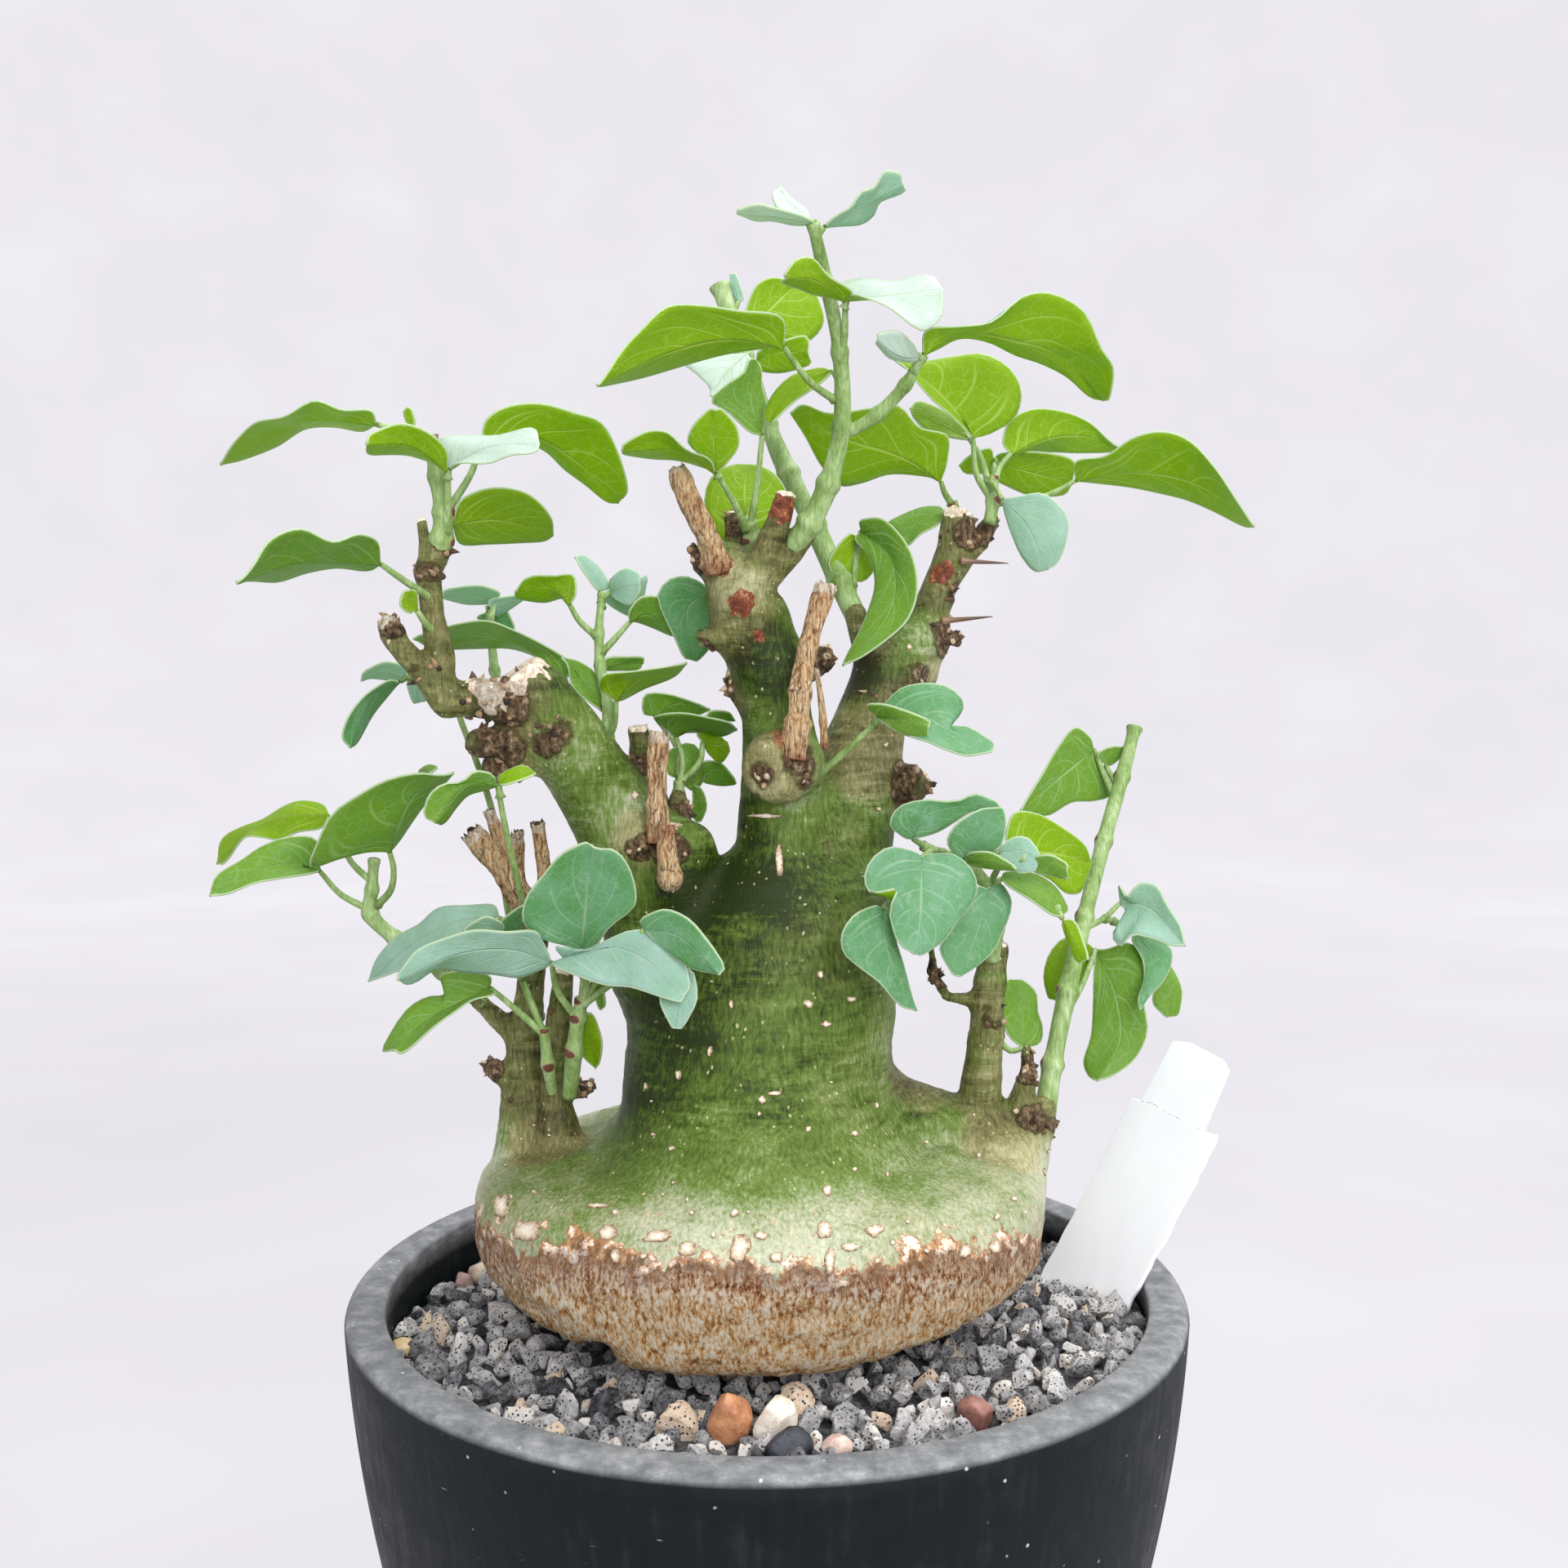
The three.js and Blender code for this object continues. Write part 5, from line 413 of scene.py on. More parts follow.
SPRAYS["spray_left_top"] = spray(-10, [
    [[-71.6, 286.5, -6, 2], [-70.2, 291, -6, 2.1], [-69.7, 297, -6, 1.8], [-71, 304.5, -5, 1.5],
     [-72.4, 313.3, -5, 1.3]],
], [
    leaf([[-83.8, 315.6, 2], [-95, 316.7, 8], [-105, 315, 15], [-117.5, 307, 24]], [[-85, 318.5],
         [-91, 318.6], [-97, 320.6], [-103.6, 317.2], [-109.6, 316], [-113.6, 312.6]], [[-87, 314.1],
         [-92.6, 315], [-99, 314.6], [-105, 311], [-111.6, 308.4]], [-9, 9], [[-72, 310.5, -5],
         [-77, 313.5, -2], [-86.5, 316, 2]]),
    leaf([[-68.6, 305.6, -10], [-76.6, 311, -16], [-86.2, 311.4, -22]], [[-69.6, 311.4], [-74, 314.6],
         [-79, 315.8], [-83.8, 314.3]], [[-72.4, 307.6], [-77, 309], [-81, 309.2], [-84.6, 309.1]],
         [-3, 5], [[-69.2, 292, -7], [-68.7, 299, -9], [-69.8, 306.8, -11]]),
    leaf([[-68.4, 306, -10], [-60, 310.5, -14], [-48.8, 311.4, -18]], [[-70, 312.6], [-65, 313.2],
         [-58, 313.2], [-51.4, 314.8]], [[-65.6, 307.4], [-60, 307.3], [-55, 309], [-51, 309.4]], [5, -5],
         [[-68.7, 304, -9.8], [-66.2, 307.4, -11]]),
    leaf([[-61.4, 310.6, 3], [-51, 313, 8], [-41, 307.6, 16], [-32, 298.8, 24]], [[-60.4, 316.4],
         [-56.4, 319.2], [-49, 320.1], [-41, 318], [-35.6, 316], [-32, 309.6], [-30, 302.6]],
         [[-57, 310.4], [-51.6, 311.4], [-47.6, 309.8], [-43.6, 306], [-39, 302.6], [-35.4, 299.6]],
         [-6, 5], [[-68.6, 297.5, -5.5], [-64, 304.5, 0], [-59.6, 311.2, 3.6]]),
    leaf([[-67.8, 294.6, -5], [-58, 295.4, 2], [-46, 292, 12]], [[-65.6, 299.8], [-59.4, 302.1],
         [-53, 301.5], [-49.4, 299.4], [-46.6, 296]], [[-66, 290.1], [-60, 290.1], [-53, 290.4],
         [-48.4, 290.7]], [-8, 8], [[-70, 292.5, -6], [-65.6, 295, -4]]),
    leaf([[-76, 314.6, -3], [-76.6, 317, -3], [-77.2, 319.3, -3]], [[-75.4, 316.4], [-76, 318.6]],
         [[-77.2, 315.4], [-78, 317.6]], [-0.5, 0.5], [[-72.2, 311.5, -5], [-74.6, 313.2, -4],
         [-76.4, 316, -3]]),
])
SPRAYS["leaf_left_lance"] = spray(-16, [], [
    leaf([[-83.2, 285.8, -12], [-93, 286.2, -16], [-103, 285.6, -22], [-114.5, 281.7, -30]],
         [[-84.6, 291.3], [-88, 292.2], [-93.4, 290.6], [-100.5, 293.4], [-107, 291], [-110.6, 285.8]],
         [[-87, 284.4], [-92.6, 285], [-99, 284], [-105.6, 282], [-110.6, 282.2]], [-9, 8],
         [[-72.6, 278.5, -7], [-79.6, 283.2, -11], [-86, 286, -12.8]]),
])
SPRAYS["leaf_left_small"] = spray(-10, [], [
    leaf([[-75.7, 276, -10], [-77, 278, -11], [-77.4, 280.4, -12]], [[-77.8, 275.4], [-79.3, 276.8],
         [-79, 279.2]], [[-75.4, 277.6], [-75.6, 279.6]], [-1, 1], [[-71.9, 271.2, -7], [-74, 273.4, -9],
         [-76.3, 277, -10.4]]),
])
SPRAYS["spray_left_behind"] = spray(14, [
    [[-32.6, 244.5, 6.5, 1.5], [-34.8, 248.5, 8, 1.4], [-34.6, 255, 9, 1.2], [-36.2, 264, 9, 1.1],
     [-36.4, 271, 9, 1], [-35.8, 279.5, 9, 0.8]],
], [
    leaf([[-42.6, 277, 6], [-47, 281, 8], [-54.6, 279.7, 10]], [[-41.2, 280.6], [-41.8, 283.5],
         [-46, 283.4], [-50.6, 283.4]], [[-44.6, 278.5], [-48, 277.6], [-53, 278.2]], [-4, 4],
         [[-36.6, 270, 9], [-40.6, 273.6, 7.6], [-43.6, 278.2, 6.2]]),
    leaf([[-36, 280, 9], [-37.2, 283.2, 8], [-41.5, 287.4, 6]], [[-37.6, 281.2], [-39.6, 284]],
         [[-34.2, 281.6], [-36.2, 285], [-38.8, 287.3]], [-2, 2], [[-35.9, 277.5, 9], [-36.6, 282, 8.6]]),
    leaf([[-34, 279.8, 9], [-31, 280.8, 5], [-27.4, 281.5, 3]], [[-33.4, 283.2], [-30.6, 285],
         [-28.4, 284.4]], [[-32, 277.8], [-29.8, 277], [-28, 279]], [1, -1], [[-35.9, 278.5, 9],
         [-32.4, 280.3, 7]]),
    leaf([[-29.8, 273.4, 7], [-26, 275.2, 6], [-20.3, 270.4, 6]], [[-29.6, 276.4], [-27.4, 278.8],
         [-23, 278.7], [-21, 274.6]], [[-27.6, 273.2], [-24.4, 272], [-22, 270.9]], [-3, 3],
         [[-36.1, 266.5, 9], [-33, 269.8, 8], [-28.8, 274, 6.8]]),
    leaf([[-32.8, 256.4, 3], [-29, 260.6, 0], [-17.4, 264.6, -6]], [[-36.6, 259.6], [-35.6, 262],
         [-30, 262.7], [-23, 263.6]], [[-31, 256.8], [-26.6, 259.1], [-20, 261.8]], [-6, 5],
         [[-34.8, 247.8, 8], [-33.2, 251.5, 5], [-32, 258.2, 2.6]]),
    leaf([[-43.6, 261, 13], [-52, 268, 16], [-62, 270.6, 18], [-76.6, 269.8, 18]], [[-42.2, 264.6],
         [-46, 267.2], [-54.6, 271.6], [-60.6, 273.7], [-67, 273], [-73, 271.3]], [[-46.4, 261.8],
         [-49, 265.2], [-55, 267.6], [-63, 267.7], [-70, 267.5]], [-7, 7], [[-35, 247, 8.5],
         [-40.6, 250.6, 10], [-43.3, 255.4, 12], [-44.4, 262.6, 13.4]]),
    leaf([[-35.4, 253.8, 10], [-38.6, 258.6, 11], [-44.6, 266, 8]], [[-42.4, 259.8], [-43.2, 263.6]],
         [[-35.8, 259], [-37.4, 262.6], [-40, 264.6]], [-1, 1], [[-34.8, 251, 8.6],
         [-36.6, 255.8, 10.3]]),
    leaf([[-36.3, 263.2, 9.6], [-32, 264.4, 12], [-26.8, 264.6, 14]], [[-34, 266], [-30, 266],
         [-27.6, 266]], [[-33, 262.9], [-29, 263]], [-1, 1], [[-36, 262, 9], [-34, 263.8, 10.8]]),
    leaf([[-35.6, 279, 10], [-31.4, 277.4, 12], [-27.4, 275, 14]], [[-30, 280.6], [-26, 283.6],
         [-26.6, 279]], [[-33.6, 276.6], [-30.8, 275]], [1, 1], [[-35.8, 276.5, 9], [-33.4, 278.2, 11]]),
])
SPRAYS["spray_left_far"] = spray(14, [
    [[-55.5, 255, 1, 1.6], [-57.5, 259, 16, 1.3], [-59, 263, 34, 1.1], [-60, 275, 34, 1]],
], [
    leaf([[-58.6, 278, 30], [-64, 279.4, 28], [-70.2, 279, 26]], [[-58.8, 280.4], [-62, 281.3],
         [-67.6, 280.8]], [[-61.6, 277.2], [-65, 277.2], [-68.4, 278]], [-3, 3], [[-60, 273.6, 29.5],
         [-60.8, 278.6, 29.4]]),
    leaf([[-59.6, 276, 30], [-56.6, 277, 31], [-51.9, 279.2, 33]], [[-59, 278.6], [-56, 279]],
         [[-57, 275.2], [-54, 277.2]], [-2, 2], [[-60, 274, 29.6], [-58, 276.6, 30.6]]),
    leaf([[-60.4, 275.6, 32], [-57.6, 274.6, 34], [-55, 271.2, 36]], [[-59.6, 277], [-56.8, 276.8],
         [-55.2, 274]], [[-62, 273.6], [-59, 271.8], [-57, 270.6]], [-1, 2], [[-59.8, 272.6, 29.4],
         [-59.2, 275.4, 32.6]]),
])
SPRAYS["leaf_left_drooping"] = spray(10, [], [
    leaf([[-79.4, 260.6, 4], [-86.6, 257, 0], [-90.5, 246.2, -3]], [[-83, 260.4], [-87.4, 257.4],
         [-90.8, 253], [-92.2, 249]], [[-82, 257.6], [-85.4, 253.4], [-88.6, 247.8]], [-3, 3],
         [[-51.6, 199, 1], [-56, 208, 11], [-58.8, 228, 11], [-62, 240, 10], [-66, 251, 7],
         [-69.8, 261, 5], [-75, 263, 5], [-81, 260, 3.4]]),
    leaf([[-78, 261, 4.5], [-82.6, 262.6, 7], [-88, 260.8, 10]], [[-78.6, 264], [-82.6, 264.9],
         [-86.2, 263.4]], [[-80.6, 260.7], [-84.4, 261.2]], [-3, 3], [[-76.4, 262.6, 5],
         [-80, 262, 5.4]]),
    leaf([[-77, 262, 5], [-76, 259.4, 6], [-75.6, 256, 8]], [[-78, 259.4], [-77.2, 256.8]],
         [[-74.4, 260.4], [-73.4, 257.6]], [0, 0], [[-76.4, 262.6, 5], [-76.4, 260.4, 5.6]]),
])
SPRAYS["spray_middle"] = spray(6, [
    [[-19.4, 232.5, 6.5, 1.5], [-19.4, 236, 7, 1.3], [-19.2, 239.2, 7, 1]],
], [
    leaf([[-20, 248.8, 8], [-15.4, 250.6, 5], [-6.6, 250.2, 2]], [[-24.6, 253], [-19, 253.9],
         [-13, 252.9], [-8.6, 251.9]], [[-18, 249.6], [-14, 249.5], [-10, 248.8]], [-7, 6],
         [[-19.3, 238, 7], [-18.4, 243.6, 8], [-18, 249.6, 7]]),
    leaf([[-24.4, 253, 16], [-20, 256, 16], [-12.4, 254.5, 16]], [[-27.2, 254.6], [-26.6, 257.8],
         [-22, 258], [-16.6, 256.4]], [[-21, 253], [-16.4, 253.2]], [-2, 2], [[-19, 240, 8],
         [-20, 247, 15], [-22, 254.2, 16]]),
    leaf([[-14.2, 247.4, 8], [-11.4, 246.8, 10], [-8.8, 247.6, 12]], [[-15, 249.6], [-12, 249.6]],
         [[-12.6, 244.6], [-10.4, 242.8], [-8.6, 244.8]], [-1, 1], [[-19.2, 238.4, 7],
         [-14.6, 243.6, 7.5], [-13, 247, 8.8]]),
    leaf([[-19.6, 239.5, 10], [-18, 243, 12], [-16, 247, 14]], [[-22, 241.4], [-21.6, 245.4], [-19, 247]],
         [[-15.6, 237], [-13.6, 240], [-14.2, 244.4]], [1, 1], [[-19.2, 237, 7], [-18.7, 241.4, 11]]),
    leaf([[-15.4, 240.6, 13], [-11.6, 241, 14], [-6.8, 238.6, 15]], [[-13.4, 243.6], [-10, 243],
         [-8, 240.8]], [[-13.6, 238.6], [-10.4, 238], [-8.2, 238.1]], [-1, 1], [[-17, 240.6, 11.6],
         [-13.4, 241, 13.4]]),
    leaf([[-16.6, 238.6, 12], [-15, 234, 13], [-15.6, 230.2, 14]], [[-16.4, 235.6], [-16.6, 232.4]],
         [[-13.8, 236.6], [-13.2, 233.4], [-14, 231]], [0, 0], [[-16.9, 240.6, 11.8],
         [-15.9, 236.4, 12.4]]),
    leaf([[-13.6, 253, 5], [-10.6, 253.4, 7], [-7, 252.2, 9]], [[-12, 254.4], [-9, 254.2]], [[-11, 252.6],
         [-8.6, 252.1]], [-1, 1], [[-15.2, 250.8, 5], [-11.8, 253.3, 6.2]]),
])
SPRAYS["leaf_behind_crown"] = spray(6, [], [
    leaf([[-12.6, 279.4, 7], [-17.2, 276.6, 10], [-16.6, 265.2, 12]], [[-14.2, 281.8], [-17.6, 283.3],
         [-21.4, 282.6], [-23.8, 279.2], [-22.4, 274.6], [-20, 269.6], [-18.6, 266.4]], [[-12, 276.6],
         [-11.6, 272], [-12, 268.6], [-14.4, 265.6]], [-1, 1], [[-6.5, 282.5, 5], [-10.6, 280.8, 7],
         [-14.6, 278.4, 8.4]]),
])
SPRAYS["spray_left_middle"] = spray(6, [
    [[-62, 190, 0, 1.7], [-71, 197.5, 0, 1.6], [-81, 204.5, 0, 1.6], [-86.6, 210.2, 0, 1.5],
     [-86.2, 215.5, 0, 1.3], [-85.6, 222, 0, 1.1]],
], [
    leaf([[-82.2, 223.6, -5], [-80, 230, -10], [-76.4, 236.4, -13], [-68, 240.9, -16]], [[-87, 223.6],
         [-93, 222.2], [-99.7, 220.4], [-98, 225.6], [-94.6, 232], [-88.6, 236.2], [-83, 239.2],
         [-76, 240.8], [-71.4, 240.4]], [[-80.4, 225.6], [-77.6, 229.6], [-75, 233.2], [-72.6, 235.8],
         [-70, 238.6]], [-4, 4], [[-85, 212, 0], [-82, 215.5, -3], [-81.4, 220, -4.5],
         [-81.8, 225.6, -6.6]]),
    leaf([[-95, 231.5, 3], [-104, 231.4, 9], [-112, 228.4, 16], [-119.8, 220.9, 24]], [[-97, 234.2],
         [-101.4, 234.8], [-105, 233.6], [-109.6, 230.8], [-114, 229.2], [-117.4, 227.6]],
         [[-97.4, 228.6], [-102, 227.9], [-106.4, 226.2], [-110, 226.8], [-113.6, 226.8], [-117, 222.4]],
         [5, -5], [[-86, 217, 0], [-90.6, 221.5, 1], [-97.4, 231.4, 3]]),
    leaf([[-97.4, 219.4, -2], [-105, 221, -7], [-113, 218.6, -13], [-121.6, 214, -20]], [[-98.4, 226.6],
         [-104, 227], [-109.8, 225], [-114.6, 221.8], [-119.4, 219]], [[-100.6, 218.6], [-106, 217.8],
         [-111.6, 216.8], [-117, 214.6]], [4, -4], [[-87.2, 211.2, 0], [-93, 214.4, -1],
         [-99.6, 220.2, -3]]),
    leaf([[-73.6, 240.4, -13.6], [-74, 241.6, -9], [-75.4, 241.4, -5]], [[-71.6, 242.2], [-73.6, 242.6]],
         [[-74.6, 240.5], [-75.8, 240.4]], [1, 1], [[-74.4, 238.6, -13.2], [-73.8, 241.2, -11.4]]),
])
SPRAYS["leaf_under_limb"] = spray(-12, [], [
    leaf([[-58.6, 238, -12], [-65, 238.6, -15], [-72.4, 229.9, -20]], [[-60.6, 241], [-63.6, 241.3],
         [-66.6, 238.9], [-70.6, 238.4], [-73.6, 236], [-74.7, 232.8]], [[-61.6, 237], [-65, 236],
         [-67.4, 233.6], [-69.6, 230.6]], [-2, 3], [[-51.3, 202.5, -1], [-52.4, 208, -10],
         [-57.2, 230, -13], [-60.4, 238.4, -13]]),
    leaf([[-58.4, 238.2, -12], [-55, 240.2, -12], [-50.2, 240.6, -11]], [[-57.6, 240.8], [-54, 242.4]],
         [[-56, 238.4], [-53, 239.4]], [2, -2], [[-58, 235.5, -12.8], [-56.6, 239.4, -12.2]]),
])
SPRAYS["spray_left_low"] = spray(-12, [
    [[-43.5, 170, -9, 1.6], [-42.4, 180, -12, 1.7], [-41.4, 187.5, -12, 1.5], [-40.8, 191.5, -12, 1.1]],
], [
    leaf([[-47.2, 199.5, -18], [-56, 202.4, -21], [-67, 201.6, -23], [-81, 195.6, -26]], [[-48.8, 203.6],
         [-50.4, 206.3], [-57, 206.2], [-64, 206.6], [-70, 205], [-76.6, 202.2], [-79.6, 198.6]],
         [[-50, 197.6], [-54.4, 196.1], [-60, 196.8], [-66.6, 197.2], [-72, 198.1], [-76.6, 195.3]],
         [-2, 3], [[-42, 187.5, -12], [-46, 193.2, -16], [-49.4, 200.6, -19]]),
    leaf([[-40.6, 202, -17], [-39.8, 210, -18], [-38.4, 225.3, -18]], [[-44.6, 203.2], [-49.6, 204.8],
         [-53.4, 208.4], [-52.8, 213.4], [-49, 218.6], [-45, 223.2], [-41.4, 225.2]], [[-37.4, 203],
         [-34.4, 207.2], [-29, 211.8], [-28.8, 216], [-30.8, 221.6], [-33.6, 224.2], [-36, 224.4]],
         [-3, -3], [[-40.8, 190, -12], [-40.3, 196, -15], [-40.4, 204.5, -17.6]]),
    leaf([[-44.6, 200.2, -21], [-34, 202.8, -25], [-26.6, 200, -28], [-18.4, 191.5, -31]], [[-45.4, 203],
         [-41, 202], [-36, 204], [-29.6, 206.6], [-23, 205.8], [-19, 202], [-17.3, 196.6]],
         [[-46.4, 198.4], [-41.6, 196.4], [-35.6, 194.4], [-30, 193.9], [-25, 192.3], [-21, 191]],
         [2, -3], [[-40.6, 190.5, -12], [-39.6, 195, -17], [-39.4, 200.8, -23]]),
    leaf([[-27, 206.6, -24.5], [-19.6, 205.4, -28], [-10.4, 196.6, -32]], [[-26.6, 209.8], [-22.4, 211.2],
         [-17.4, 209.2], [-13.4, 204.8], [-10.3, 200.4]], [[-24.4, 204], [-20.4, 200.6], [-16, 197.8],
         [-13, 197.2]], [-1, 0], [[-40.4, 191, -12], [-34, 200, -20], [-24.4, 206.8, -25.4]]),
    leaf([[-21, 197, -26], [-19.6, 191, -29], [-20.5, 184.8, -31]], [[-23.6, 194.6], [-23.6, 190.4],
         [-22, 186.8]], [[-16, 196.8], [-15.4, 191.4], [-17.6, 186.6]], [-1, 0], [[-40.6, 190, -12],
         [-32, 196, -19], [-24, 198, -24], [-20.4, 194.6, -27.2]]),
    leaf([[-40.2, 188.6, -12], [-38.8, 183, -9], [-37.7, 175.9, -6]], [[-41.4, 184.6], [-40.8, 179.4]],
         [[-37.6, 187], [-36.2, 182], [-36.6, 178]], [0, 0], [[-41.3, 189, -12], [-39.5, 186, -10.6]]),
    leaf([[-37.8, 195.4, -15], [-36.6, 192.6, -14], [-36.4, 189, -13]], [[-38.2, 192.6], [-37.4, 190]],
         [[-36, 194.4], [-35.4, 191]], [0, 0], [[-40.6, 190.6, -12], [-39.2, 193.4, -13.6],
         [-37.1, 194.2, -14.6]]),
])
SPRAYS["spray_left_front"] = spray(-6, [
    [[-46.8, 169, -4, 1.3], [-48.2, 177, -11, 1.2], [-49, 185, -11.5, 1]],
], [
    leaf([[-60.6, 193.8, -15], [-68, 190.2, -18], [-75.6, 186, -22], [-82, 180, -26]], [[-61.6, 197],
         [-67, 197.6], [-71.5, 196.6], [-70, 192.6], [-74.6, 191.8], [-79, 189], [-83.9, 181.4]],
         [[-60.2, 192.2], [-64.4, 191.2], [-68.6, 188.4], [-73, 185.2], [-78.4, 180.3]], [4, -5],
         [[-48.9, 183.5, -11.4], [-55, 189, -13], [-62.4, 193.6, -15.6]]),
    leaf([[-58.4, 209.4, -5], [-68, 208.4, -4], [-78, 203, 0], [-87.2, 195.2, 6]], [[-60.2, 212.2],
         [-65, 212], [-71.8, 211.4], [-76, 207.9], [-81, 205.2], [-85.4, 200.2]], [[-60.6, 207.4],
         [-66, 204.6], [-72, 201.6], [-78, 198.6], [-83, 196.6]], [4, -3], [[-49.2, 184, -11.5],
         [-53.8, 196, -9], [-56.4, 204, -6], [-60.6, 209.4, -5.6]]),
    leaf([[-56.4, 205.6, -12], [-54.6, 209, -14], [-51.6, 212.2, -15]], [[-58, 208.8], [-55, 211.2]],
         [[-53.4, 206.8], [-52, 209.8]], [-1, 1], [[-54.6, 199, -8.8], [-55.6, 207.2, -12]]),
    leaf([[-57.6, 206.2, -13], [-61, 207.6, -14], [-66.6, 206.2, -15]], [[-58.2, 208.4], [-61.4, 209.7],
         [-64.4, 208.2]], [[-60, 205.4], [-63.6, 205.2]], [-1, 1], [[-53.6, 196, -9], [-56, 202.5, -11.6],
         [-59.4, 206.8, -13.6]]),
])
SPRAYS["leaf_front"] = spray(-12, [], [
    leaf([[24.2, 252.6, -16], [33, 253, -20], [40, 249.6, -22], [48.9, 246, -23]], [[25.4, 256],
         [28.8, 259.2], [34, 260.3], [39.4, 259.3], [42.4, 255.8], [40.6, 252.3], [37.8, 250.8],
         [42.6, 251], [47.4, 248.4]], [[27, 250.8], [31, 248.6], [34.4, 247.6], [38.4, 245.9],
         [43, 244.5], [46.8, 245]], [3, -4], [[10.6, 240, -10.5], [17.6, 246.2, -14],
         [26.4, 253, -16.8]]),
    leaf([[24, 253, -17], [29, 252.6, -23], [34.9, 250.6, -25]], [[21.8, 255.8], [25, 255.8],
         [29.6, 254.5], [33.8, 252.9]], [[25.2, 251.4], [29, 249.2], [33, 248.2]], [-1, 1],
         [[23.4, 251.8, -16], [26.2, 253, -19]]),
])
SPRAYS["spray_right_low"] = spray(-12, [
    [[48.8, 200, -2, 1.8], [49.6, 207, -4, 1.6], [48.4, 215, -5, 1.5], [44.6, 219.6, -4, 1.4],
     [38, 223, -4, 1.2], [33.6, 225, -5, 0.9]],
], [
    leaf([[31.6, 226.4, -7], [34, 231.6, -9], [41, 233.6, -9], [50.4, 233.5, -8]], [[28.8, 227.2],
         [26.4, 229.6], [28, 233.2], [33, 235], [41, 234.8], [45, 236.4], [48.6, 235.2]], [[32.6, 226.6],
         [36.8, 227.9], [40.4, 230], [44, 232.3]], [-1, 1], [[35, 224.4, -4.4], [33, 225.6, -6],
         [32.6, 228.6, -7.8]]),
    leaf([[43, 221.8, -12], [46, 228, -15], [49.6, 233.4, -16]], [[40.2, 223], [38.9, 226], [40.6, 229.4],
         [44.4, 232.2]], [[46.6, 223.4], [50.4, 224.6], [51.8, 228.6], [51.6, 232]], [-1, -1],
         [[42.6, 220.4, -4], [41.6, 219.6, -9], [43.8, 223.6, -12.8]]),
    leaf([[50.4, 223.6, -15], [54.4, 224, -16], [58.7, 222.4, -17]], [[50.9, 225.2], [53.4, 227],
         [56.4, 226.8], [58.4, 224.6]], [[51.6, 221.2], [54.6, 219], [57.4, 219.2]], [0, 0],
         [[46, 224.6, -13.6], [48.6, 223.6, -14.2], [52, 223.6, -15.4]]),
    leaf([[42.8, 221.4, -13], [48, 221.6, -18], [54.2, 219.9, -20]], [[44.4, 223.7], [48.4, 223.7],
         [51.8, 221.9]], [[45.6, 220.3], [49.6, 219.8], [52.4, 219.6]], [-1, 1], [[42, 219.8, -10],
         [44.8, 221.6, -14.6]]),
    leaf([[57.6, 220.6, -16], [61.4, 220.8, -18], [65.1, 219.6, -19]], [[58.8, 222.9], [61.6, 223.1],
         [64.4, 221.7]], [[59.2, 218.7], [62, 218.3], [64.4, 217.6]], [-1, 1], [[55, 222.4, -16.4],
         [59, 220.8, -16.6]]),
    leaf([[52.6, 223, -6], [61, 223.4, 0], [70.4, 221.4, 7]], [[51.8, 228], [53.4, 232.2], [58, 232.2],
         [63.6, 229.3], [69, 225.2]], [[57, 219.6], [61.6, 217.4], [65, 214.5], [67.8, 214.6],
         [69.4, 218]], [-3, 3], [[48.2, 216, -5], [50, 220, -5.6], [55, 223.2, -4]]),
    leaf([[33.4, 222.4, -20], [33.2, 212, -25], [32, 201.2, -28]], [[30.6, 224.2], [26.4, 224.8],
         [22.4, 222], [20.9, 218], [22, 215], [25.4, 215.2], [28, 215.6], [26.4, 211], [27.6, 205.4]],
         [[36.6, 223.3], [40.4, 223.1], [44.4, 219.8], [45.6, 215.6], [44.2, 212.2], [41.6, 209],
         [38.6, 204.4], [35, 201.8]], [-3, 3], [[37.6, 223, -4], [36, 224.2, -12], [33.5, 219, -21.6]]),
    leaf([[25, 211.2, -21], [25.4, 204.4, -24], [28, 196.6, -24], [32.5, 188.7, -22]], [[22, 211.6],
         [18.6, 209.8], [16, 205.6], [16.4, 201.6], [20.4, 198], [24.4, 194.9], [27.6, 191]],
         [[26.6, 210], [28, 204], [29.6, 198.8], [31, 193.6]], [-3, 2], [[36.6, 223.3, -5],
         [30.6, 217.5, -16], [25.2, 208.8, -22]]),
    leaf([[48, 215.6, -9], [45.6, 206, -14], [42, 196.2, -16]], [[44.6, 215.6], [41.6, 210], [38.6, 205],
         [37.4, 202.4], [39.6, 197.8]], [[51.2, 216.4], [53.1, 212.6], [51.2, 206], [49, 201.7],
         [46.6, 199.4]], [-1, 1], [[48.4, 214, -5], [47.6, 213, -10]]),
    leaf([[50.8, 217.8, -10], [57.6, 217.4, -13], [64.2, 209.6, -15]], [[52.4, 219.3], [57.6, 219],
         [62.4, 216.2], [65, 212.2]], [[52.8, 215.8], [57, 213.2], [61.2, 210.2]], [3, -3],
         [[48.6, 213, -5], [49.6, 216.6, -8.4], [53.4, 217.8, -11]]),
    leaf([[64.2, 209, -15.4], [66.2, 205, -17], [70, 200, -18]], [[67.6, 207.6], [69.2, 203.2]],
         [[64.6, 206], [66.8, 200.4]], [-1, 1], [[62.6, 211.6, -14.6], [65.4, 206.8, -16.2]]),
])
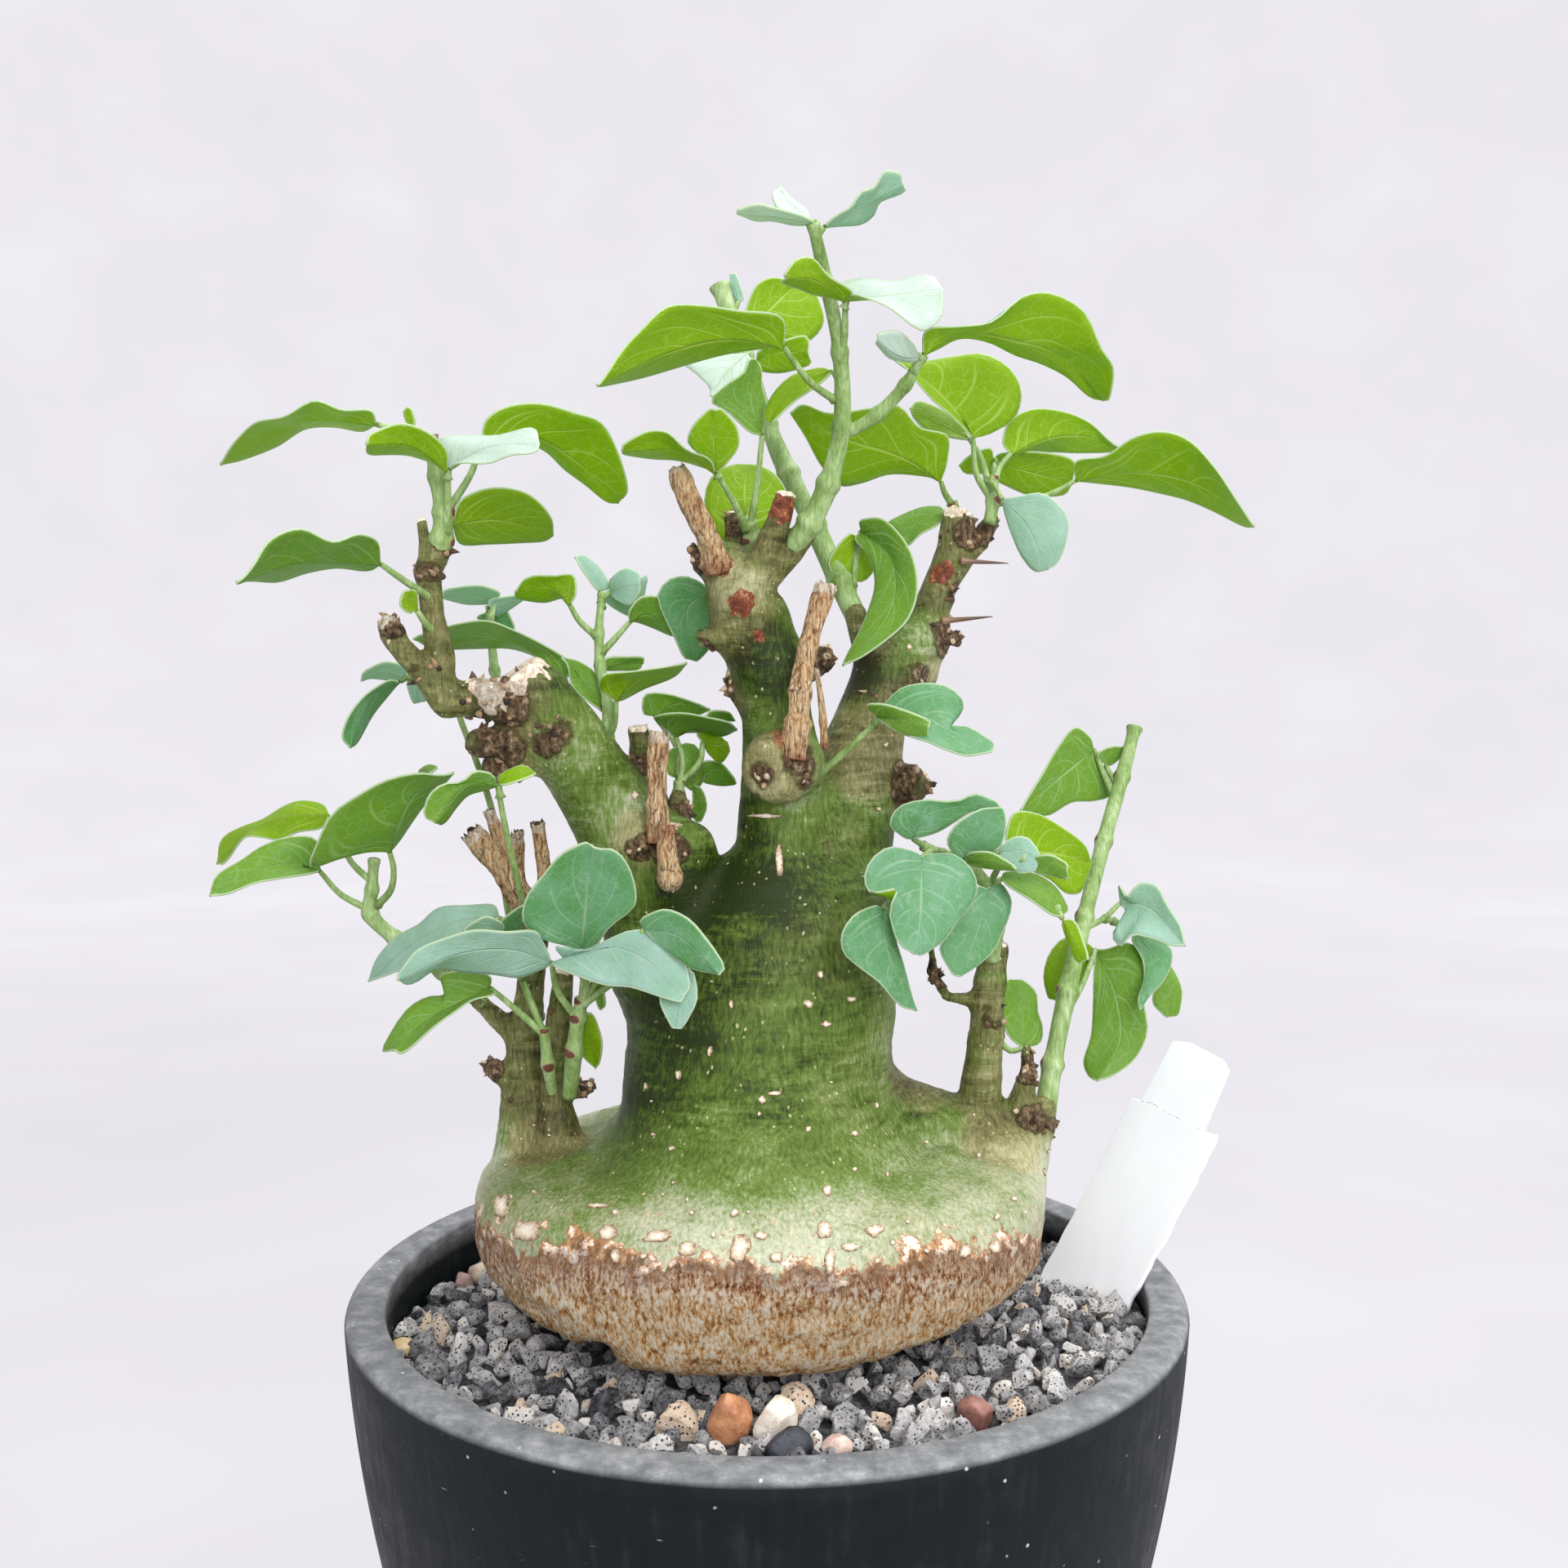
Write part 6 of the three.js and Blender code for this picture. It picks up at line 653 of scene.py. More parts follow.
SPRAYS["leaf_right_low"] = spray(0, [], [
    leaf([[55.8, 180.5, 3], [55.4, 187.6, 6], [54, 195.7, 9]], [[52.8, 183], [50.6, 187.8], [50.9, 192.4],
         [51.8, 195.2]], [[59.6, 181.8], [60, 185.4], [59, 188.6], [58.6, 192.8], [56.4, 195.1]], [-2, 2],
         [[49.6, 183.2, 0], [53, 180, 1.6], [55.6, 183, 4]]),
])
SPRAYS["shoot_right"] = spray(8, [
    [[60.4, 163.5, 2, 2.5], [62.3, 177, 2, 2.1], [65.4, 193, 2, 2], [69, 209.5, 2, 1.8],
     [73, 226, 2, 1.7], [76.8, 240, 2, 1.6], [79.4, 250.6, 2, 1.5]],
], [
    leaf([[70.6, 246, 5], [64, 240.6, 3], [54.8, 232.6, -1]], [[69, 249.4], [66.6, 250.8], [63, 246.8],
         [59.6, 241], [56.6, 236]], [[72.6, 242], [74.6, 236.2], [71, 234.7], [66, 234.4], [61, 231.6]],
         [-2, 3], [[75.2, 235.5, 2], [73.2, 239.6, 4], [69.4, 245.2, 5]]),
    leaf([[73.2, 242.4, 5], [74.6, 244.6, 4], [77, 246.6, 3]], [[71.6, 245.4], [73.6, 246.4]],
         [[75.2, 243], [77.2, 244.8]], [-1, 1], [[76, 237.5, 2], [74.3, 244.1, 4.2]]),
    leaf([[76.6, 212.4, 0], [82.6, 211.6, -4], [91, 203, -9]], [[76.4, 216.5], [78, 213.8], [80.6, 216.8],
         [84.4, 216.6], [86.8, 212.4], [90, 207.4]], [[77.8, 210], [75, 205.2], [77, 203], [79, 205.4],
         [84, 204.6], [87.8, 203.2]], [-2, -2], [[69, 207, 2], [73, 209, 1], [78.6, 212.4, -1]]),
    leaf([[79.6, 206, 4], [84, 199.6, 2], [81.2, 188.8, -2]], [[84, 204.6], [87.8, 202.7], [88, 199],
         [86, 194.8], [83.2, 191.8]], [[79.6, 203.6], [81.6, 200.2], [82, 195.6], [80.8, 191.6]], [1, -1],
         [[73.4, 209, 1.4], [76, 208.4, 5], [80.8, 204.6, 3.6]]),
    leaf([[71.4, 202.2, 8], [66.4, 199, 10], [62.4, 191.2, 12]], [[68, 204.6], [64.6, 204.9],
         [61.4, 201.6], [60.1, 196.6], [60.8, 192.6]], [[70.6, 198], [68.4, 194], [65.6, 190.6]], [1, -1],
         [[65, 188, 2], [68.6, 194.6, 5], [69.6, 201.2, 8.6]]),
    leaf([[71.6, 202.4, 8], [76, 192, 6], [77, 182, 5], [72, 173.2, 4]], [[74.4, 202.6], [79, 203.7],
         [82.8, 198.4], [82, 192], [83.1, 184.4], [80.4, 178.2], [76, 174.6]], [[71, 196.4], [71, 190],
         [70.6, 183.4], [69, 177.4], [70, 174.6]], [-1, 1], [[70.4, 199.6, 7.4], [72.6, 199.4, 7.6]]),
    leaf([[85.6, 199, 12], [87.6, 193.8, 12], [88, 187.4, 12]], [[88.4, 198], [90.4, 193.6], [90, 189]],
         [[84.8, 195.4], [84, 190.6], [86.2, 188]], [1, -1], [[75.2, 208.5, 4], [80, 205.6, 9],
         [86, 197.4, 12]]),
])

# Each leaf's shade as the viewer sees it, in the order of its spray: b pale blue wax, g blue-green,
# m middle green, y the yellow-green underside with light behind, w white: a painted highlight of the
# sky on wax that faces it.
LEAF_SHADES = {
    "spray_crown": "ywwwbyywy",
    "spray_behind": "yywbmy",
    "spray_head": "myyy",
    "spray_right_stub": "ym",
    "spray_right": "yyyyyyb",
    "spray_left_top": "yywyyy",
    "leaf_left_lance": "m",
    "leaf_left_small": "y",
    "spray_left_behind": "ybbmymmmb",
    "spray_left_far": "bbg",
    "leaf_left_drooping": "gbb",
    "spray_middle": "mmymmmm",
    "leaf_behind_crown": "g",
    "spray_left_middle": "mymm",
    "leaf_under_limb": "my",
    "spray_left_low": "bgbgbym",
    "spray_left_front": "mbgb",
    "leaf_front": "gm",
    "spray_right_low": "ggbmmyGggmy",
    "leaf_right_low": "m",
    "shoot_right": "mmbgymm",
}

# The shades' tones: of the side that the viewer sees, and of the other side. G lies between b and g.
SHADE_VALUES = {
    "b": (0.05, 0.6), "G": (0.19, 0.6), "g": (0.22, 0.6), "m": (0.45, 0.25), "y": (0.75, 0.12),
    "w": (1.0, 0.7),
}
UNDERSIDE_SHADES = "my"

# Where the cork rounds under, as [x, z], and how far up the cork reaches, as [x, sighted z]. It
# rounds over FOOT_ROUND mm, and draws in by the share FOOT_DRAW.
CORK_FOOT = [
    [-60, 133], [-50, 129.5], [-40, 127.5], [-33, 126.5], [-31, 124.4], [-6, 125.6], [4, 126],
    [25, 128], [41, 129.5], [53, 132.5],
]
CORK_TOP = [[-62, 143], [-52, 136], [-30, 133.5], [0, 131.5], [30, 132.5], [48, 136], [60, 138]]
FOOT_ROUND = 7
FOOT_DRAW = 0.23

# The fold between the two lobes of the cork: x, half width, depth, and the height of its top.
CORK_FOLD = [-32.5, 3, 4.6, 137]

# Bands of lighter or darker skin: [height where a band begins, where it is full, lighter].
SKIN_BANDS = [[171, 155, 0.44], [178, 206, -0.1], [214, 232, 0.08]]

# Lighter, darker and browner patches of the green skin: [x, z, depth, reach, lighter, browner].
# Dark patches on the trunk's left, at the limbs' fork and under the head are painted shade, partly algae on
# the upper left.
SKIN_SPOTS_AND_PAINTED_SHADE = [
    [-50, 150, -30, 22, -0.18, 0], [46, 150, -36, 18, -0.04, 0], [0, 150, -57, 20, 0.04, 0],
    [-14, 202, -22, 17, -0.2, 0], [-17, 215, -8, 9, -0.25, 0], [0, 265, -11, 8, -0.3, 0],
    [0, 186, -30, 16, -0.12, 0], [-22, 180, -16, 15, -0.26, 0], [-31, 232, -9, 8, 0.2, 0],
    [-43, 247, -8, 8, 0.16, 0], [-37, 240, 2, 9, 0, 0.45], [-20, 212, 12, 11, 0, 0.5],
    [6, 238, -8, 9, 0.1, 0], [-6, 281, -9, 6, 0.3, 0], [22, 246, 0, 12, 0.05, 0.75],
    [28, 256, 6, 8, -0.1, 0.7], [14, 228, -6, 9, 0, 0.35], [19, 262, 8, 6, -0.3, 0.3],
    [33, 268, 10, 7, 0.22, 0.1], [-48, 158, -6, 9, -0.1, 0.9], [50, 158, -4, 10, -0.06, 0.9],
    [22, 172, -24, 13, 0.1, 0.3], [12, 203, -20, 11, 0.05, 0.35], [-2, 232, -10, 6, -0.2, 0],
    [-6, 197, -27, 11, 0.14, 0.25], [2, 183, -30, 10, 0.08, 0.15], [26, 190, -14, 10, 0.1, 0.3],
    [2.5, 242, -20, 8, 0.05, 0.8], [8, 214, -16, 9, -0.12, 0], [-4, 218, -14, 8, -0.16, 0],
    [30, 176, 0, 12, -0.05, 0.7], [-30, 172, 4, 12, 0, 0.4],
]

# The gall under the front stub: [x, z, depth, reach].
GALL = [2.5, 241.5, -19, 10]

# Orange-brown wounds: [x, z, depth, reach].
WOUND_SPOTS = [
    [-5.5, 277.5, -12, 5.5], [-22, 229, -17, 4.5], [3, 298, -10, 6], [-2, 270.5, -12, 2.6],
    [5, 246, -18, 6], [-10, 286, -9, 5], [37, 284, 8, 6], [-21.5, 217, -18, 3],
]

# Lifted corky flakes and round corky spots: [x, z, half width, half height], as sighted.
FLAKES = [
    [-58.5, 145.7, 1.5, 2.7], [-53.2, 140, 2.7, 2.2], [-35.3, 139.4, 2.2, 1.7],
    [-24.3, 138.5, 3.9, 1.5], [-6.4, 136, 2.2, 2.7], [-1.6, 138.8, 1.5, 1], [-37.7, 145.4, 2.4, 0.5],
    [-17.8, 136, 2, 1.5], [-33.6, 134.2, 1, 1.5], [-27.3, 134.2, 1, 0.7], [-12.1, 139.1, 0.5, 0.7],
    [-60.5, 154.8, 0.7, 1.5], [12.4, 140, 1.5, 2.2], [13.6, 133.6, 1.2, 2.7], [23.4, 140, 2.2, 1.5],
    [18.1, 136.3, 2, 1], [2, 133.9, 1.5, 1.5], [27.3, 137.2, 0.7, 0.6], [43.2, 135.4, 1.5, 1.7],
    [50, 136.3, 1.2, 1.5], [13, 148.8, 1, 1.2], [30.6, 141.8, 0.5, 0.4], [34.8, 135.4, 0.7, 0.5],
    [-21.5, 243, 0.9, 1.9], [-23, 229.5, 3.4, 1], [-29, 236, 0.9, 0.9], [2.5, 221.5, 0.9, 3],
    [-0.5, 231.5, 3.2, 0.5], [26.5, 230, 1.5, 0.6],
]
CORK_SPOTS = [
    [-12.7, 179.9, 0.5, 1.1], [-19.6, 174.7, 0.6, 1], [-26.7, 172, 0.4, 0.9], [-25.5, 168.8, 0.3, 0.3],
    [-2, 166, 0.4, 0.4], [-1.3, 169, 0.9, 0.9], [1.4, 170.5, 1.5, 0.5], [-21.1, 158.2, 0.6, 0.5],
    [-25.1, 161.4, 0.5, 0.3], [-30.2, 161.4, 1, 0.7], [-16.7, 143.9, 0.5, 0.6], [-7.4, 143.8, 0.9, 0.9],
    [-4.3, 144, 0.4, 0.3], [-33.6, 143.9, 0.7, 0.7], [-51.5, 148.5, 0.5, 0.4], [-56.4, 147.4, 0.4, 0.4],
    [-57.6, 154.4, 0.3, 0.3], [-45.3, 146.5, 0.3, 0.3], [-23.1, 147.8, 0.4, 0.4],
    [-20.7, 150.6, 0.4, 0.3], [-17.7, 146.8, 0.4, 0.4], [-8, 190.2, 0.4, 1], [-12.2, 195.3, 0.4, 0.3],
    [-51.2, 163.5, 0.3, 0.3], [-54.2, 160.5, 0.3, 0.3], [-48, 161.3, 0.4, 0.2], [11.4, 196.8, 0.6, 0.7],
    [8.8, 190.4, 0.9, 0.9], [18, 191.4, 0.9, 0.6], [12.5, 185.8, 1.2, 0.7], [13.7, 173, 0.3, 0.3],
    [8.8, 162.6, 0.7, 0.6], [18.9, 161.6, 0.7, 0.7], [23.7, 167.8, 0.3, 0.7], [34.7, 159.6, 0.4, 0.3],
    [46.3, 156.6, 0.6, 0.5], [18.9, 153.6, 0.5, 0.5], [54.1, 146.9, 0.7, 0.5], [50.3, 143, 0.7, 0.8],
    [45.1, 165.7, 0.3, 0.3], [26.1, 152.4, 0.3, 0.5], [38.7, 157.2, 0.3, 0.5], [54.5, 173.5, 0.3, 0.3],
    [12.3, 144.5, 0.3, 0.3], [-22.5, 245, 0.5, 0.5], [-35, 250, 0.6, 0.5], [-18, 239.5, 0.4, 0.4],
    [24, 233, 0.5, 0.4], [25.5, 247, 0.6, 0.5], [30.5, 268, 0.6, 0.7], [26.5, 275, 0.5, 0.4],
]


def linear(color):
    """A linear colour from red, green and blue display values of 0 to 255."""
    def straight(value):
        share = value / 255
        return share / 12.92 if share <= 0.04045 else ((share + 0.055) / 1.055) ** 2.4
    return (*(straight(value) for value in color), 1.0)


def sighted(points):
    """Real places in mm of [x, z, depth] points sighted from the eye."""
    points = np.asarray(points, float)
    x, z, depth = points[..., 0], points[..., 1], points[..., 2]
    reach = (depth - EYE[1]) / -EYE[1]
    return np.stack([EYE[0] + (x - EYE[0]) * reach, depth, EYE[2] + (z - EYE[2]) * reach], axis=-1)


def swept(points):
    """Real places of plant points, with the growth's turn about the upright axis."""
    points = np.array(points, float)
    share = np.clip((points[..., 1] - SWEEP_LOW) / SWEEP_RISE, 0, 1)
    points[..., 2] += share * SWEEP_TURN * points[..., 0]
    return sighted(points)


def curve(points, shares):
    """Points at shares from 0 to 1 of the centripetal Catmull-Rom curve through points."""
    knots = np.asarray(points, float)
    last = len(knots) - 1
    knots = np.vstack([2 * knots[0] - knots[1], knots, 2 * knots[-1] - knots[-2]])
    spans = np.maximum(np.sqrt(np.linalg.norm(np.diff(knots[:, :3], axis=0), axis=1)), 1e-3)
    place = np.clip(shares, 0, 1) * last
    i = np.minimum(place.astype(int), last - 1)
    t = (place - i)[:, None]
    before, here, after, beyond = (knots[i + k] for k in range(4))
    d0, d1, d2 = (spans[i + k][:, None] for k in range(3))
    leave = ((here - before) / d0 - (after - before) / (d0 + d1) + (after - here) / d1) * d1
    reach = ((after - here) / d1 - (beyond - here) / (d1 + d2) + (beyond - after) / d2) * d1
    bend = 3 * (after - here) - 2 * leave - reach
    return here + leave * t + bend * t**2 + (2 * (here - after) + leave + reach) * t**3


def hashed(cells, seed):
    """Repeatable random values from -1 to 1 for whole-number cells."""
    mixed = cells[..., 0] * 73856093 ^ cells[..., 1] * 19349663 ^ cells[..., 2] * 83492791
    mixed = (mixed ^ (seed * 40503 + 977)) & 0xFFFFFFFF
    mixed = ((mixed ^ (mixed >> 13)) * 1274126177) & 0xFFFFFFFF
    mixed ^= mixed >> 16
    return (mixed & 0xFFFF) / 32767.5 - 1


def noise(points, seed=0):
    """Smooth noise from -1 to 1 over cells of one unit."""
    cells = np.floor(points).astype(np.int64)
    within = points - cells
    ease = within * within * (3 - 2 * within)
    total = 0
    for corner in range(8):
        step = np.array([corner & 1, corner >> 1 & 1, corner >> 2])
        weight = np.prod(np.where(step, ease, 1 - ease), axis=-1)
        total = total + weight * hashed(cells + step, seed)
    return total


def fractal(points, octaves, seed=0):
    """Noise with finer and weaker noise on it."""
    return sum(noise(points * 2**n, seed + n) / 2**n for n in range(octaves)) / 1.6


def smooth_step(low, high, value):
    """0 below low, 1 above high, and an eased rise between."""
    share = np.clip((value - low) / (high - low), 0, 1)
    return share * share * (3 - 2 * share)


def smooth_min(a, b, blend):
    """The lesser of two distances, eased where they meet."""
    share = np.maximum(blend - np.abs(a - b), 0) / blend
    return np.minimum(a, b) - share * share * blend / 4


def unit(vectors):
    """Vectors brought to a length of one."""
    return vectors / np.maximum(np.linalg.norm(vectors, axis=-1, keepdims=True), 1e-9)


def around(count):
    """Even angles for a full turn."""
    return 2 * np.pi * np.arange(count) / count


# Meshes

def mesh_object(name, points, faces, materials, face_materials=None, values=None, flat_uv=None):
    """A mesh from points in mm, with number values per point and a flat layout per point."""
    mesh = bpy.data.meshes.new(name)
    mesh.from_pydata((np.asarray(points, float) * MM).tolist(), [], faces)
    for value_name, numbers in (values or {}).items():
        attribute = mesh.attributes.new(value_name, "FLOAT", "POINT")
        attribute.data.foreach_set("value", np.asarray(numbers, np.float32))
    if flat_uv is not None:
        corners = np.zeros(len(mesh.loops), np.int32)
        mesh.loops.foreach_get("vertex_index", corners)
        layer = mesh.uv_layers.new(name="flat")
        layer.data.foreach_set("uv", np.asarray(flat_uv, np.float32)[corners].ravel())
    for material in materials:
        mesh.materials.append(material)
    if face_materials is not None:
        mesh.polygons.foreach_set("material_index", np.asarray(face_materials, np.int32))
    mesh.polygons.foreach_set("use_smooth", np.ones(len(mesh.polygons), bool))
    mesh.validate()
    mesh.update()
    piece = bpy.data.objects.new(name, mesh)
    bpy.context.scene.collection.objects.link(piece)
    return piece


def settle(piece, slot, *replaced):
    """Hangs a piece on the one body and hides the nodes that it stands for."""
    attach(piece, "root")
    if replaced:
        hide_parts(*replaced)


class Heap:
    """Points and faces of several forms gathered into one mesh."""

    def __init__(self, *value_names):
        self.points = []
        self.faces = []
        self.face_materials = []
        self.values = {name: [] for name in value_names}
        self.flat = []
        self.count = 0

    def add(self, points, faces, material=0, flat=None, **values):
        """Adds a form. A value is one number, or one for each point."""
        total = len(points)
        self.points.append(points)
        self.faces += [[corner + self.count for corner in face] for face in faces]
        self.face_materials += [material] * len(faces)
        for name, gathered in self.values.items():
            gathered.append(np.broadcast_to(np.asarray(values.get(name, 0), float), total))
        self.flat.append(np.zeros((total, 2)) if flat is None else flat)
        self.count += total

    def build(self, name, materials):
        """The mesh object of all that was added."""
        values = {key: np.concatenate(parts) for key, parts in self.values.items()}
        return mesh_object(name, np.concatenate(self.points), self.faces, materials,
                           self.face_materials, values, np.concatenate(self.flat))


def ring_faces(rings, sides, closed_ends=True):
    """Faces of a tube of rings, with an end face on the first and last."""
    faces = []
    for i in range(rings - 1):
        for k in range(sides):
            a, b = i * sides + k, i * sides + (k + 1) % sides
            faces.append([a, b, b + sides, a + sides])
    if closed_ends:
        last = (rings - 1) * sides
        faces.append([k for k in reversed(range(sides))])
        faces.append([last + k for k in range(sides)])
    return faces


def level_rings(profile, segments):
    """Points around the upright axis for each [radius, height] of a profile."""
    profile = np.asarray(profile, float)
    turns = around(segments)
    rows = np.repeat(profile[:, 1:], segments, axis=1)
    return np.stack([profile[:, :1] * np.cos(turns), profile[:, :1] * np.sin(turns), rows], axis=-1)


def ring_frames(path):
    """Two steady directions across each point of a path."""
    along = unit(np.gradient(path, axis=0))
    across = np.array([0.0, 1.0, 0.2])
    sides = []
    for direction in along:
        across = unit(across - direction * across.dot(direction))
        sides.append(across)
    sides = np.array(sides)
    return sides, np.cross(along, sides)


def tube(path, radii, sides):
    """Ring points and faces around a path, with a radius for each ring."""
    first, second = ring_frames(path)
    turns = around(sides)
    spokes = first[:, None] * np.cos(turns)[:, None] + second[:, None] * np.sin(turns)[:, None]
    points = path[:, None] + spokes * np.asarray(radii, float)[:, None, None]
    return points.reshape(-1, 3), ring_faces(len(path), sides)


def stem_path(stations, step):
    """A smooth path and its radii through stations of [x, z, depth, radius]."""
    stations = np.asarray(stations, float)
    knots = np.column_stack([swept(stations[:, :3]), stations[:, 3]])
    length = np.linalg.norm(np.diff(knots[:, :3], axis=0), axis=1).sum()
    line = curve(knots, np.linspace(0, 1, max(int(length / step), 3)))
    return line[:, :3], line[:, 3]


def point_normals(points, faces):
    """Outward directions at the points of a mesh of triangles or four-sided faces."""
    normals = np.zeros_like(points)
    for size in (3, 4):
        some = np.array([face for face in faces if len(face) == size], int)
        if len(some) == 0:
            continue
        corners = points[some]
        crossed = np.cross(corners[:, size - 2] - corners[:, 0], corners[:, size - 1] - corners[:, size - 3])
        for corner in range(size):
            np.add.at(normals, some[:, corner], crossed)
    return unit(normals)


def thickened(middle, faces, upper, lower):
    """Both faces of a sheet, stood off its middle, with a rim. Lower ones follow the upper ones."""
    normals = point_normals(middle, faces)
    count = len(middle)
    points = np.vstack([middle + normals * upper[:, None], middle - normals * lower[:, None]])
    shell = [list(face) for face in faces]
    shell += [[corner + count for corner in reversed(face)] for face in faces]
    open_edges = {}
    for face in faces:
        for a, b in zip(face, face[1:] + face[:1]):
            if (b, a) in open_edges:
                del open_edges[b, a]
            else:
                open_edges[a, b] = True
    shell += [[b, a, a + count, b + count] for a, b in open_edges]
    return points, shell


# Materials

class Paint:
    """A node material under construction. Sizes of patterns are in mm."""

    def __init__(self, name):
        self.material = bpy.data.materials.new(name)
        self.material.use_nodes = True
        self.tree = self.material.node_tree
        self.surface = self.tree.nodes["Principled BSDF"]
        self.output = self.tree.nodes["Material Output"]
        self.place = self.add("ShaderNodeTexCoord").outputs["Object"]

    def add(self, kind, inputs=None, **settings):
        """A node; inputs maps a socket's name or number to a value or another socket."""
        made = self.tree.nodes.new(kind)
        for key, value in settings.items():
            setattr(made, key, value)
        for key, value in (inputs or {}).items():
            if isinstance(value, bpy.types.NodeSocket):
                self.tree.links.new(value, made.inputs[key])
            else:
                made.inputs[key].default_value = value
        return made

    def warp(self, size, amount):
        """Bends every pattern made after this, by amount in mm over clouds of this size."""
        inputs = {"Vector": self.scaled(size), "Scale": 1.0, "Detail": 2.0}
        drift = self.add("ShaderNodeTexNoise", inputs).outputs["Color"]
        drift = self.add("ShaderNodeVectorMath", {0: drift, 1: (0.5, 0.5, 0.5)}, operation="SUBTRACT")
        drift = self.add("ShaderNodeVectorMath", {0: drift.outputs[0], "Scale": 2 * amount * MM},
                         operation="SCALE")
        bent = self.add("ShaderNodeVectorMath", {0: self.place, 1: drift.outputs[0]}, operation="ADD")
        self.place = bent.outputs[0]

    def scaled(self, size, stretch=(1, 1, 1)):
        """Coordinates in which a pattern of this size in mm is one unit."""
        scale = [1 / (size * MM * part) for part in stretch]
        return self.add("ShaderNodeMapping", {0: self.place, 3: scale}).outputs[0]

    def cloud(self, size, stretch=(1, 1, 1), detail=3.0, rough=0.55, shift=0.0):
        """Soft noise from 0 to 1."""
        inputs = {"Vector": self.scaled(size, stretch), "Scale": 1.0, "Detail": detail,
                  "Roughness": rough, "W": shift}
        return self.add("ShaderNodeTexNoise", inputs, noise_dimensions="4D").outputs[0]

    def cells(self, size, stretch=(1, 1, 1), feature="F1", output="Distance", random=1.0):
        """A pattern of cells."""
        inputs = {"Vector": self.scaled(size, stretch), "Scale": 1.0, "Randomness": random}
        return self.add("ShaderNodeTexVoronoi", inputs, feature=feature).outputs[output]

    def value(self, name):
        """A number kept at the mesh's points."""
        return self.add("ShaderNodeAttribute", attribute_name=name).outputs["Fac"]

    def math(self, operation, first, second=0.0, third=0.0):
        """Arithmetic on numbers."""
        return self.add("ShaderNodeMath", {0: first, 1: second, 2: third}, operation=operation).outputs[0]

    def blend(self, *parts):
        """The sum of numbers, each in its own share; a part is (number, share, centre)."""
        total = 0.0
        for number, share, centre in parts:
            shifted = self.math("SUBTRACT", number, centre)
            total = self.math("MULTIPLY_ADD", shifted, share, total)
        return total

    def fit(self, value, low, high, to_low=0.0, to_high=1.0):
        """value eased from one range to another, and held within it."""
        inputs = {"Value": value, "From Min": low, "From Max": high, "To Min": to_low, "To Max": to_high}
        return self.add("ShaderNodeMapRange", inputs, interpolation_type="SMOOTHSTEP").outputs[0]

    def mix(self, share, first, second):
        """A mix of two colours, or of a colour and one of display values."""
        first, second = (linear(item) if isinstance(item, tuple) else item for item in (first, second))
        inputs = {"Factor": share, 6: first, 7: second}
        return self.add("ShaderNodeMix", inputs, data_type="RGBA").outputs[2]

    def ramp(self, value, *stops):
        """A colour for each value; a stop is (place, display colour)."""
        made = self.add("ShaderNodeValToRGB", {0: value})
        elements = made.color_ramp.elements
        while len(elements) < len(stops):
            elements.new(0.5)
        for element, (place, color) in zip(elements, stops):
            element.position = place
            element.color = linear(color)
        return made.outputs[0]

    def tinted(self, color, tint, neutral):
        """A colour pushed as far as the user's tint stands from its neutral default."""
        push = [wanted / max(usual, 0.001) for wanted, usual in zip(tint[:3], linear(neutral)[:3])]
        inputs = {"Factor": 1.0, 6: color, 7: (*push, 1.0)}
        return self.add("ShaderNodeMix", inputs, data_type="RGBA", blend_type="MULTIPLY").outputs[2]

    def bump(self, height, distance, strength=1.0):
        """A surface direction that follows height, whose full range is distance in mm."""
        inputs = {"Height": height, "Distance": distance * MM, "Strength": strength}
        return self.add("ShaderNodeBump", inputs).outputs[0]

    def finish(self, color, roughness, normal=None, **fixed):
        """Sets the surface's colour, roughness and any relief, and its other constants by name."""
        self.tree.links.new(color, self.surface.inputs["Base Color"])
        if isinstance(roughness, bpy.types.NodeSocket):
            self.tree.links.new(roughness, self.surface.inputs["Roughness"])
        else:
            self.surface.inputs["Roughness"].default_value = roughness
        if normal is not None:
            self.tree.links.new(normal, self.surface.inputs["Normal"])
        for name, number in fixed.items():
            self.surface.inputs[name.replace("_", " ")].default_value = number
        return self.material

    def lit_through(self, color, share, normal):
        """Lets a share of the light behind a thin sheet show through in this colour."""
        through = self.add("ShaderNodeBsdfTranslucent", {"Color": color, "Normal": normal}).outputs[0]
        both = self.add("ShaderNodeMixShader", {0: share, 1: self.surface.outputs[0], 2: through})
        self.tree.links.new(both.outputs[0], self.output.inputs["Surface"])


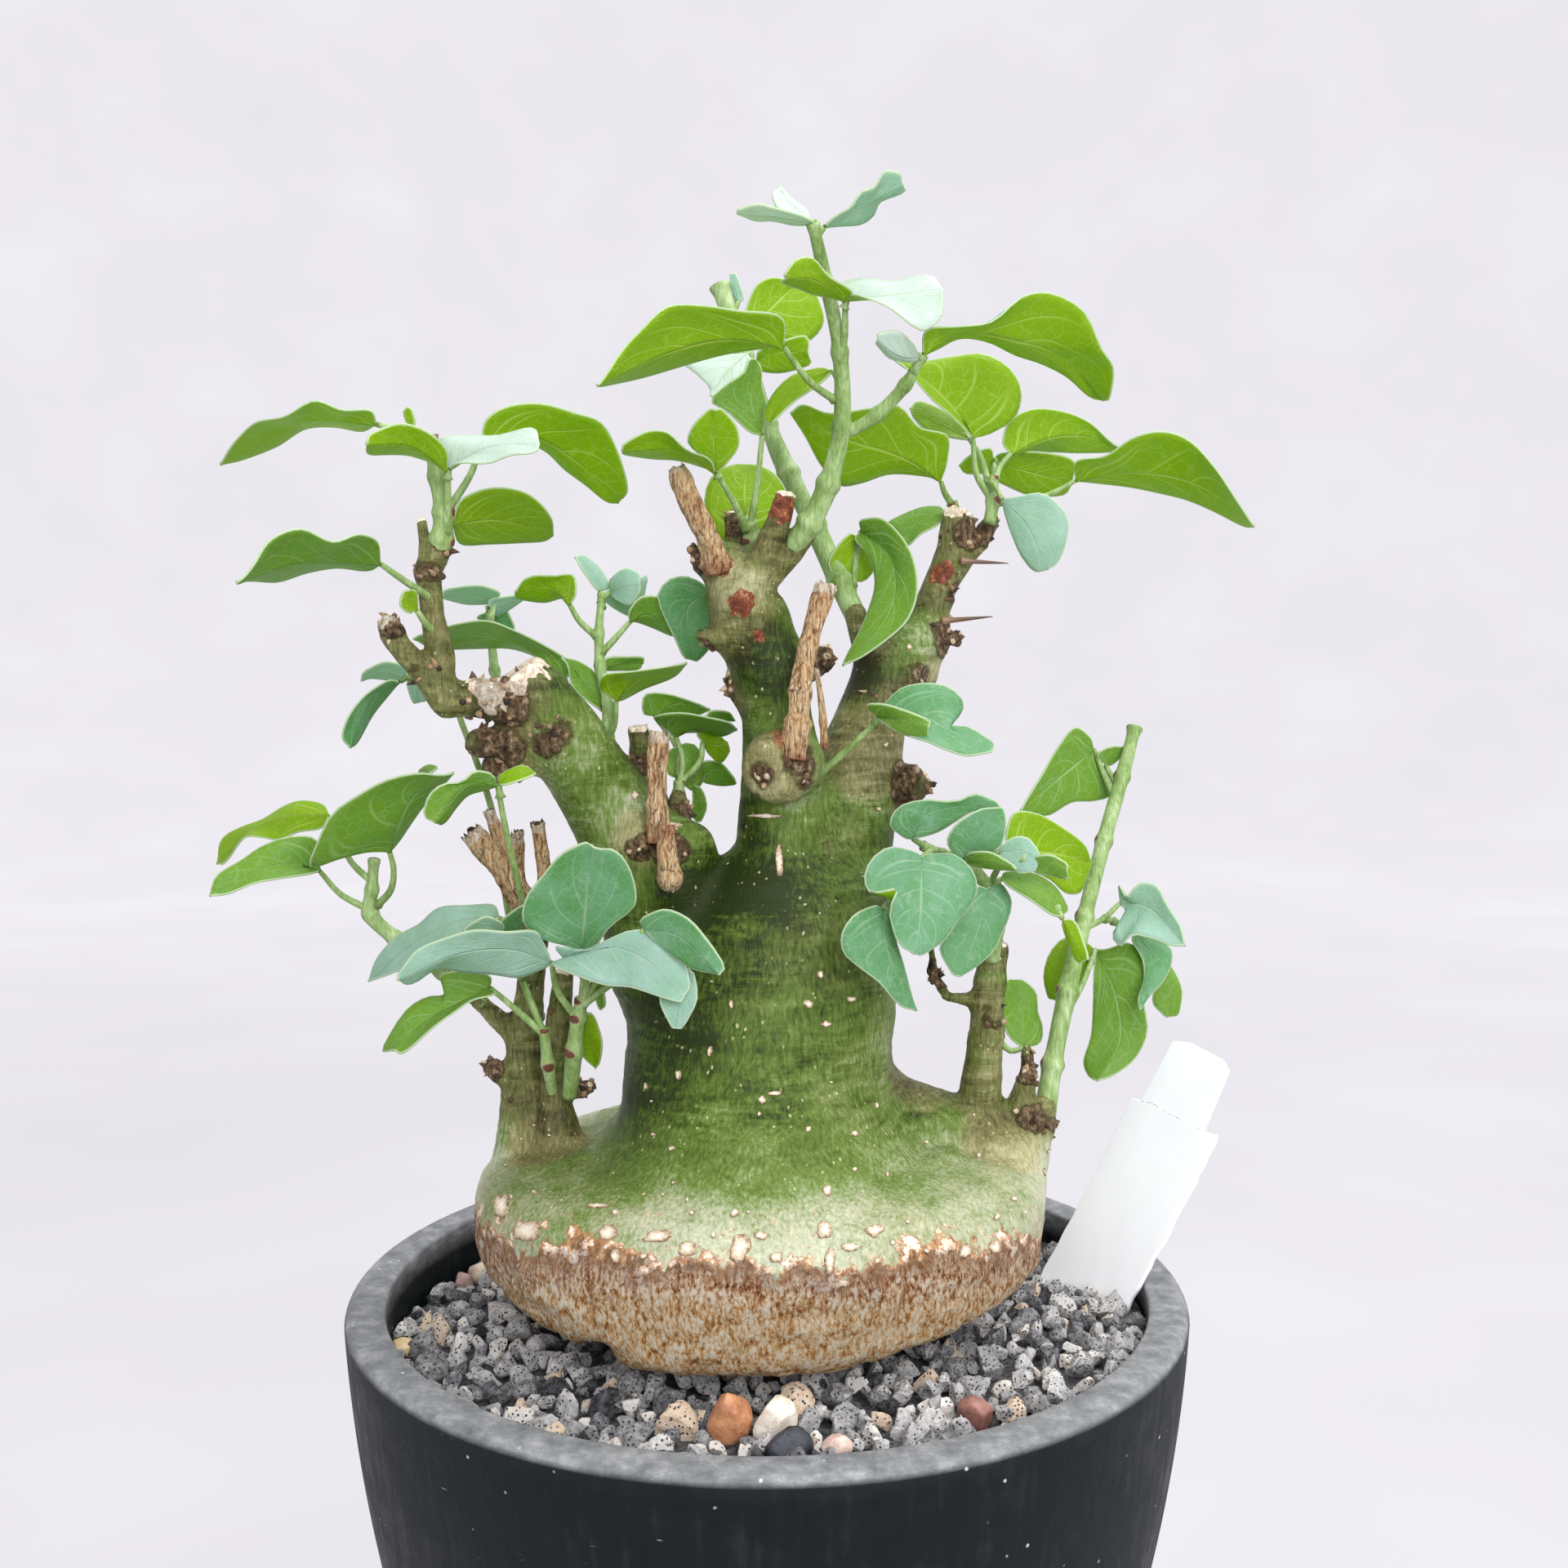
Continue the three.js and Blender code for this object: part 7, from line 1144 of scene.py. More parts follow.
def pot_finish(pot):
    """Dusty near-black plastic with faint upright streaks, white nicks and a pale dusty lip."""
    paint = Paint("pot_plastic")
    rise = paint.value("lip")
    dust = paint.cloud(10, detail=6, rough=0.65)
    streak = paint.cloud(2.4, stretch=(1, 1, 16), detail=4)
    film = paint.blend((dust, 0.6, 0.0), (streak, 0.4, 0.0))
    wall = paint.ramp(film, (0.34, (5, 11, 13)), (0.52, (11, 18, 20)), (0.68, (32, 38, 40)),
                      (0.84, (70, 76, 78)))
    wiped = paint.cloud(5, stretch=(1, 1, 0.5), detail=6, rough=0.7)
    lip = paint.ramp(wiped, (0.3, (84, 87, 90)), (0.5, (118, 120, 122)), (0.7, (156, 157, 159)))
    color = paint.tinted(paint.mix(rise, wall, lip), pot.color, POT_COLOR)
    speck = paint.fit(paint.cells(4.2), 0.05, 0.11, 1.0, 0.0)
    scratch = paint.fit(paint.cloud(1.2, stretch=(9, 9, 1), detail=2, shift=4.0), 0.7, 0.74)
    few = paint.fit(paint.cloud(7, detail=2, shift=2.0), 0.52, 0.6)
    nick = paint.math("MULTIPLY", paint.math("MAXIMUM", speck, scratch), few)
    color = paint.mix(paint.math("MULTIPLY", nick, 0.7), color, (206, 208, 210))
    grain = paint.cloud(0.9, detail=5)
    relief = paint.bump(paint.blend((grain, 1.0, 0.0), (nick, -1.2, 0.0)), 0.22, 0.6)
    return paint.finish(color, paint.fit(film, 0.3, 0.75, 0.4, 0.75), relief, Specular_IOR_Level=0.16)


def gravel_finish(gravel):
    """Grey porous lava chips, each with its own tone."""
    paint = Paint("lava_gravel")
    tone = paint.value("tone")
    pore = paint.fit(paint.cells(0.85), 0.1, 0.36)
    grain = paint.cloud(1.5, detail=6, rough=0.75)
    shade = paint.blend((tone, 1.0, 0.0), (grain, 1.1, 0.5))
    chip = paint.ramp(shade, (0.0, (34, 34, 38)), (0.25, (106, 106, 110)), (0.5, (176, 175, 175)),
                      (0.78, (228, 225, 221)), (1.0, (222, 198, 172)))
    chip = paint.tinted(chip, gravel.color, GRAVEL_COLOR)
    color = paint.mix(pore, (56, 56, 60), chip)
    relief = paint.bump(paint.blend((pore, 1.0, 0.0), (grain, 1.8, 0.0)), 0.6, 1.0)
    return paint.finish(color, paint.fit(tone, 0.0, 0.25, 0.3, 0.85), relief, Specular_IOR_Level=0.4)


def pebble_finish(name, low, high):
    """A worn pebble with a mottled skin."""
    paint = Paint(name)
    mottle = paint.cloud(2.8, detail=6, rough=0.7)
    color = paint.ramp(mottle, (0.34, low), (0.62, high))
    pit = paint.fit(paint.cells(1.1), 0.05, 0.25)
    relief = paint.bump(paint.blend((mottle, 1.0, 0.0), (pit, 0.3, 0.0)), 0.5, 0.7)
    return paint.finish(color, paint.fit(mottle, 0.3, 0.7, 0.4, 0.62), relief)


def green_skin(paint, ragged, growth):
    """Mottled green skin with fine upright strokes, level wrinkles, brown-tinged parts and painted shade."""
    strokes = paint.cloud(0.75, stretch=(1, 1, 5), detail=5, rough=0.7)
    wrinkles = paint.cloud(1.7, stretch=(7, 7, 1), detail=5, rough=0.65)
    mottle = paint.cloud(8, stretch=(1, 1, 0.7), detail=5, rough=0.62, shift=1.0)
    upper = paint.fit(paint.value("above_cork"), 14, 34, 0.25, 1.0)
    patches = paint.fit(paint.cloud(9, detail=2, shift=8.0), 0.44, 0.6, 0.25, 1.0)
    wrinkled = paint.math("MULTIPLY", paint.math("SUBTRACT", wrinkles, 0.5), upper)
    wrinkled = paint.math("MULTIPLY", wrinkled, patches)
    # The shade value brings in the painted shade of the dark patches and of skin that faces up.
    value = paint.blend((paint.value("shade"), 1.0, 0.0), (strokes, 1.0, 0.5), (wrinkled, 1.1, 0.0),
                        (mottle, 0.55, 0.5))
    green = paint.ramp(value, (0.02, (34, 46, 10)), (0.22, (68, 88, 24)), (0.42, (96, 118, 52)),
                       (0.56, (132, 144, 102)), (0.7, (162, 168, 142)), (0.92, (190, 195, 172)))
    green = paint.tinted(green, growth.skin_color, SKIN_COLOR)
    browned = paint.ramp(value, (0.1, (56, 46, 28)), (0.4, (114, 106, 68)), (0.65, (156, 150, 108)),
                         (0.9, (192, 184, 150)))
    brown = paint.blend((paint.value("brown"), 1.0, 0.0), (mottle, 0.9, 0.5))
    green = paint.mix(paint.fit(brown, 0.15, 0.8, 0.0, 0.85), green, browned)
    dots = paint.fit(paint.cells(1.9, stretch=(1, 1, 1.3)), 0.1, 0.2, 1.0, 0.0)
    dots = paint.math("MULTIPLY", dots, paint.fit(paint.cloud(6, detail=2, shift=6.0), 0.48, 0.6))
    green = paint.mix(paint.math("MULTIPLY", dots, 0.6), green, (206, 204, 158))
    fleck = paint.cloud(1.4, detail=5, rough=0.7)
    wound = paint.ramp(fleck, (0.34, (60, 30, 20)), (0.5, (106, 52, 32)), (0.6, (140, 84, 56)),
                       (0.7, (200, 162, 128)))
    wounded = paint.blend((paint.value("wound"), 1.0, 0.0), (ragged, 1.8, 0.5), (fleck, 1.2, 0.5))
    height = paint.blend((strokes, 0.4, 0.0), (wrinkled, 1.2, 0.0), (dots, 0.25, 0.0))
    return paint.mix(paint.fit(wounded, 0.42, 0.5), green, wound), height


def tan_cork(paint, above, growth):
    """Tan cork of fine upright fibres with small dark cracks, more golden at its foot."""
    fibre = paint.cloud(0.75, stretch=(1, 1, 2.5), detail=6, rough=0.8)
    tuft = paint.cloud(3.4, detail=5, rough=0.65, shift=2.0)
    flake = paint.cells(0.8, stretch=(1, 1, 1.8))
    value = paint.blend((fibre, 3.6, 0.5), (tuft, 1.3, 0.5), (flake, -0.5, 0.4), (0.65, 1.0, 0.0))
    cork = paint.ramp(value, (0.08, (86, 40, 18)), (0.3, (150, 88, 48)), (0.5, (204, 160, 118)),
                      (0.7, (236, 206, 170)), (0.92, (252, 240, 220)))
    golden = paint.ramp(value, (0.04, (140, 78, 28)), (0.28, (206, 144, 76)), (0.5, (238, 194, 134)),
                        (0.7, (251, 226, 182)), (0.92, (255, 246, 226)))
    low = paint.blend((above, 1.0, 0.0), (tuft, 8.0, 0.5))
    cork = paint.mix(paint.fit(low, -13.0, -4.0, 0.85, 0.0), cork, golden)
    cork = paint.tinted(cork, growth.cork_color, CORK_COLOR)
    split = paint.fit(paint.cells(1.9, stretch=(1, 1, 2.1), feature="DISTANCE_TO_EDGE"), 0.0, 0.1, 1.0, 0.0)
    split = paint.math("MULTIPLY", split, paint.fit(tuft, 0.4, 0.56, 0.9, 0.0))
    cork = paint.mix(paint.math("MULTIPLY", split, 0.4), cork, (120, 70, 36))
    return cork, paint.blend((value, 1.6, 0.0), (split, -0.7, 0.0))


def caudex_finish(growth):
    """Green skin above, a ragged border of red-brown and cream scales, and tan cork below."""
    paint = Paint("caudex_bark")
    above = paint.value("above_cork")
    paint.warp(5, 0.9)
    ragged = paint.cloud(4.5, stretch=(1, 1, 1.2), detail=7, rough=0.72)
    lobes = paint.cloud(13, detail=4, rough=0.6, shift=7.0)
    border = paint.blend((above, 1.0, 0.0), (ragged, 15.0, 0.5), (lobes, 16.0, 0.5))
    skin, skin_height = green_skin(paint, ragged, growth)
    cork, cork_height = tan_cork(paint, above, growth)
    scale = paint.cloud(1.3, stretch=(1, 1, 1.6), detail=6, rough=0.7, shift=5.0)
    red = paint.ramp(scale, (0.32, (84, 44, 26)), (0.46, (144, 86, 54)), (0.56, (186, 130, 92)),
                     (0.66, (226, 198, 168)))
    cream = paint.ramp(scale, (0.34, (150, 112, 88)), (0.46, (212, 186, 162)), (0.62, (242, 230, 214)))
    scaly = paint.cloud(3.6, stretch=(1, 1, 0.8), detail=5, rough=0.6, shift=9.0)
    scaly = paint.blend((scaly, 1.0, 0.0), (paint.math("ABSOLUTE", border), -0.013, 0.0))
    reddish = paint.blend((border, -0.12, 3.0), (scaly, 1.6, 0.5), (lobes, -1.6, 0.5))
    skin = paint.mix(paint.fit(border, -3.5, 0.0, 1.0, 0.0), skin, cork)
    low_red = paint.mix(paint.fit(border, -7.0, 1.0, 1.0, 0.0), red, cork)
    skin = paint.mix(paint.fit(reddish, 0.0, 0.16, 0.0, 0.75), skin, low_red)
    skin = paint.mix(paint.fit(scaly, 0.5, 0.53, 0.0, 0.8), skin, red)
    skin = paint.mix(paint.fit(scaly, 0.525, 0.56), skin, cream)
    knobbly = paint.blend((paint.value("knob"), 1.0, 0.0), (ragged, 1.3, 0.5))
    rough_bark = paint.ramp(scale, (0.34, (30, 23, 18)), (0.47, (84, 66, 46)), (0.58, (136, 114, 86)),
                            (0.68, (198, 180, 154)))
    skin = paint.mix(paint.fit(knobbly, 0.2, 0.5, 0.0, 0.6), skin, (92, 86, 52))
    skin = paint.mix(paint.fit(knobbly, 0.48, 0.6), skin, rough_bark)
    cut_face = paint.ramp(scale, (0.36, (150, 122, 92)), (0.6, (236, 226, 208)))
    skin = paint.mix(paint.fit(paint.value("cut"), 0.45, 0.6), skin, cut_face)
    height = paint.mix(paint.fit(border, -2.0, 1.0, 1.0, 0.0), skin_height, cork_height)
    height = paint.mix(paint.fit(knobbly, 0.4, 0.6), height, paint.math("MULTIPLY", scale, 3.0))
    return paint.finish(skin, paint.fit(border, -2.0, 3.0, 0.85, 0.5), paint.bump(height, 0.75, 0.9),
                        Specular_IOR_Level=0.2)


def scab_finish():
    """Corky flakes and spots: cream and tan, with a thin brown edge."""
    paint = Paint("flake_cork")
    speck = paint.cloud(0.7, detail=5, rough=0.75)
    worn = paint.blend((paint.value("rim"), 0.75, 0.0), (speck, 1.6, 0.5))
    color = paint.ramp(worn, (0.0, (236, 229, 212)), (0.32, (216, 203, 182)), (0.62, (176, 154, 126)),
                       (0.85, (118, 92, 68)), (1.0, (84, 62, 44)))
    return paint.finish(color, 0.85, paint.bump(speck, 0.4, 0.9))


def bud_scale_finish():
    """Dry brown bud scales with pale edges."""
    paint = Paint("bud_scale")
    speck = paint.cloud(0.9, detail=5, rough=0.7)
    worn = paint.blend((paint.value("tone"), 1.0, 0.0), (speck, 0.8, 0.5))
    color = paint.ramp(worn, (0.1, (36, 27, 22)), (0.4, (88, 64, 46)), (0.7, (146, 118, 88)),
                       (0.95, (208, 192, 166)))
    return paint.finish(color, 0.85, paint.bump(speck, 0.3, 0.8))


def dry_wood_finish():
    """Dead tan bark with upright fibres and dark cracks, a red-brown foot and a broken pale top."""
    paint = Paint("dry_stub_bark")
    paint.warp(3, 0.5)
    fibre = paint.cloud(0.6, stretch=(1, 1, 7), detail=6, rough=0.7)
    patch = paint.cloud(4, detail=5, rough=0.65)
    value = paint.blend((fibre, 1.6, 0.5), (patch, 0.7, 0.5), (0.52, 1.0, 0.0))
    bark = paint.ramp(value, (0.2, (66, 40, 24)), (0.36, (140, 98, 62)), (0.5, (200, 162, 116)),
                      (0.64, (226, 196, 152)), (0.8, (242, 224, 194)))
    split = paint.fit(paint.cells(1.2, stretch=(1, 1, 4.5), feature="DISTANCE_TO_EDGE"), 0.0, 0.1, 1.0, 0.0)
    split = paint.math("MULTIPLY", split, paint.fit(patch, 0.48, 0.58))
    bark = paint.mix(paint.math("MULTIPLY", split, 0.75), bark, (70, 42, 28))
    reddened = paint.blend((paint.value("along"), -1.6, 0.0), (patch, 1.6, 0.5), (0.32, 1.0, 0.0))
    bark = paint.mix(paint.fit(reddened, 0.0, 0.35, 0.0, 0.75), bark, (138, 70, 42))
    pale = paint.ramp(fibre, (0.34, (132, 100, 74)), (0.5, (214, 192, 164)), (0.62, (242, 232, 214)))
    color = paint.mix(paint.fit(paint.value("cut"), 0.3, 0.7), bark, pale)
    height = paint.blend((value, 1.4, 0.0), (split, -0.8, 0.0))
    return paint.finish(color, 0.85, paint.bump(height, 0.7, 1.0))


def spine_finish():
    """Dark polished spine with a paler root."""
    paint = Paint("spine_horn")
    grain = paint.cloud(0.7, stretch=(4, 1, 1), detail=4)
    value = paint.blend((paint.value("along"), 1.0, 0.0), (grain, 0.4, 0.5))
    color = paint.ramp(value, (0.0, (136, 108, 82)), (0.35, (104, 74, 58)), (0.9, (66, 44, 38)))
    return paint.finish(color, 0.42, paint.bump(grain, 0.15, 0.7))


def leaf_veins(paint):
    """A blade's rib, a pair of main veins from its base, arched side veins and a fine net."""
    layout = paint.add("ShaderNodeSeparateXYZ", {0: paint.add("ShaderNodeTexCoord").outputs["UV"]})
    across = paint.math("ABSOLUTE", layout.outputs[0])
    along = layout.outputs[1]
    narrowing = paint.fit(along, 0.5, 1.0, 1.0, 0.35)
    rib = paint.math("MULTIPLY", paint.fit(across, 0.0, 0.06, 1.0, 0.0), narrowing)
    bow = paint.math("POWER", paint.math("MULTIPLY", along, 1.9), 0.62)
    off_bow = paint.math("ABSOLUTE", paint.math("SUBTRACT", across, bow))
    fading = paint.fit(across, 0.6, 0.95, 0.9, 0.0)
    main = paint.math("MULTIPLY", paint.fit(off_bow, 0.0, 0.07, 1.0, 0.0), fading)
    step = paint.math("MULTIPLY_ADD", along, 4.6, paint.math("MULTIPLY", across, -1.7))
    off_side = paint.math("ABSOLUTE", paint.math("SUBTRACT", paint.math("FRACT", step), 0.5))
    fading = paint.fit(across, 0.5, 0.95, 0.75, 0.0)
    side = paint.math("MULTIPLY", paint.fit(off_side, 0.0, 0.07, 1.0, 0.0), fading)
    net = paint.cells(2.4, feature="DISTANCE_TO_EDGE")
    net = paint.fit(net, 0.0, 0.06, 0.42, 0.0)
    strongest = paint.math("MAXIMUM", paint.math("MAXIMUM", rib, main), paint.math("MAXIMUM", side, net))
    return strongest, rib


def blade_finish(growth):
    """A waxy leaf: blue-green above, yellow-green with light through it below, with pale veins."""
    paint = Paint("leaf_blade")
    paint.warp(6, 0.6)
    tone = paint.value("tone")
    cloudy = paint.cloud(6, detail=5, rough=0.6)
    wax = paint.cloud(2.2, detail=5, rough=0.7, shift=3.0)
    shade = paint.blend((tone, 1.0, 0.0), (cloudy, 0.24, 0.5), (wax, 0.08, 0.5))
    # The palest stops here and in the veins' ramp below are a painted white highlight of the sky.
    color = paint.ramp(shade, (0.0, (174, 208, 197)), (0.14, (130, 180, 148)), (0.26, (92, 154, 88)),
                       (0.44, (114, 156, 54)), (0.6, (124, 160, 14)), (0.76, (136, 174, 0)),
                       (0.88, (144, 182, 50)), (0.98, (208, 226, 218)))
    color = paint.tinted(color, growth.leaf_color, LEAF_COLOR)
    vein, rib = leaf_veins(paint)
    lighter = paint.ramp(shade, (0.0, (196, 220, 206)), (0.3, (160, 198, 158)), (0.6, (178, 208, 100)),
                         (0.85, (208, 228, 110)), (1.0, (214, 226, 206)))
    color = paint.mix(paint.math("MULTIPLY", vein, 0.7), color, lighter)
    bloom = paint.math("MULTIPLY", paint.fit(wax, 0.52, 0.7, 0.0, 0.28), paint.fit(tone, 0.2, 0.5, 1.0, 0.0))
    color = paint.mix(bloom, color, (206, 224, 212))
    edge = paint.fit(paint.value("margin"), 0.14, 0.42, 0.7, 0.0)
    color = paint.mix(edge, color, (224, 235, 206))
    relief = paint.bump(paint.blend((wax, 0.35, 0.0), (vein, -0.5, 0.0), (rib, -0.5, 0.0)), 0.3, 0.7)
    paint.finish(color, paint.fit(shade, 0.0, 0.5, 0.6, 0.45), relief, Specular_IOR_Level=0.25,
                 Coat_Weight=0.06, Coat_Roughness=0.45)
    glow = paint.mix(paint.fit(tone, 0.2, 0.7, 0.35, 0.75), color, (160, 206, 8))
    paint.lit_through(glow, growth.light_through, relief)
    return paint.material


def stem_finish():
    """Pale waxy young stem with small brown scars."""
    paint = Paint("young_stem")
    wax = paint.cloud(4, stretch=(1, 1, 3), detail=4)
    fine = paint.cloud(0.6, stretch=(1, 1, 6), detail=4, rough=0.65)
    value = paint.blend((wax, 0.8, 0.5), (fine, 0.7, 0.5), (0.5, 1.0, 0.0))
    color = paint.ramp(value, (0.28, (88, 116, 46)), (0.46, (120, 148, 82)), (0.6, (148, 172, 114)),
                       (0.76, (182, 200, 158)))
    spotted = paint.blend((paint.value("scar"), 1.0, 0.0), (fine, 0.6, 0.5))
    color = paint.mix(paint.fit(spotted, 0.34, 0.5, 0.0, 0.6), color, (150, 140, 96))
    color = paint.mix(paint.fit(spotted, 0.52, 0.68), color, (92, 52, 36))
    return paint.finish(color, 0.52, paint.bump(fine, 0.25, 0.6), Specular_IOR_Level=0.4)


def label_finish(label):
    """Clean white sheet plastic with a faint grain and scuffs."""
    paint = Paint("label_plastic")
    grain = paint.cloud(1.2, detail=4)
    scuff = paint.cloud(14, stretch=(1, 1, 2), detail=4)
    color = paint.ramp(scuff, (0.3, (234, 236, 240)), (0.7, (242, 244, 248)))
    color = paint.tinted(color, label.label_color, LABEL_COLOR)
    soiled = paint.blend((paint.value("buried"), 0.6, 0.0), (scuff, 0.6, 0.5))
    color = paint.mix(paint.fit(soiled, 0.5, 0.75, 0.0, 0.3), color, (150, 144, 136))
    return paint.finish(color, paint.fit(grain, 0.3, 0.7, 0.3, 0.42), paint.bump(grain, 0.06, 0.5))


def studio_finish(studio):
    """Pale floor and backdrop with faint clouds, evenly lit by a soft glow of their own."""
    paint = Paint("studio_plaster")
    clouds = paint.cloud(250, detail=2, rough=0.6)
    color = paint.ramp(clouds, (0.3, (211, 210, 214)), (0.5, (214, 212, 217)), (0.7, (217, 216, 220)))
    color = paint.tinted(color, studio.backdrop_color, BACKDROP_COLOR)
    away = paint.add("ShaderNodeVectorMath", {0: paint.place}, operation="LENGTH").outputs["Value"]
    glow = paint.mix(paint.fit(away, *GLOW_RISE, GLOW_LACK, 0.0), color, (0, 0, 0))
    paint.tree.links.new(glow, paint.surface.inputs["Emission Color"])
    # The glow is too broad and even to be sampled as a lamp, which would only slow the picture.
    paint.material.cycles.emission_sampling = "NONE"
    color = paint.mix(BACKDROP_SHADE, color, (0, 0, 0))
    return paint.finish(color, 0.9, Emission_Strength=BACKDROP_GLOW)


# Settings

def length(name, description, default, low, high):
    """A length that the user can change, given here in mm."""
    return bpy.props.FloatProperty(name=name, description=description, default=default * MM, min=low * MM,
                                   max=high * MM, precision=5, subtype="DISTANCE", unit="LENGTH")


def number(name, description, default, low, high):
    """A plain number that the user can change."""
    return bpy.props.FloatProperty(name=name, description=description, default=default, min=low,
                                   max=high, precision=4)


def color_of(name, description, color):
    """A colour that the user can change, given here in display values."""
    return bpy.props.FloatVectorProperty(name=name, description=description, default=linear(color)[:3],
                                         size=3, min=0, max=1, subtype="COLOR")


def in_mm(group):
    """A group's settings, with its lengths in mm."""
    found = SimpleNamespace()
    for key in group.__annotations__:
        value = getattr(group, key)
        is_length = group.bl_rna.properties[key].subtype == "DISTANCE"
        setattr(found, key, value / MM if is_length else value)
    return found


class AdeniaPot(bpy.types.PropertyGroup):
    """Sizes and colour of the pot"""
    rim_radius: length("Rim radius", "Outside radius of the rim", 90, 60, 140)
    rim_bevel: length("Rim bevel", "Size of the rim's rounded outer edge", 1.8, 0.5, 4)
    rim_inner_radius: length("Rim inner radius", "Radius of the rim's opening", 81.7, 50, 130)
    height: length("Height", "Height of the pot", 130, 60, 200)
    wall: length("Wall", "Thickness of the wall", 6.5, 2, 12)
    floor_thickness: length("Floor", "Thickness of the floor", 6, 2, 12)
    wall_slope: number("Wall slope", "Inward lean of the wall at the rim", 0.0582, 0, 0.5)
    wall_curve: bpy.props.FloatProperty(name="Wall curve", description="Growth of the wall's lean per mm",
                                        default=0.001606, min=0, max=0.01, precision=6)
    drain_radius: length("Drain radius", "Radius of a drain hole", 4, 1, 10)
    drain_circle: length("Drain circle", "Distance of the drain holes from the axis", 26, 10, 50)
    segments: bpy.props.IntProperty(name="Segments", description="Faces around the pot", default=144,
                                    min=24, max=256)
    color: color_of("Pot colour", "Colour of the pot's wall", POT_COLOR)


class AdeniaGravel(bpy.types.PropertyGroup):
    """Size, lie and colour of the lava chips"""
    level: length("Level", "Height of the bed on the pot's axis", 121.5, 60, 190)
    slope_x: number("Slope to the right", "Rise of the bed to the right", 0.04, -0.3, 0.3)
    slope_y: number("Slope to the back", "Rise of the bed to the back", -0.03, -0.3, 0.3)
    chip_radius: length("Chip radius", "Mean radius of a lava chip", 2.95, 1, 8)
    seed: bpy.props.IntProperty(name="Seed", description="Start of the random spread", default=11, min=0)
    color: color_of("Stone colour", "Colour of the lava chips", GRAVEL_COLOR)


class AdeniaGrowth(bpy.types.PropertyGroup):
    """Sizes and colours of the bark and the leaves"""
    bark_cell: length("Bark cell", "Size of the bark's mesh cells", 0.95, 0.5, 4)
    blade_half: length("Blade half thickness", "Half of a leaf's thickness on its rib", 0.3, 0.1, 1)
    light_through: bpy.props.FloatProperty(
        name="Light through", description="Share of light that passes a leaf",
        default=0.4, min=0, max=1, subtype="FACTOR")
    skin_color: color_of("Skin colour", "Colour of the caudex's green skin", SKIN_COLOR)
    cork_color: color_of("Cork colour", "Colour of the corky foot", CORK_COLOR)
    leaf_color: color_of("Leaf colour", "Colour of the leaves", LEAF_COLOR)


class AdeniaLabel(bpy.types.PropertyGroup):
    """Size and colour of the plant label"""
    half_thickness: length("Half thickness", "Half of the label's thickness", 0.4, 0.2, 1)
    label_color: color_of("Label colour", "Colour of the label", LABEL_COLOR)


class AdeniaStudio(bpy.types.PropertyGroup):
    """Strength of the studio's lights and its colour"""
    sky: number("Sky", "Strength of the even light from all round", 0.76, 0, 5)
    key: number("Key", "Power of the overhead light in watts", 11.6, 0, 100)
    fill: number("Fill", "Power of the front light in watts", 12.0, 0, 100)
    backdrop_color: color_of("Backdrop colour", "Colour of the floor and backdrop", BACKDROP_COLOR)


class PieceOperator(bpy.types.Operator):
    """What the piece operators share"""
    bl_options = {"REGISTER", "UNDO"}


# Pot

def pot_wall_radius(z, pot):
    """Radius of the outer wall at a height."""
    drop = pot.height - pot.rim_bevel - z
    return pot.rim_radius - pot.wall_slope * drop - pot.wall_curve * drop * drop


def pot_profile(pot):
    """The turned outline of the pot from the axis under its floor, out, up, over and back."""
    bevel, top, soft = pot.rim_bevel, pot.height, 0.8
    foot = pot_wall_radius(2, pot)
    flat = pot.rim_radius - bevel
    inner_edge = pot.rim_inner_radius + soft
    under = [[0, 0], [foot - 12, 0], [foot - 2.5, 0], [foot - 0.8, 0.6]]
    outer = [[pot_wall_radius(z, pot), z] for z in np.linspace(2, top - bevel, 40)]
    round_out = [[flat + 0.98 * bevel * math.cos(a), top - bevel + bevel * math.sin(a)]
                 for a in np.linspace(0.3, math.pi / 2, 5)]
    round_in = [[inner_edge - soft * math.sin(a), top - soft + soft * math.cos(a)]
                for a in np.linspace(0, math.pi / 2, 4)]
    inner = [[min(pot_wall_radius(z, pot) - pot.wall, pot.rim_inner_radius), z]
             for z in np.linspace(top - 6, pot.floor_thickness + 1, 24)]
    inside = [[inner[-1][0] - 1, pot.floor_thickness], [0, pot.floor_thickness]]
    return under + outer + round_out + [[0.5 * (flat + inner_edge), top]] + round_in + inner + inside


def turned(profile, segments):
    """Points and faces of an outline turned about the upright axis, closed on the axis."""
    profile = np.array(profile, float)
    rings = len(profile) - 2
    points = level_rings(profile[1:-1], segments).reshape(-1, 3)
    faces = ring_faces(rings, segments, closed_ends=False)
    low, high, last = len(points), len(points) + 1, (rings - 1) * segments
    for k in range(segments):
        following = (k + 1) % segments
        faces.append([low, following, k])
        faces.append([high, last + k, last + following])
    ends = [[0, 0, profile[0, 1]], [0, 0, profile[-1, 1]]]
    return np.vstack([points, ends]), faces


def drilled(piece, pot):
    """Drills the drain holes through the pot's floor."""
    holes = Heap()
    for n in range(DRAIN_HOLES):
        turn = 2 * math.pi * (n + 0.25) / DRAIN_HOLES
        x, y = pot.drain_circle * math.cos(turn), pot.drain_circle * math.sin(turn)
        path = np.array([[x, y, z] for z in (-2, 2, pot.floor_thickness - 2, pot.floor_thickness + 2)])
        points, faces = tube(path, [pot.drain_radius] * len(path), DRAIN_HOLE_SIDES)
        holes.add(points, faces)
    drill = holes.build("drain_drill", [])
    cut = piece.modifiers.new("drain_holes", "BOOLEAN")
    cut.operation = "DIFFERENCE"
    cut.object = drill
    bpy.context.view_layer.update()
    shaped = bpy.data.meshes.new_from_object(piece.evaluated_get(bpy.context.evaluated_depsgraph_get()))
    piece.modifiers.clear()
    piece.data = shaped
    bpy.data.objects.remove(drill)


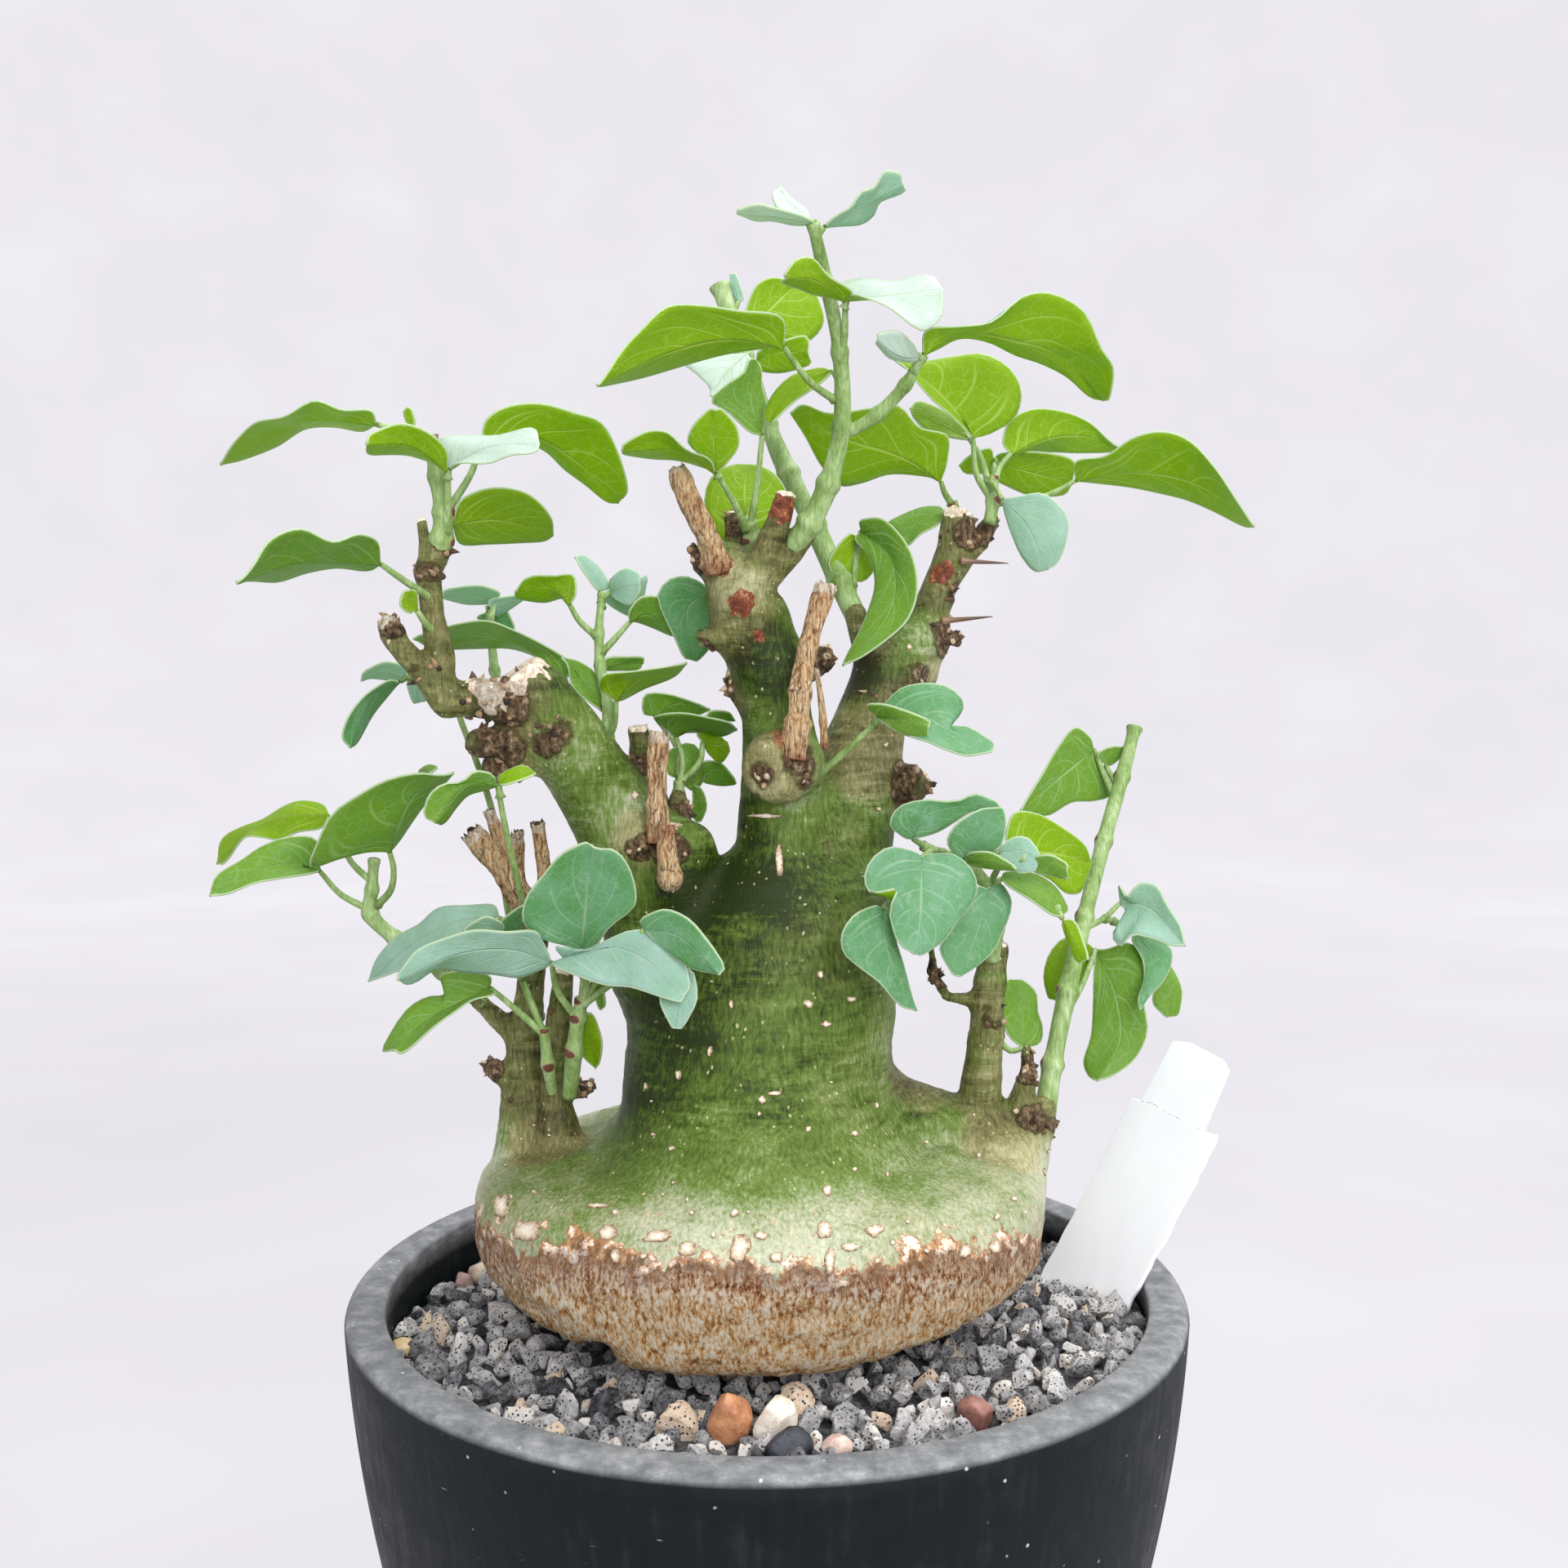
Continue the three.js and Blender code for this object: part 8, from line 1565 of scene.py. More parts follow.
class ADENIA_OT_pot(PieceOperator):
    """Turn the pot with its rounded rim, floor and drain holes"""
    bl_idname = "adenia.pot"
    bl_label = "Pot"

    def execute(self, context):
        pot = in_mm(context.scene.adenia_pot)
        points, faces = turned(pot_profile(pot), pot.segments)
        out = np.hypot(points[:, 0], points[:, 1])
        lip = smooth_step(pot.height - 1.9, pot.height - 0.6, points[:, 2])
        lip = lip * (out > pot.rim_inner_radius - 0.1)
        piece = mesh_object("pot_turned", points, faces, [pot_finish(pot)], values={"lip": lip})
        drilled(piece, pot)
        settle(piece, "pot", "pot")
        return {"FINISHED"}


# Gravel

def bed_height(x, y, gravel):
    """Height of the gravel bed."""
    return gravel.level + gravel.slope_x * x + gravel.slope_y * y


def unit_ball(divisions):
    """Points and faces of a ball of even triangles."""
    form = bmesh.new()
    bmesh.ops.create_icosphere(form, subdivisions=divisions, radius=1)
    points = np.array([vertex.co for vertex in form.verts])
    faces = [[vertex.index for vertex in face.verts] for face in form.faces]
    form.free()
    return points, faces


def cut_flat(points, random, cuts, nearest, farthest, share):
    """Presses a ball's points flat on random sides."""
    for _ in range(cuts):
        direction = unit(random.normal(size=3))
        beyond = points @ direction - random.uniform(nearest, farthest)
        points = points - share * np.maximum(beyond, 0)[:, None] * direction
    return points


def chip(ball, radii, random, seed):
    """An angular chip with a rough skin, turned at random."""
    points = cut_flat(ball, random, cuts=8, nearest=0.34, farthest=0.68, share=1.0)
    points = points * (1.2 + 0.2 * fractal(points * 3.4 + seed * 7.1, 3, seed)[:, None])
    turn = np.linalg.qr(random.normal(size=(3, 3)))[0]
    return (points * radii) @ turn.T


class ADENIA_OT_gravel(PieceOperator):
    """Fill the pot with soil and spread lava chips over it"""
    bl_idname = "adenia.gravel"
    bl_label = "Gravel"

    def execute(self, context):
        pot, gravel = in_mm(context.scene.adenia_pot), in_mm(context.scene.adenia_gravel)
        heap = Heap("tone")
        self.add_soil(heap, pot, gravel)
        self.add_chips(heap, pot, gravel)
        piece = heap.build("gravel_chips", [gravel_finish(gravel)])
        piece.data.shade_flat()
        settle(piece, "gravel", "gravel_bed")
        return {"FINISHED"}

    def add_soil(self, heap, pot, gravel):
        """The filling: a plug with a bumpy top."""
        segments = 96
        top = [[radius, 0] for radius in (4, 12, 20, 28, 36)]
        top += [[radius, 0] for radius in np.linspace(42, pot.rim_inner_radius - 0.4, 26)]
        places = level_rings(top, segments).reshape(-1, 3)
        places[:, 2] = bed_height(places[:, 0], places[:, 1], gravel) - 1.2 + 0.9 * fractal(places / 3.1, 3)
        side = []
        for z in (108, 70, 35, pot.floor_thickness + 0.4):
            side.append([min(pot_wall_radius(z, pot) - pot.wall, pot.rim_inner_radius) - 0.4, z])
        points = np.vstack([places, level_rings(side, segments).reshape(-1, 3)])
        heap.add(points, ring_faces(len(top) + len(side), segments), tone=0.12)

    def add_chips(self, heap, pot, gravel):
        """Chips spread by seeded throws, clear of the caudex and the pebbles."""
        random = np.random.default_rng(gravel.seed)
        fine_ball, plain_ball = unit_ball(3), unit_ball(2)
        pebbles = [*PEBBLES.values(), *SMALL_PEBBLES.values()]
        taken = [(sighted(place)[:2], 0.8 * size[0]) for place, size, *_ in pebbles]
        spots = []
        for attempt in range(CHIP_THROWS):
            radius = gravel.chip_radius * random.choice(CHIP_SIZES, p=CHIP_SIZE_SHARES)
            out = math.sqrt(random.uniform(34**2, (pot.rim_inner_radius - 0.7 * radius - 0.6) ** 2))
            turn = random.uniform(-math.pi, math.pi)
            place = np.array([out * math.cos(turn), out * math.sin(turn)])
            z = bed_height(*place, gravel)
            if slice_distance(np.array([[*place, z + 0.3 * radius]]))[0] < 0.25 * radius:
                continue
            near = [other for spot, other in spots
                    if abs(spot[0] - place[0]) < 9 and np.hypot(*(spot - place)) < 0.8 * (other + radius)]
            if len(near) > 0 and attempt < FIRST_HEAPED_THROW or len(near) > 1:
                continue
            if any(np.hypot(*(spot - place)) < clear + 0.6 * radius for spot, clear in taken):
                continue
            spots.append((place, radius))
            lift = radius * random.uniform(-0.05, 0.4) + 0.9 * len(near)
            ball, faces = fine_ball if place[1] < -20 and radius > 2 else plain_ball
            radii = radius * random.uniform([0.85, 0.75, 0.6], [1.2, 1.1, 0.95])
            tone = random.choice(CHIP_TONES, p=CHIP_TONE_SHARES) + random.uniform(-0.06, 0.06)
            heap.add(chip(ball, radii, random, attempt) + [*place, z + lift - 0.3], faces, tone=tone)


class ADENIA_OT_pebbles(PieceOperator):
    """Lay the larger coloured pebbles and three small ones"""
    bl_idname = "adenia.pebbles"
    bl_label = "Pebbles"

    def execute(self, context):
        ball, faces = unit_ball(4)
        for number, (name, (place, size, turn, low, high)) in enumerate({**PEBBLES, **SMALL_PEBBLES}.items()):
            random = np.random.default_rng(100 + number)
            points = cut_flat(ball, random, cuts=7, nearest=0.62, farthest=0.85, share=0.85)
            points = points * (1 + 0.07 * fractal(points * 1.7 + number, 3, number)[:, None]) * size
            spin = np.array(Matrix.Rotation(turn, 3, "Z") @ Matrix.Rotation(0.4 * turn, 3, "X"))
            finish = pebble_finish(name + "_stone", low, high)
            piece = mesh_object(name + "_worn", points @ spin.T + sighted(place), faces, [finish])
            if name in PEBBLES:
                settle(piece, name, name)
            else:
                settle(piece, "gravel")
        return {"FINISHED"}


# Caudex

def slice_distance(points):
    """How far points lie outside the caudex's level slices, with its foot rounded under."""
    levels = np.array(CAUDEX_SLICES, float)
    z = np.clip(points[:, 2], levels[0, 0], levels[-1, 0])
    centre, width, depth = (np.interp(z, levels[:, 0], levels[:, k]) for k in (1, 2, 3))
    foot_x, foot_z = np.array(CORK_FOOT, float).T
    foot = np.interp(points[:, 0], foot_x, foot_z)
    under = np.clip((foot + FOOT_ROUND - points[:, 2]) / FOOT_ROUND, 0, 1.25)
    draw = 1 - FOOT_DRAW * under**2
    rho = np.hypot((points[:, 0] - centre) / (width * draw), points[:, 1] / (depth * draw))
    return (rho - 1) * np.minimum(width, depth) + 3 * np.abs(points[:, 2] - z)


def add_chain(field, points, stations, blend, cut):
    """Joins a chain of balls of changing radius to the distances, cut off flat at its end."""
    stations = np.asarray(stations, float)
    centres, radii = swept(stations[:, :3]), stations[:, 3]
    room = radii.max() + 7
    near = np.flatnonzero(((points > centres.min(0) - room) & (points < centres.max(0) + room)).all(axis=1))
    some = points[near]
    gap = np.full(len(near), np.inf)
    for a, b, radius, next_radius in zip(centres, centres[1:], radii, radii[1:]):
        along = b - a
        t = np.clip((some - a) @ along / along.dot(along), 0, 1)
        away = np.linalg.norm(some - a - t[:, None] * along, axis=1)
        gap = np.minimum(gap, away - (radius + (next_radius - radius) * t))
    if cut:
        beyond = (some - centres[-1]) @ unit(centres[-1] - centres[-2])
        gap = np.maximum(gap, beyond + 0.6 * noise(some / 1.1))
    field[near] = smooth_min(field[near], gap, blend)


def wood_distance(points):
    """How far points lie outside the caudex, its limbs and its woody stems."""
    field = slice_distance(points)
    for chain in LIMBS:
        add_chain(field, points, chain, LIMB_BLEND, False)
    for name, chain in WOOD_STEMS.items():
        add_chain(field, points, chain, STEM_BLEND, name in CUT_STEMS)
    return np.maximum(field, WOOD_FOOT - points[:, 2])


def near_values(low, counts, cell):
    """wood_distance over a grid, worked out on a coarse grid away from the surface."""
    # Only points within about three coarse cells of the surface get a value of their own.
    step = 4
    coarse_axes = [low[k] + cell * step * np.arange(counts[k] // step + 2) for k in range(3)]
    coarse = np.stack(np.meshgrid(*coarse_axes, indexing="ij"), axis=-1)
    rough = wood_distance(coarse.reshape(-1, 3)).reshape(coarse.shape[:3])
    values = rough.repeat(step, 0).repeat(step, 1).repeat(step, 2)
    values = values[: counts[0], : counts[1], : counts[2]]
    near = np.argwhere(np.abs(values) < 2.6 * cell * step)
    values[tuple(near.T)] = wood_distance(low + cell * near)
    return values


def surface_net(low, counts, cell):
    """Points and four-sided faces where wood_distance is zero."""
    values = near_values(low, counts, cell)
    inside = values < 0
    corners = [(a, b, c) for a in (0, 1) for b in (0, 1) for c in (0, 1)]
    size = np.array(counts) - 1
    total = sum(inside[a : size[0] + a, b : size[1] + b, c : size[2] + c].astype(np.int8)
                for a, b, c in corners)
    # A cell that the surface crosses gets one point, the mean of where its edges are crossed.
    crossed = (total > 0) & (total < 8)
    index = np.full(crossed.shape, -1)
    index[crossed] = np.arange(crossed.sum())
    cells = np.argwhere(crossed)
    place, met = np.zeros((len(cells), 3)), np.zeros(len(cells))
    axes = np.eye(3, dtype=int)
    faces = []
    for axis in range(3):
        for n in range(4):
            start = np.insert(np.array([n & 1, n >> 1]), axis, 0)
            here, there = (values[tuple((cells + corner).T)] for corner in (start, start + axes[axis]))
            change = (here < 0) != (there < 0)
            t = np.where(change, here / np.where(change, here - there, 1), 0)
            place += np.where(change[:, None], start + t[:, None] * axes[axis], 0)
            met += change
        # An edge that the surface crosses gets a face through the four cells around it.
        side, other = axes[(axis + 1) % 3], axes[(axis + 2) % 3]
        span = [slice(0, counts[k] - axes[axis, k]) for k in range(3)]
        past = [slice(axes[axis, k], counts[k]) for k in range(3)]
        edges = np.argwhere(inside[tuple(span)] != inside[tuple(past)])
        edges = edges[((edges - side - other) >= 0).all(axis=1) & (edges < size).all(axis=1)]
        shifts = (-side - other, -other, 0 * side, -side)
        patch = np.stack([index[tuple((edges + shift).T)] for shift in shifts], axis=1)
        outward = inside[tuple(edges.T)]
        patch[~outward] = patch[~outward][:, ::-1]
        faces.append(patch)
    return low + cell * (cells + place / met[:, None]), np.vstack(faces)


def above_cork_edge(points):
    """How far up a point is over the cork's edge, in mm as sighted, the back like the front."""
    reach = (-np.abs(points[:, 1]) - EYE[1]) / -EYE[1]
    seen = EYE[2] + (points[:, 2] - EYE[2]) / reach
    edge_x, edge_z = np.array(CORK_TOP, float).T
    return seen - np.interp(points[:, 0], edge_x, edge_z)


def bark_relief(points, above, knob):
    """How far the bark stands out: cork fibres, lumps and a fold, green wrinkles, rough knobs."""
    turn = np.arctan2(points[:, 1], points[:, 0])
    flat = np.stack([turn * 55, points[:, 2] * 0, points[:, 2]], axis=1)
    cork = smooth_step(2, -4, above + 3 * noise(points / 5, 5))
    fibres = 0.22 * noise(flat / [1.6, 1, 5], 2) + 0.22 * noise(flat / [2.6, 1, 3], 3)
    lumps = 0.9 * fractal(points / 11, 2, 4) + 0.3 * noise(flat / [9, 1, 2.6], 14)
    fold_x, fold_half, fold_depth, fold_top = CORK_FOLD
    fold = np.exp(-(((points[:, 0] - fold_x) / fold_half) ** 2)) * (points[:, 1] < 0)
    fold = fold * fold_depth * smooth_step(fold_top, fold_top - 9, points[:, 2])
    wrinkles = 0.24 * noise(points / [22, 22, 2.1], 6) + 0.14 * noise(points / [12, 12, 1.1], 7)
    folded = smooth_step(150, 168, points[:, 2]) * smooth_step(235, 205, points[:, 2])
    swell = 0.6 * fractal(points / 16, 2, 8)
    rough = 1.15 * fractal(points / 2.7, 3, 9) + 0.35
    skin = swell + wrinkles * folded + 0.1 * noise(points / 1.6, 10)
    relief = skin * (1 - cork) + (fibres + lumps - fold) * cork + 3.2 * near_spot(points, *GALL)
    return relief * (1 - knob) + rough * knob


def near_spot(points, x, z, depth, reach, core=0.4):
    """1 near a spot on the growth, fading from its core to 0 at its reach."""
    away = np.linalg.norm(points - swept([x, z, depth]), axis=1)
    return smooth_step(reach, core * reach, away)


def bark_values(points, normals):
    """The numbers that the bark's finish goes by, at each point."""
    values = {name: np.zeros(len(points)) for name in ("knob", "cut", "brown", "wound")}
    values["above_cork"] = above_cork_edge(points)
    # The value shade holds the skin's tone with painted shade in it: skin that faces up is painted darker.
    values["shade"] = 0.36 + 0.2 * fractal(points / 24, 2, 12) - 0.08 * normals[:, 2]
    for begins, full, lighter in SKIN_BANDS:
        values["shade"] += lighter * smooth_step(begins, full, points[:, 2])
    for x, z, depth, radius, strength in ROUGH_SPOTS:
        values["knob"] = np.maximum(values["knob"], strength * near_spot(points, x, z, depth, radius))
    # Lighter, darker and browner patches; the dark ones on the left, at the fork and under the head are
    # painted shade.
    for x, z, depth, reach, lighter, browner in SKIN_SPOTS_AND_PAINTED_SHADE:
        share = near_spot(points, x, z, depth, 1.5 * reach)
        values["shade"] += lighter * share
        values["brown"] = np.maximum(values["brown"], browner * share)
    for spot in WOUND_SPOTS:
        values["wound"] = np.maximum(values["wound"], near_spot(points, *spot, core=0))
    values["brown"] = np.maximum(values["brown"], 0.36 * smooth_step(170, 156, points[:, 2]))
    frayed = 0.7 * noise(points / 1.1, 17)
    for name, depth in CUT_STEMS.items():
        stations = np.array(WOOD_STEMS[name], float)
        before, end = swept(stations[-2:, :3])
        beyond = (points - end) @ unit(end - before) / depth + frayed
        close = np.linalg.norm(points - end, axis=1) < stations[-1, 3] * 1.25 + depth
        values["cut"] = np.maximum(values["cut"], close * smooth_step(-1.4, -0.5, beyond))
    for stations in WOOD_STEMS.values():
        for x, z, depth, radius in stations:
            share = near_spot(points, x, z, depth, 2.2 * radius + 4) * (radius < 5)
            values["brown"] = np.maximum(values["brown"], STEM_BROWNNESS * share)
    return values


def front_ray(x, z):
    """The sight line through [x, z]."""
    return EYE, unit(sighted([x, z, 0.0]) - EYE)


def side_ray(turn, z):
    """A level line toward the upright axis."""
    inward = -np.array([math.cos(turn), math.sin(turn), 0])
    return np.array([0, 0, z]) - 120 * inward, inward


def lay_plate(heap, tree, ray, half, seed, lift):
    """Lays a thin ragged plate on the bark; ray gives the line that meets each of its points."""
    turns = around(PLATE_SIDES)
    circle = np.stack([np.cos(turns), np.sin(turns)], axis=1)
    ragged = 1 + 0.55 * fractal(np.column_stack([circle * 1.2, turns * 0 + 5.3 * seed]), 2, 31)
    spots = [np.zeros((1, 2))] + [circle * ragged[:, None] * share for share in PLATE_SHARES[1:]]
    hits = []
    for across, up in np.vstack(spots) * half:
        place, normal, _, _ = tree.ray_cast(*(Vector(part) for part in ray(across, up)))
        if place is None:
            return
        hits.append([*place, *normal])
    hits = np.array(hits)
    if np.linalg.norm(hits[:, :3] - hits[0, :3], axis=1).max() > 2.5 * max(half) + 0.5:
        return
    shares = np.append(0, np.repeat(PLATE_SHARES[1:], PLATE_SIDES))
    rise = lift * np.interp(shares, PLATE_SHARES, PLATE_RISES)
    points = hits[:, :3] + unit(hits[:, 3:].mean(axis=0)) * rise[:, None]
    faces = [[0, 1 + k, 1 + (k + 1) % PLATE_SIDES] for k in range(PLATE_SIDES)]
    for ring in ring_faces(len(PLATE_SHARES) - 1, PLATE_SIDES, closed_ends=False):
        faces.append([corner + 1 for corner in reversed(ring)])
    heap.add(points, faces, rim=shares)


def bud_scale(place, normal, random):
    """A small curved pointed scale that stands on the bark."""
    lean = unit(normal + 0.5 * random.normal(size=3) + [0, 0, 0.2])
    rise = random.uniform(0.4, 1.5)
    width = random.uniform(0.4, 0.85)
    bend = 0.25 * rise * random.normal(size=3)
    shares = np.array([-0.35, 0.2, 0.6, 1.0])[:, None]
    path = place + lean * rise * shares + bend * np.maximum(shares, 0) ** 2
    return tube(path, width * np.array([1, 0.95, 0.6, 0.12]), 6)


class ADENIA_OT_caudex(PieceOperator):
    """Grow the caudex with its limbs and woody stems, its cork, flakes and bud scales"""
    bl_idname = "adenia.caudex"
    bl_label = "Caudex"

    def execute(self, context):
        growth = in_mm(context.scene.adenia_growth)
        cell = growth.bark_cell * 1.0
        low, high = np.array(WOOD_BOX)
        points, faces = surface_net(low, ((high - low) / cell).astype(int) + 1, cell)
        faces = faces.tolist()
        normals = point_normals(points, faces)
        values = bark_values(points, normals)
        relief = bark_relief(points, values["above_cork"], values["knob"])
        points = points + normals * relief[:, None]
        piece = mesh_object("caudex_bark", points, faces, [caudex_finish(growth)], values=values)
        settle(piece, "caudex", "caudex")
        tree = BVHTree.FromPolygons(points.tolist(), faces)
        self.add_plates(tree)
        self.add_bud_scales(tree)
        return {"FINISHED"}

    def add_plates(self, tree):
        """Corky flakes and spots: the front's by their places, the back's by seeded throws."""
        heap = Heap("rim")
        for number, (x, z, width, height) in enumerate(FLAKES + CORK_SPOTS):
            def ray(across, up):
                return front_ray(x + across, z + up)
            lay_plate(heap, tree, ray, (width, height), number, PLATE_LIFT)
        random = np.random.default_rng(5)
        for number in range(BACK_PLATES):
            turn = random.uniform(-0.1, math.pi + 0.1)
            flaky = number < BACK_FLAKES
            z = random.uniform(131, 145) if flaky else random.uniform(140, 215)
            half = random.uniform(0.9, 2.4, 2) if flaky else random.uniform(0.3, 0.8, 2)

            def ray(across, up):
                return side_ray(turn - across / 55, z + up)
            lay_plate(heap, tree, ray, half, 200 + number, PLATE_LIFT)
        settle(heap.build("caudex_flakes", [scab_finish()]), "caudex")

    def add_bud_scales(self, tree):
        """Small dry scales on the rough knobs."""
        random = np.random.default_rng(8)
        heap = Heap("tone")
        for x, z, depth, radius, strength in ROUGH_SPOTS:
            centre = swept([x, z, depth])
            for _ in range(int(strength * (4 + 2 * radius))):
                outward = unit(random.normal(size=3))
                start = centre + outward * (radius + 6)
                place, normal, _, _ = tree.ray_cast(Vector(start), Vector(-outward))
                if place is None or np.linalg.norm(np.array(place) - centre) > 0.95 * radius:
                    continue
                points, faces = bud_scale(np.array(place), np.array(normal), random)
                heap.add(points, faces, tone=random.uniform(0.1, 0.9))
        settle(heap.build("caudex_bud_scales", [bud_scale_finish()]), "caudex")


# Dry stubs and spines

def fibrous_tube(path, radii, sides, seed):
    """A tube with upright fibres in its bark and a ragged broken end."""
    points, faces = tube(path, radii, sides)
    rings = points.reshape(len(path), sides, 3)
    turns = around(sides)
    along = np.linspace(0, 1, len(path))
    reach = np.linalg.norm(np.diff(path, axis=0), axis=1).sum()
    layout = np.stack(np.broadcast_arrays(np.cos(turns)[None] * 2.2, np.sin(turns)[None] * 2.2,
                                          along[:, None] * reach / 5), axis=-1)
    relief = 0.42 * noise(layout * 1.6, seed) + 0.2 * noise(layout * [3.4, 3.4, 2.5], seed + 1)
    outward = unit(rings - path[:, None])
    rings = rings + outward * (relief * np.asarray(radii)[:, None] * 0.42)[..., None]
    end = unit(path[-1] - path[-2])
    rings[-1] += end * (1.3 * noise(layout[-1] * 2.5, seed + 2))[:, None]
    cut = np.repeat(smooth_step(reach - 2.4, reach - 1.0, along * reach), sides)
    return rings.reshape(-1, 3), faces, np.repeat(along, sides), cut


class ADENIA_OT_dry_stubs(PieceOperator):
    """Raise the dead stubs with their cracked bark and broken tops"""
    bl_idname = "adenia.dry_stubs"
    bl_label = "Dry stubs"

    def execute(self, context):
        finish = dry_wood_finish()
        for number, (name, chains) in enumerate(DRY_STUBS.items()):
            heap = Heap("along", "cut")
            for part, stations in enumerate(chains):
                path, radii = stem_path(stations, 0.6)
                places = np.stack([path[:, 2] / 3, 0 * path[:, 0], 0 * path[:, 0] + number], axis=1)
                radii = radii * (1 + 0.2 * fractal(places, 2, 4))
                points, faces, along, cut = fibrous_tube(path, radii, STUB_SIDES, 10 * number + part)
                heap.add(points, faces, along=along, cut=cut)
            settle(heap.build(name + "_bark", [finish]), "dry_wood", name)
        return {"FINISHED"}


class ADENIA_OT_spines(PieceOperator):
    """Set the dark spines"""
    bl_idname = "adenia.spines"
    bl_label = "Spines"

    def execute(self, context):
        finish = spine_finish()
        sides = 14
        for name, stations in SPINES.items():
            path, radii = stem_path(stations, 0.5)
            along = np.linspace(0, 1, len(path))
            root = np.exp(-(((along - 0.04) / 0.08) ** 2))
            radii = radii * (1 - 0.7 * along**3) * (1 + 0.5 * root)
            points, faces = tube(path, radii, sides)
            heap = Heap("along")
            heap.add(points, faces, along=np.repeat(along, sides))
            settle(heap.build(name + "_horn", [finish]), "spine", name)
        return {"FINISHED"}


# Leafy shoots

def blade_rows(reach):
    """Shares along a blade, closer together near its base and tip."""
    count = int(np.clip(reach / 1.25 + 6, 10, 36))
    even = np.arange(1, count) / count
    return 0.55 * even + 0.45 * (0.5 - 0.5 * np.cos(np.pi * even))


def blade_faces(rows, columns):
    """Faces of a blade's rows of points, and of its base and tip points, which follow them."""
    faces = [[a, a + 1, a + 1 + columns, a + columns]
             for i in range(rows - 1) for a in range(i * columns, (i + 1) * columns - 1)]
    base, tip, last = rows * columns, rows * columns + 1, (rows - 1) * columns
    for j in range(columns - 1):
        faces.append([base, j + 1, j])
        faces.append([last + j, last + j + 1, tip])
    return faces


def blade_form(part, bent, half, seed):
    """A leaf blade's points, faces, flat layout, distances from the margin, and half thicknesses."""
    rib = np.array([bent(station) for station in part["rib"]])
    ends = swept(rib[[0, -1]])
    reach = np.linalg.norm(ends[0] - ends[1])
    shares = blade_rows(reach)
    middle = curve(rib, shares)
    swell = np.sin(np.pi * shares) ** 0.7
    side_columns = 7 if reach > 20 else 5
    across = np.linspace(-1, 1, 2 * side_columns + 1)
    random = np.random.default_rng(seed)
    phase, waves = random.uniform(0, 2 * np.pi, 2), random.uniform(1.2, 2.4, 2)
    grid = np.zeros((len(shares), len(across), 3))
    for side, edge in enumerate(part["edges"]):
        margin_line = curve(np.array([rib[0]] + [[x, z, 0] for x, z in edge] + [rib[-1]], float), shares)
        ripple = 0.02 * reach * np.sin(2 * np.pi * waves[side] * shares + phase[side]) * swell
        for j in np.flatnonzero(across < 0 if side == 0 else across >= 0):
            share = abs(across[j])
            grid[:, j] = middle + share * (margin_line - middle)
            lean = part["lean"][side] * swell * (0.7 * share + 0.3 * share**2)
            grid[:, j, 2] = middle[:, 2] + lean + share**2 * ripple
    real = swept(grid)
    width = np.linalg.norm(np.diff(real, axis=1), axis=2)
    from_left = np.concatenate([np.zeros((len(shares), 1)), np.cumsum(width, axis=1)], axis=1)
    from_margin = np.minimum(from_left, from_left[:, -1:] - from_left)
    flat = np.stack(np.meshgrid(across, shares), axis=-1).reshape(-1, 2)
    flat = np.vstack([flat, [0, 0], [0, 1]])
    margin = np.append(from_margin.ravel(), [2, 0])
    rib_swell = 0.22 * np.exp(-(flat[:, 0] * 9) ** 2) * (1 - flat[:, 1])
    thin = half * (1 - 0.5 * flat[:, 0] ** 4)
    points = np.vstack([real.reshape(-1, 3), ends])
    return points, blade_faces(*real.shape[:2]), flat, margin, thin - 0.3 * rib_swell, thin + rib_swell


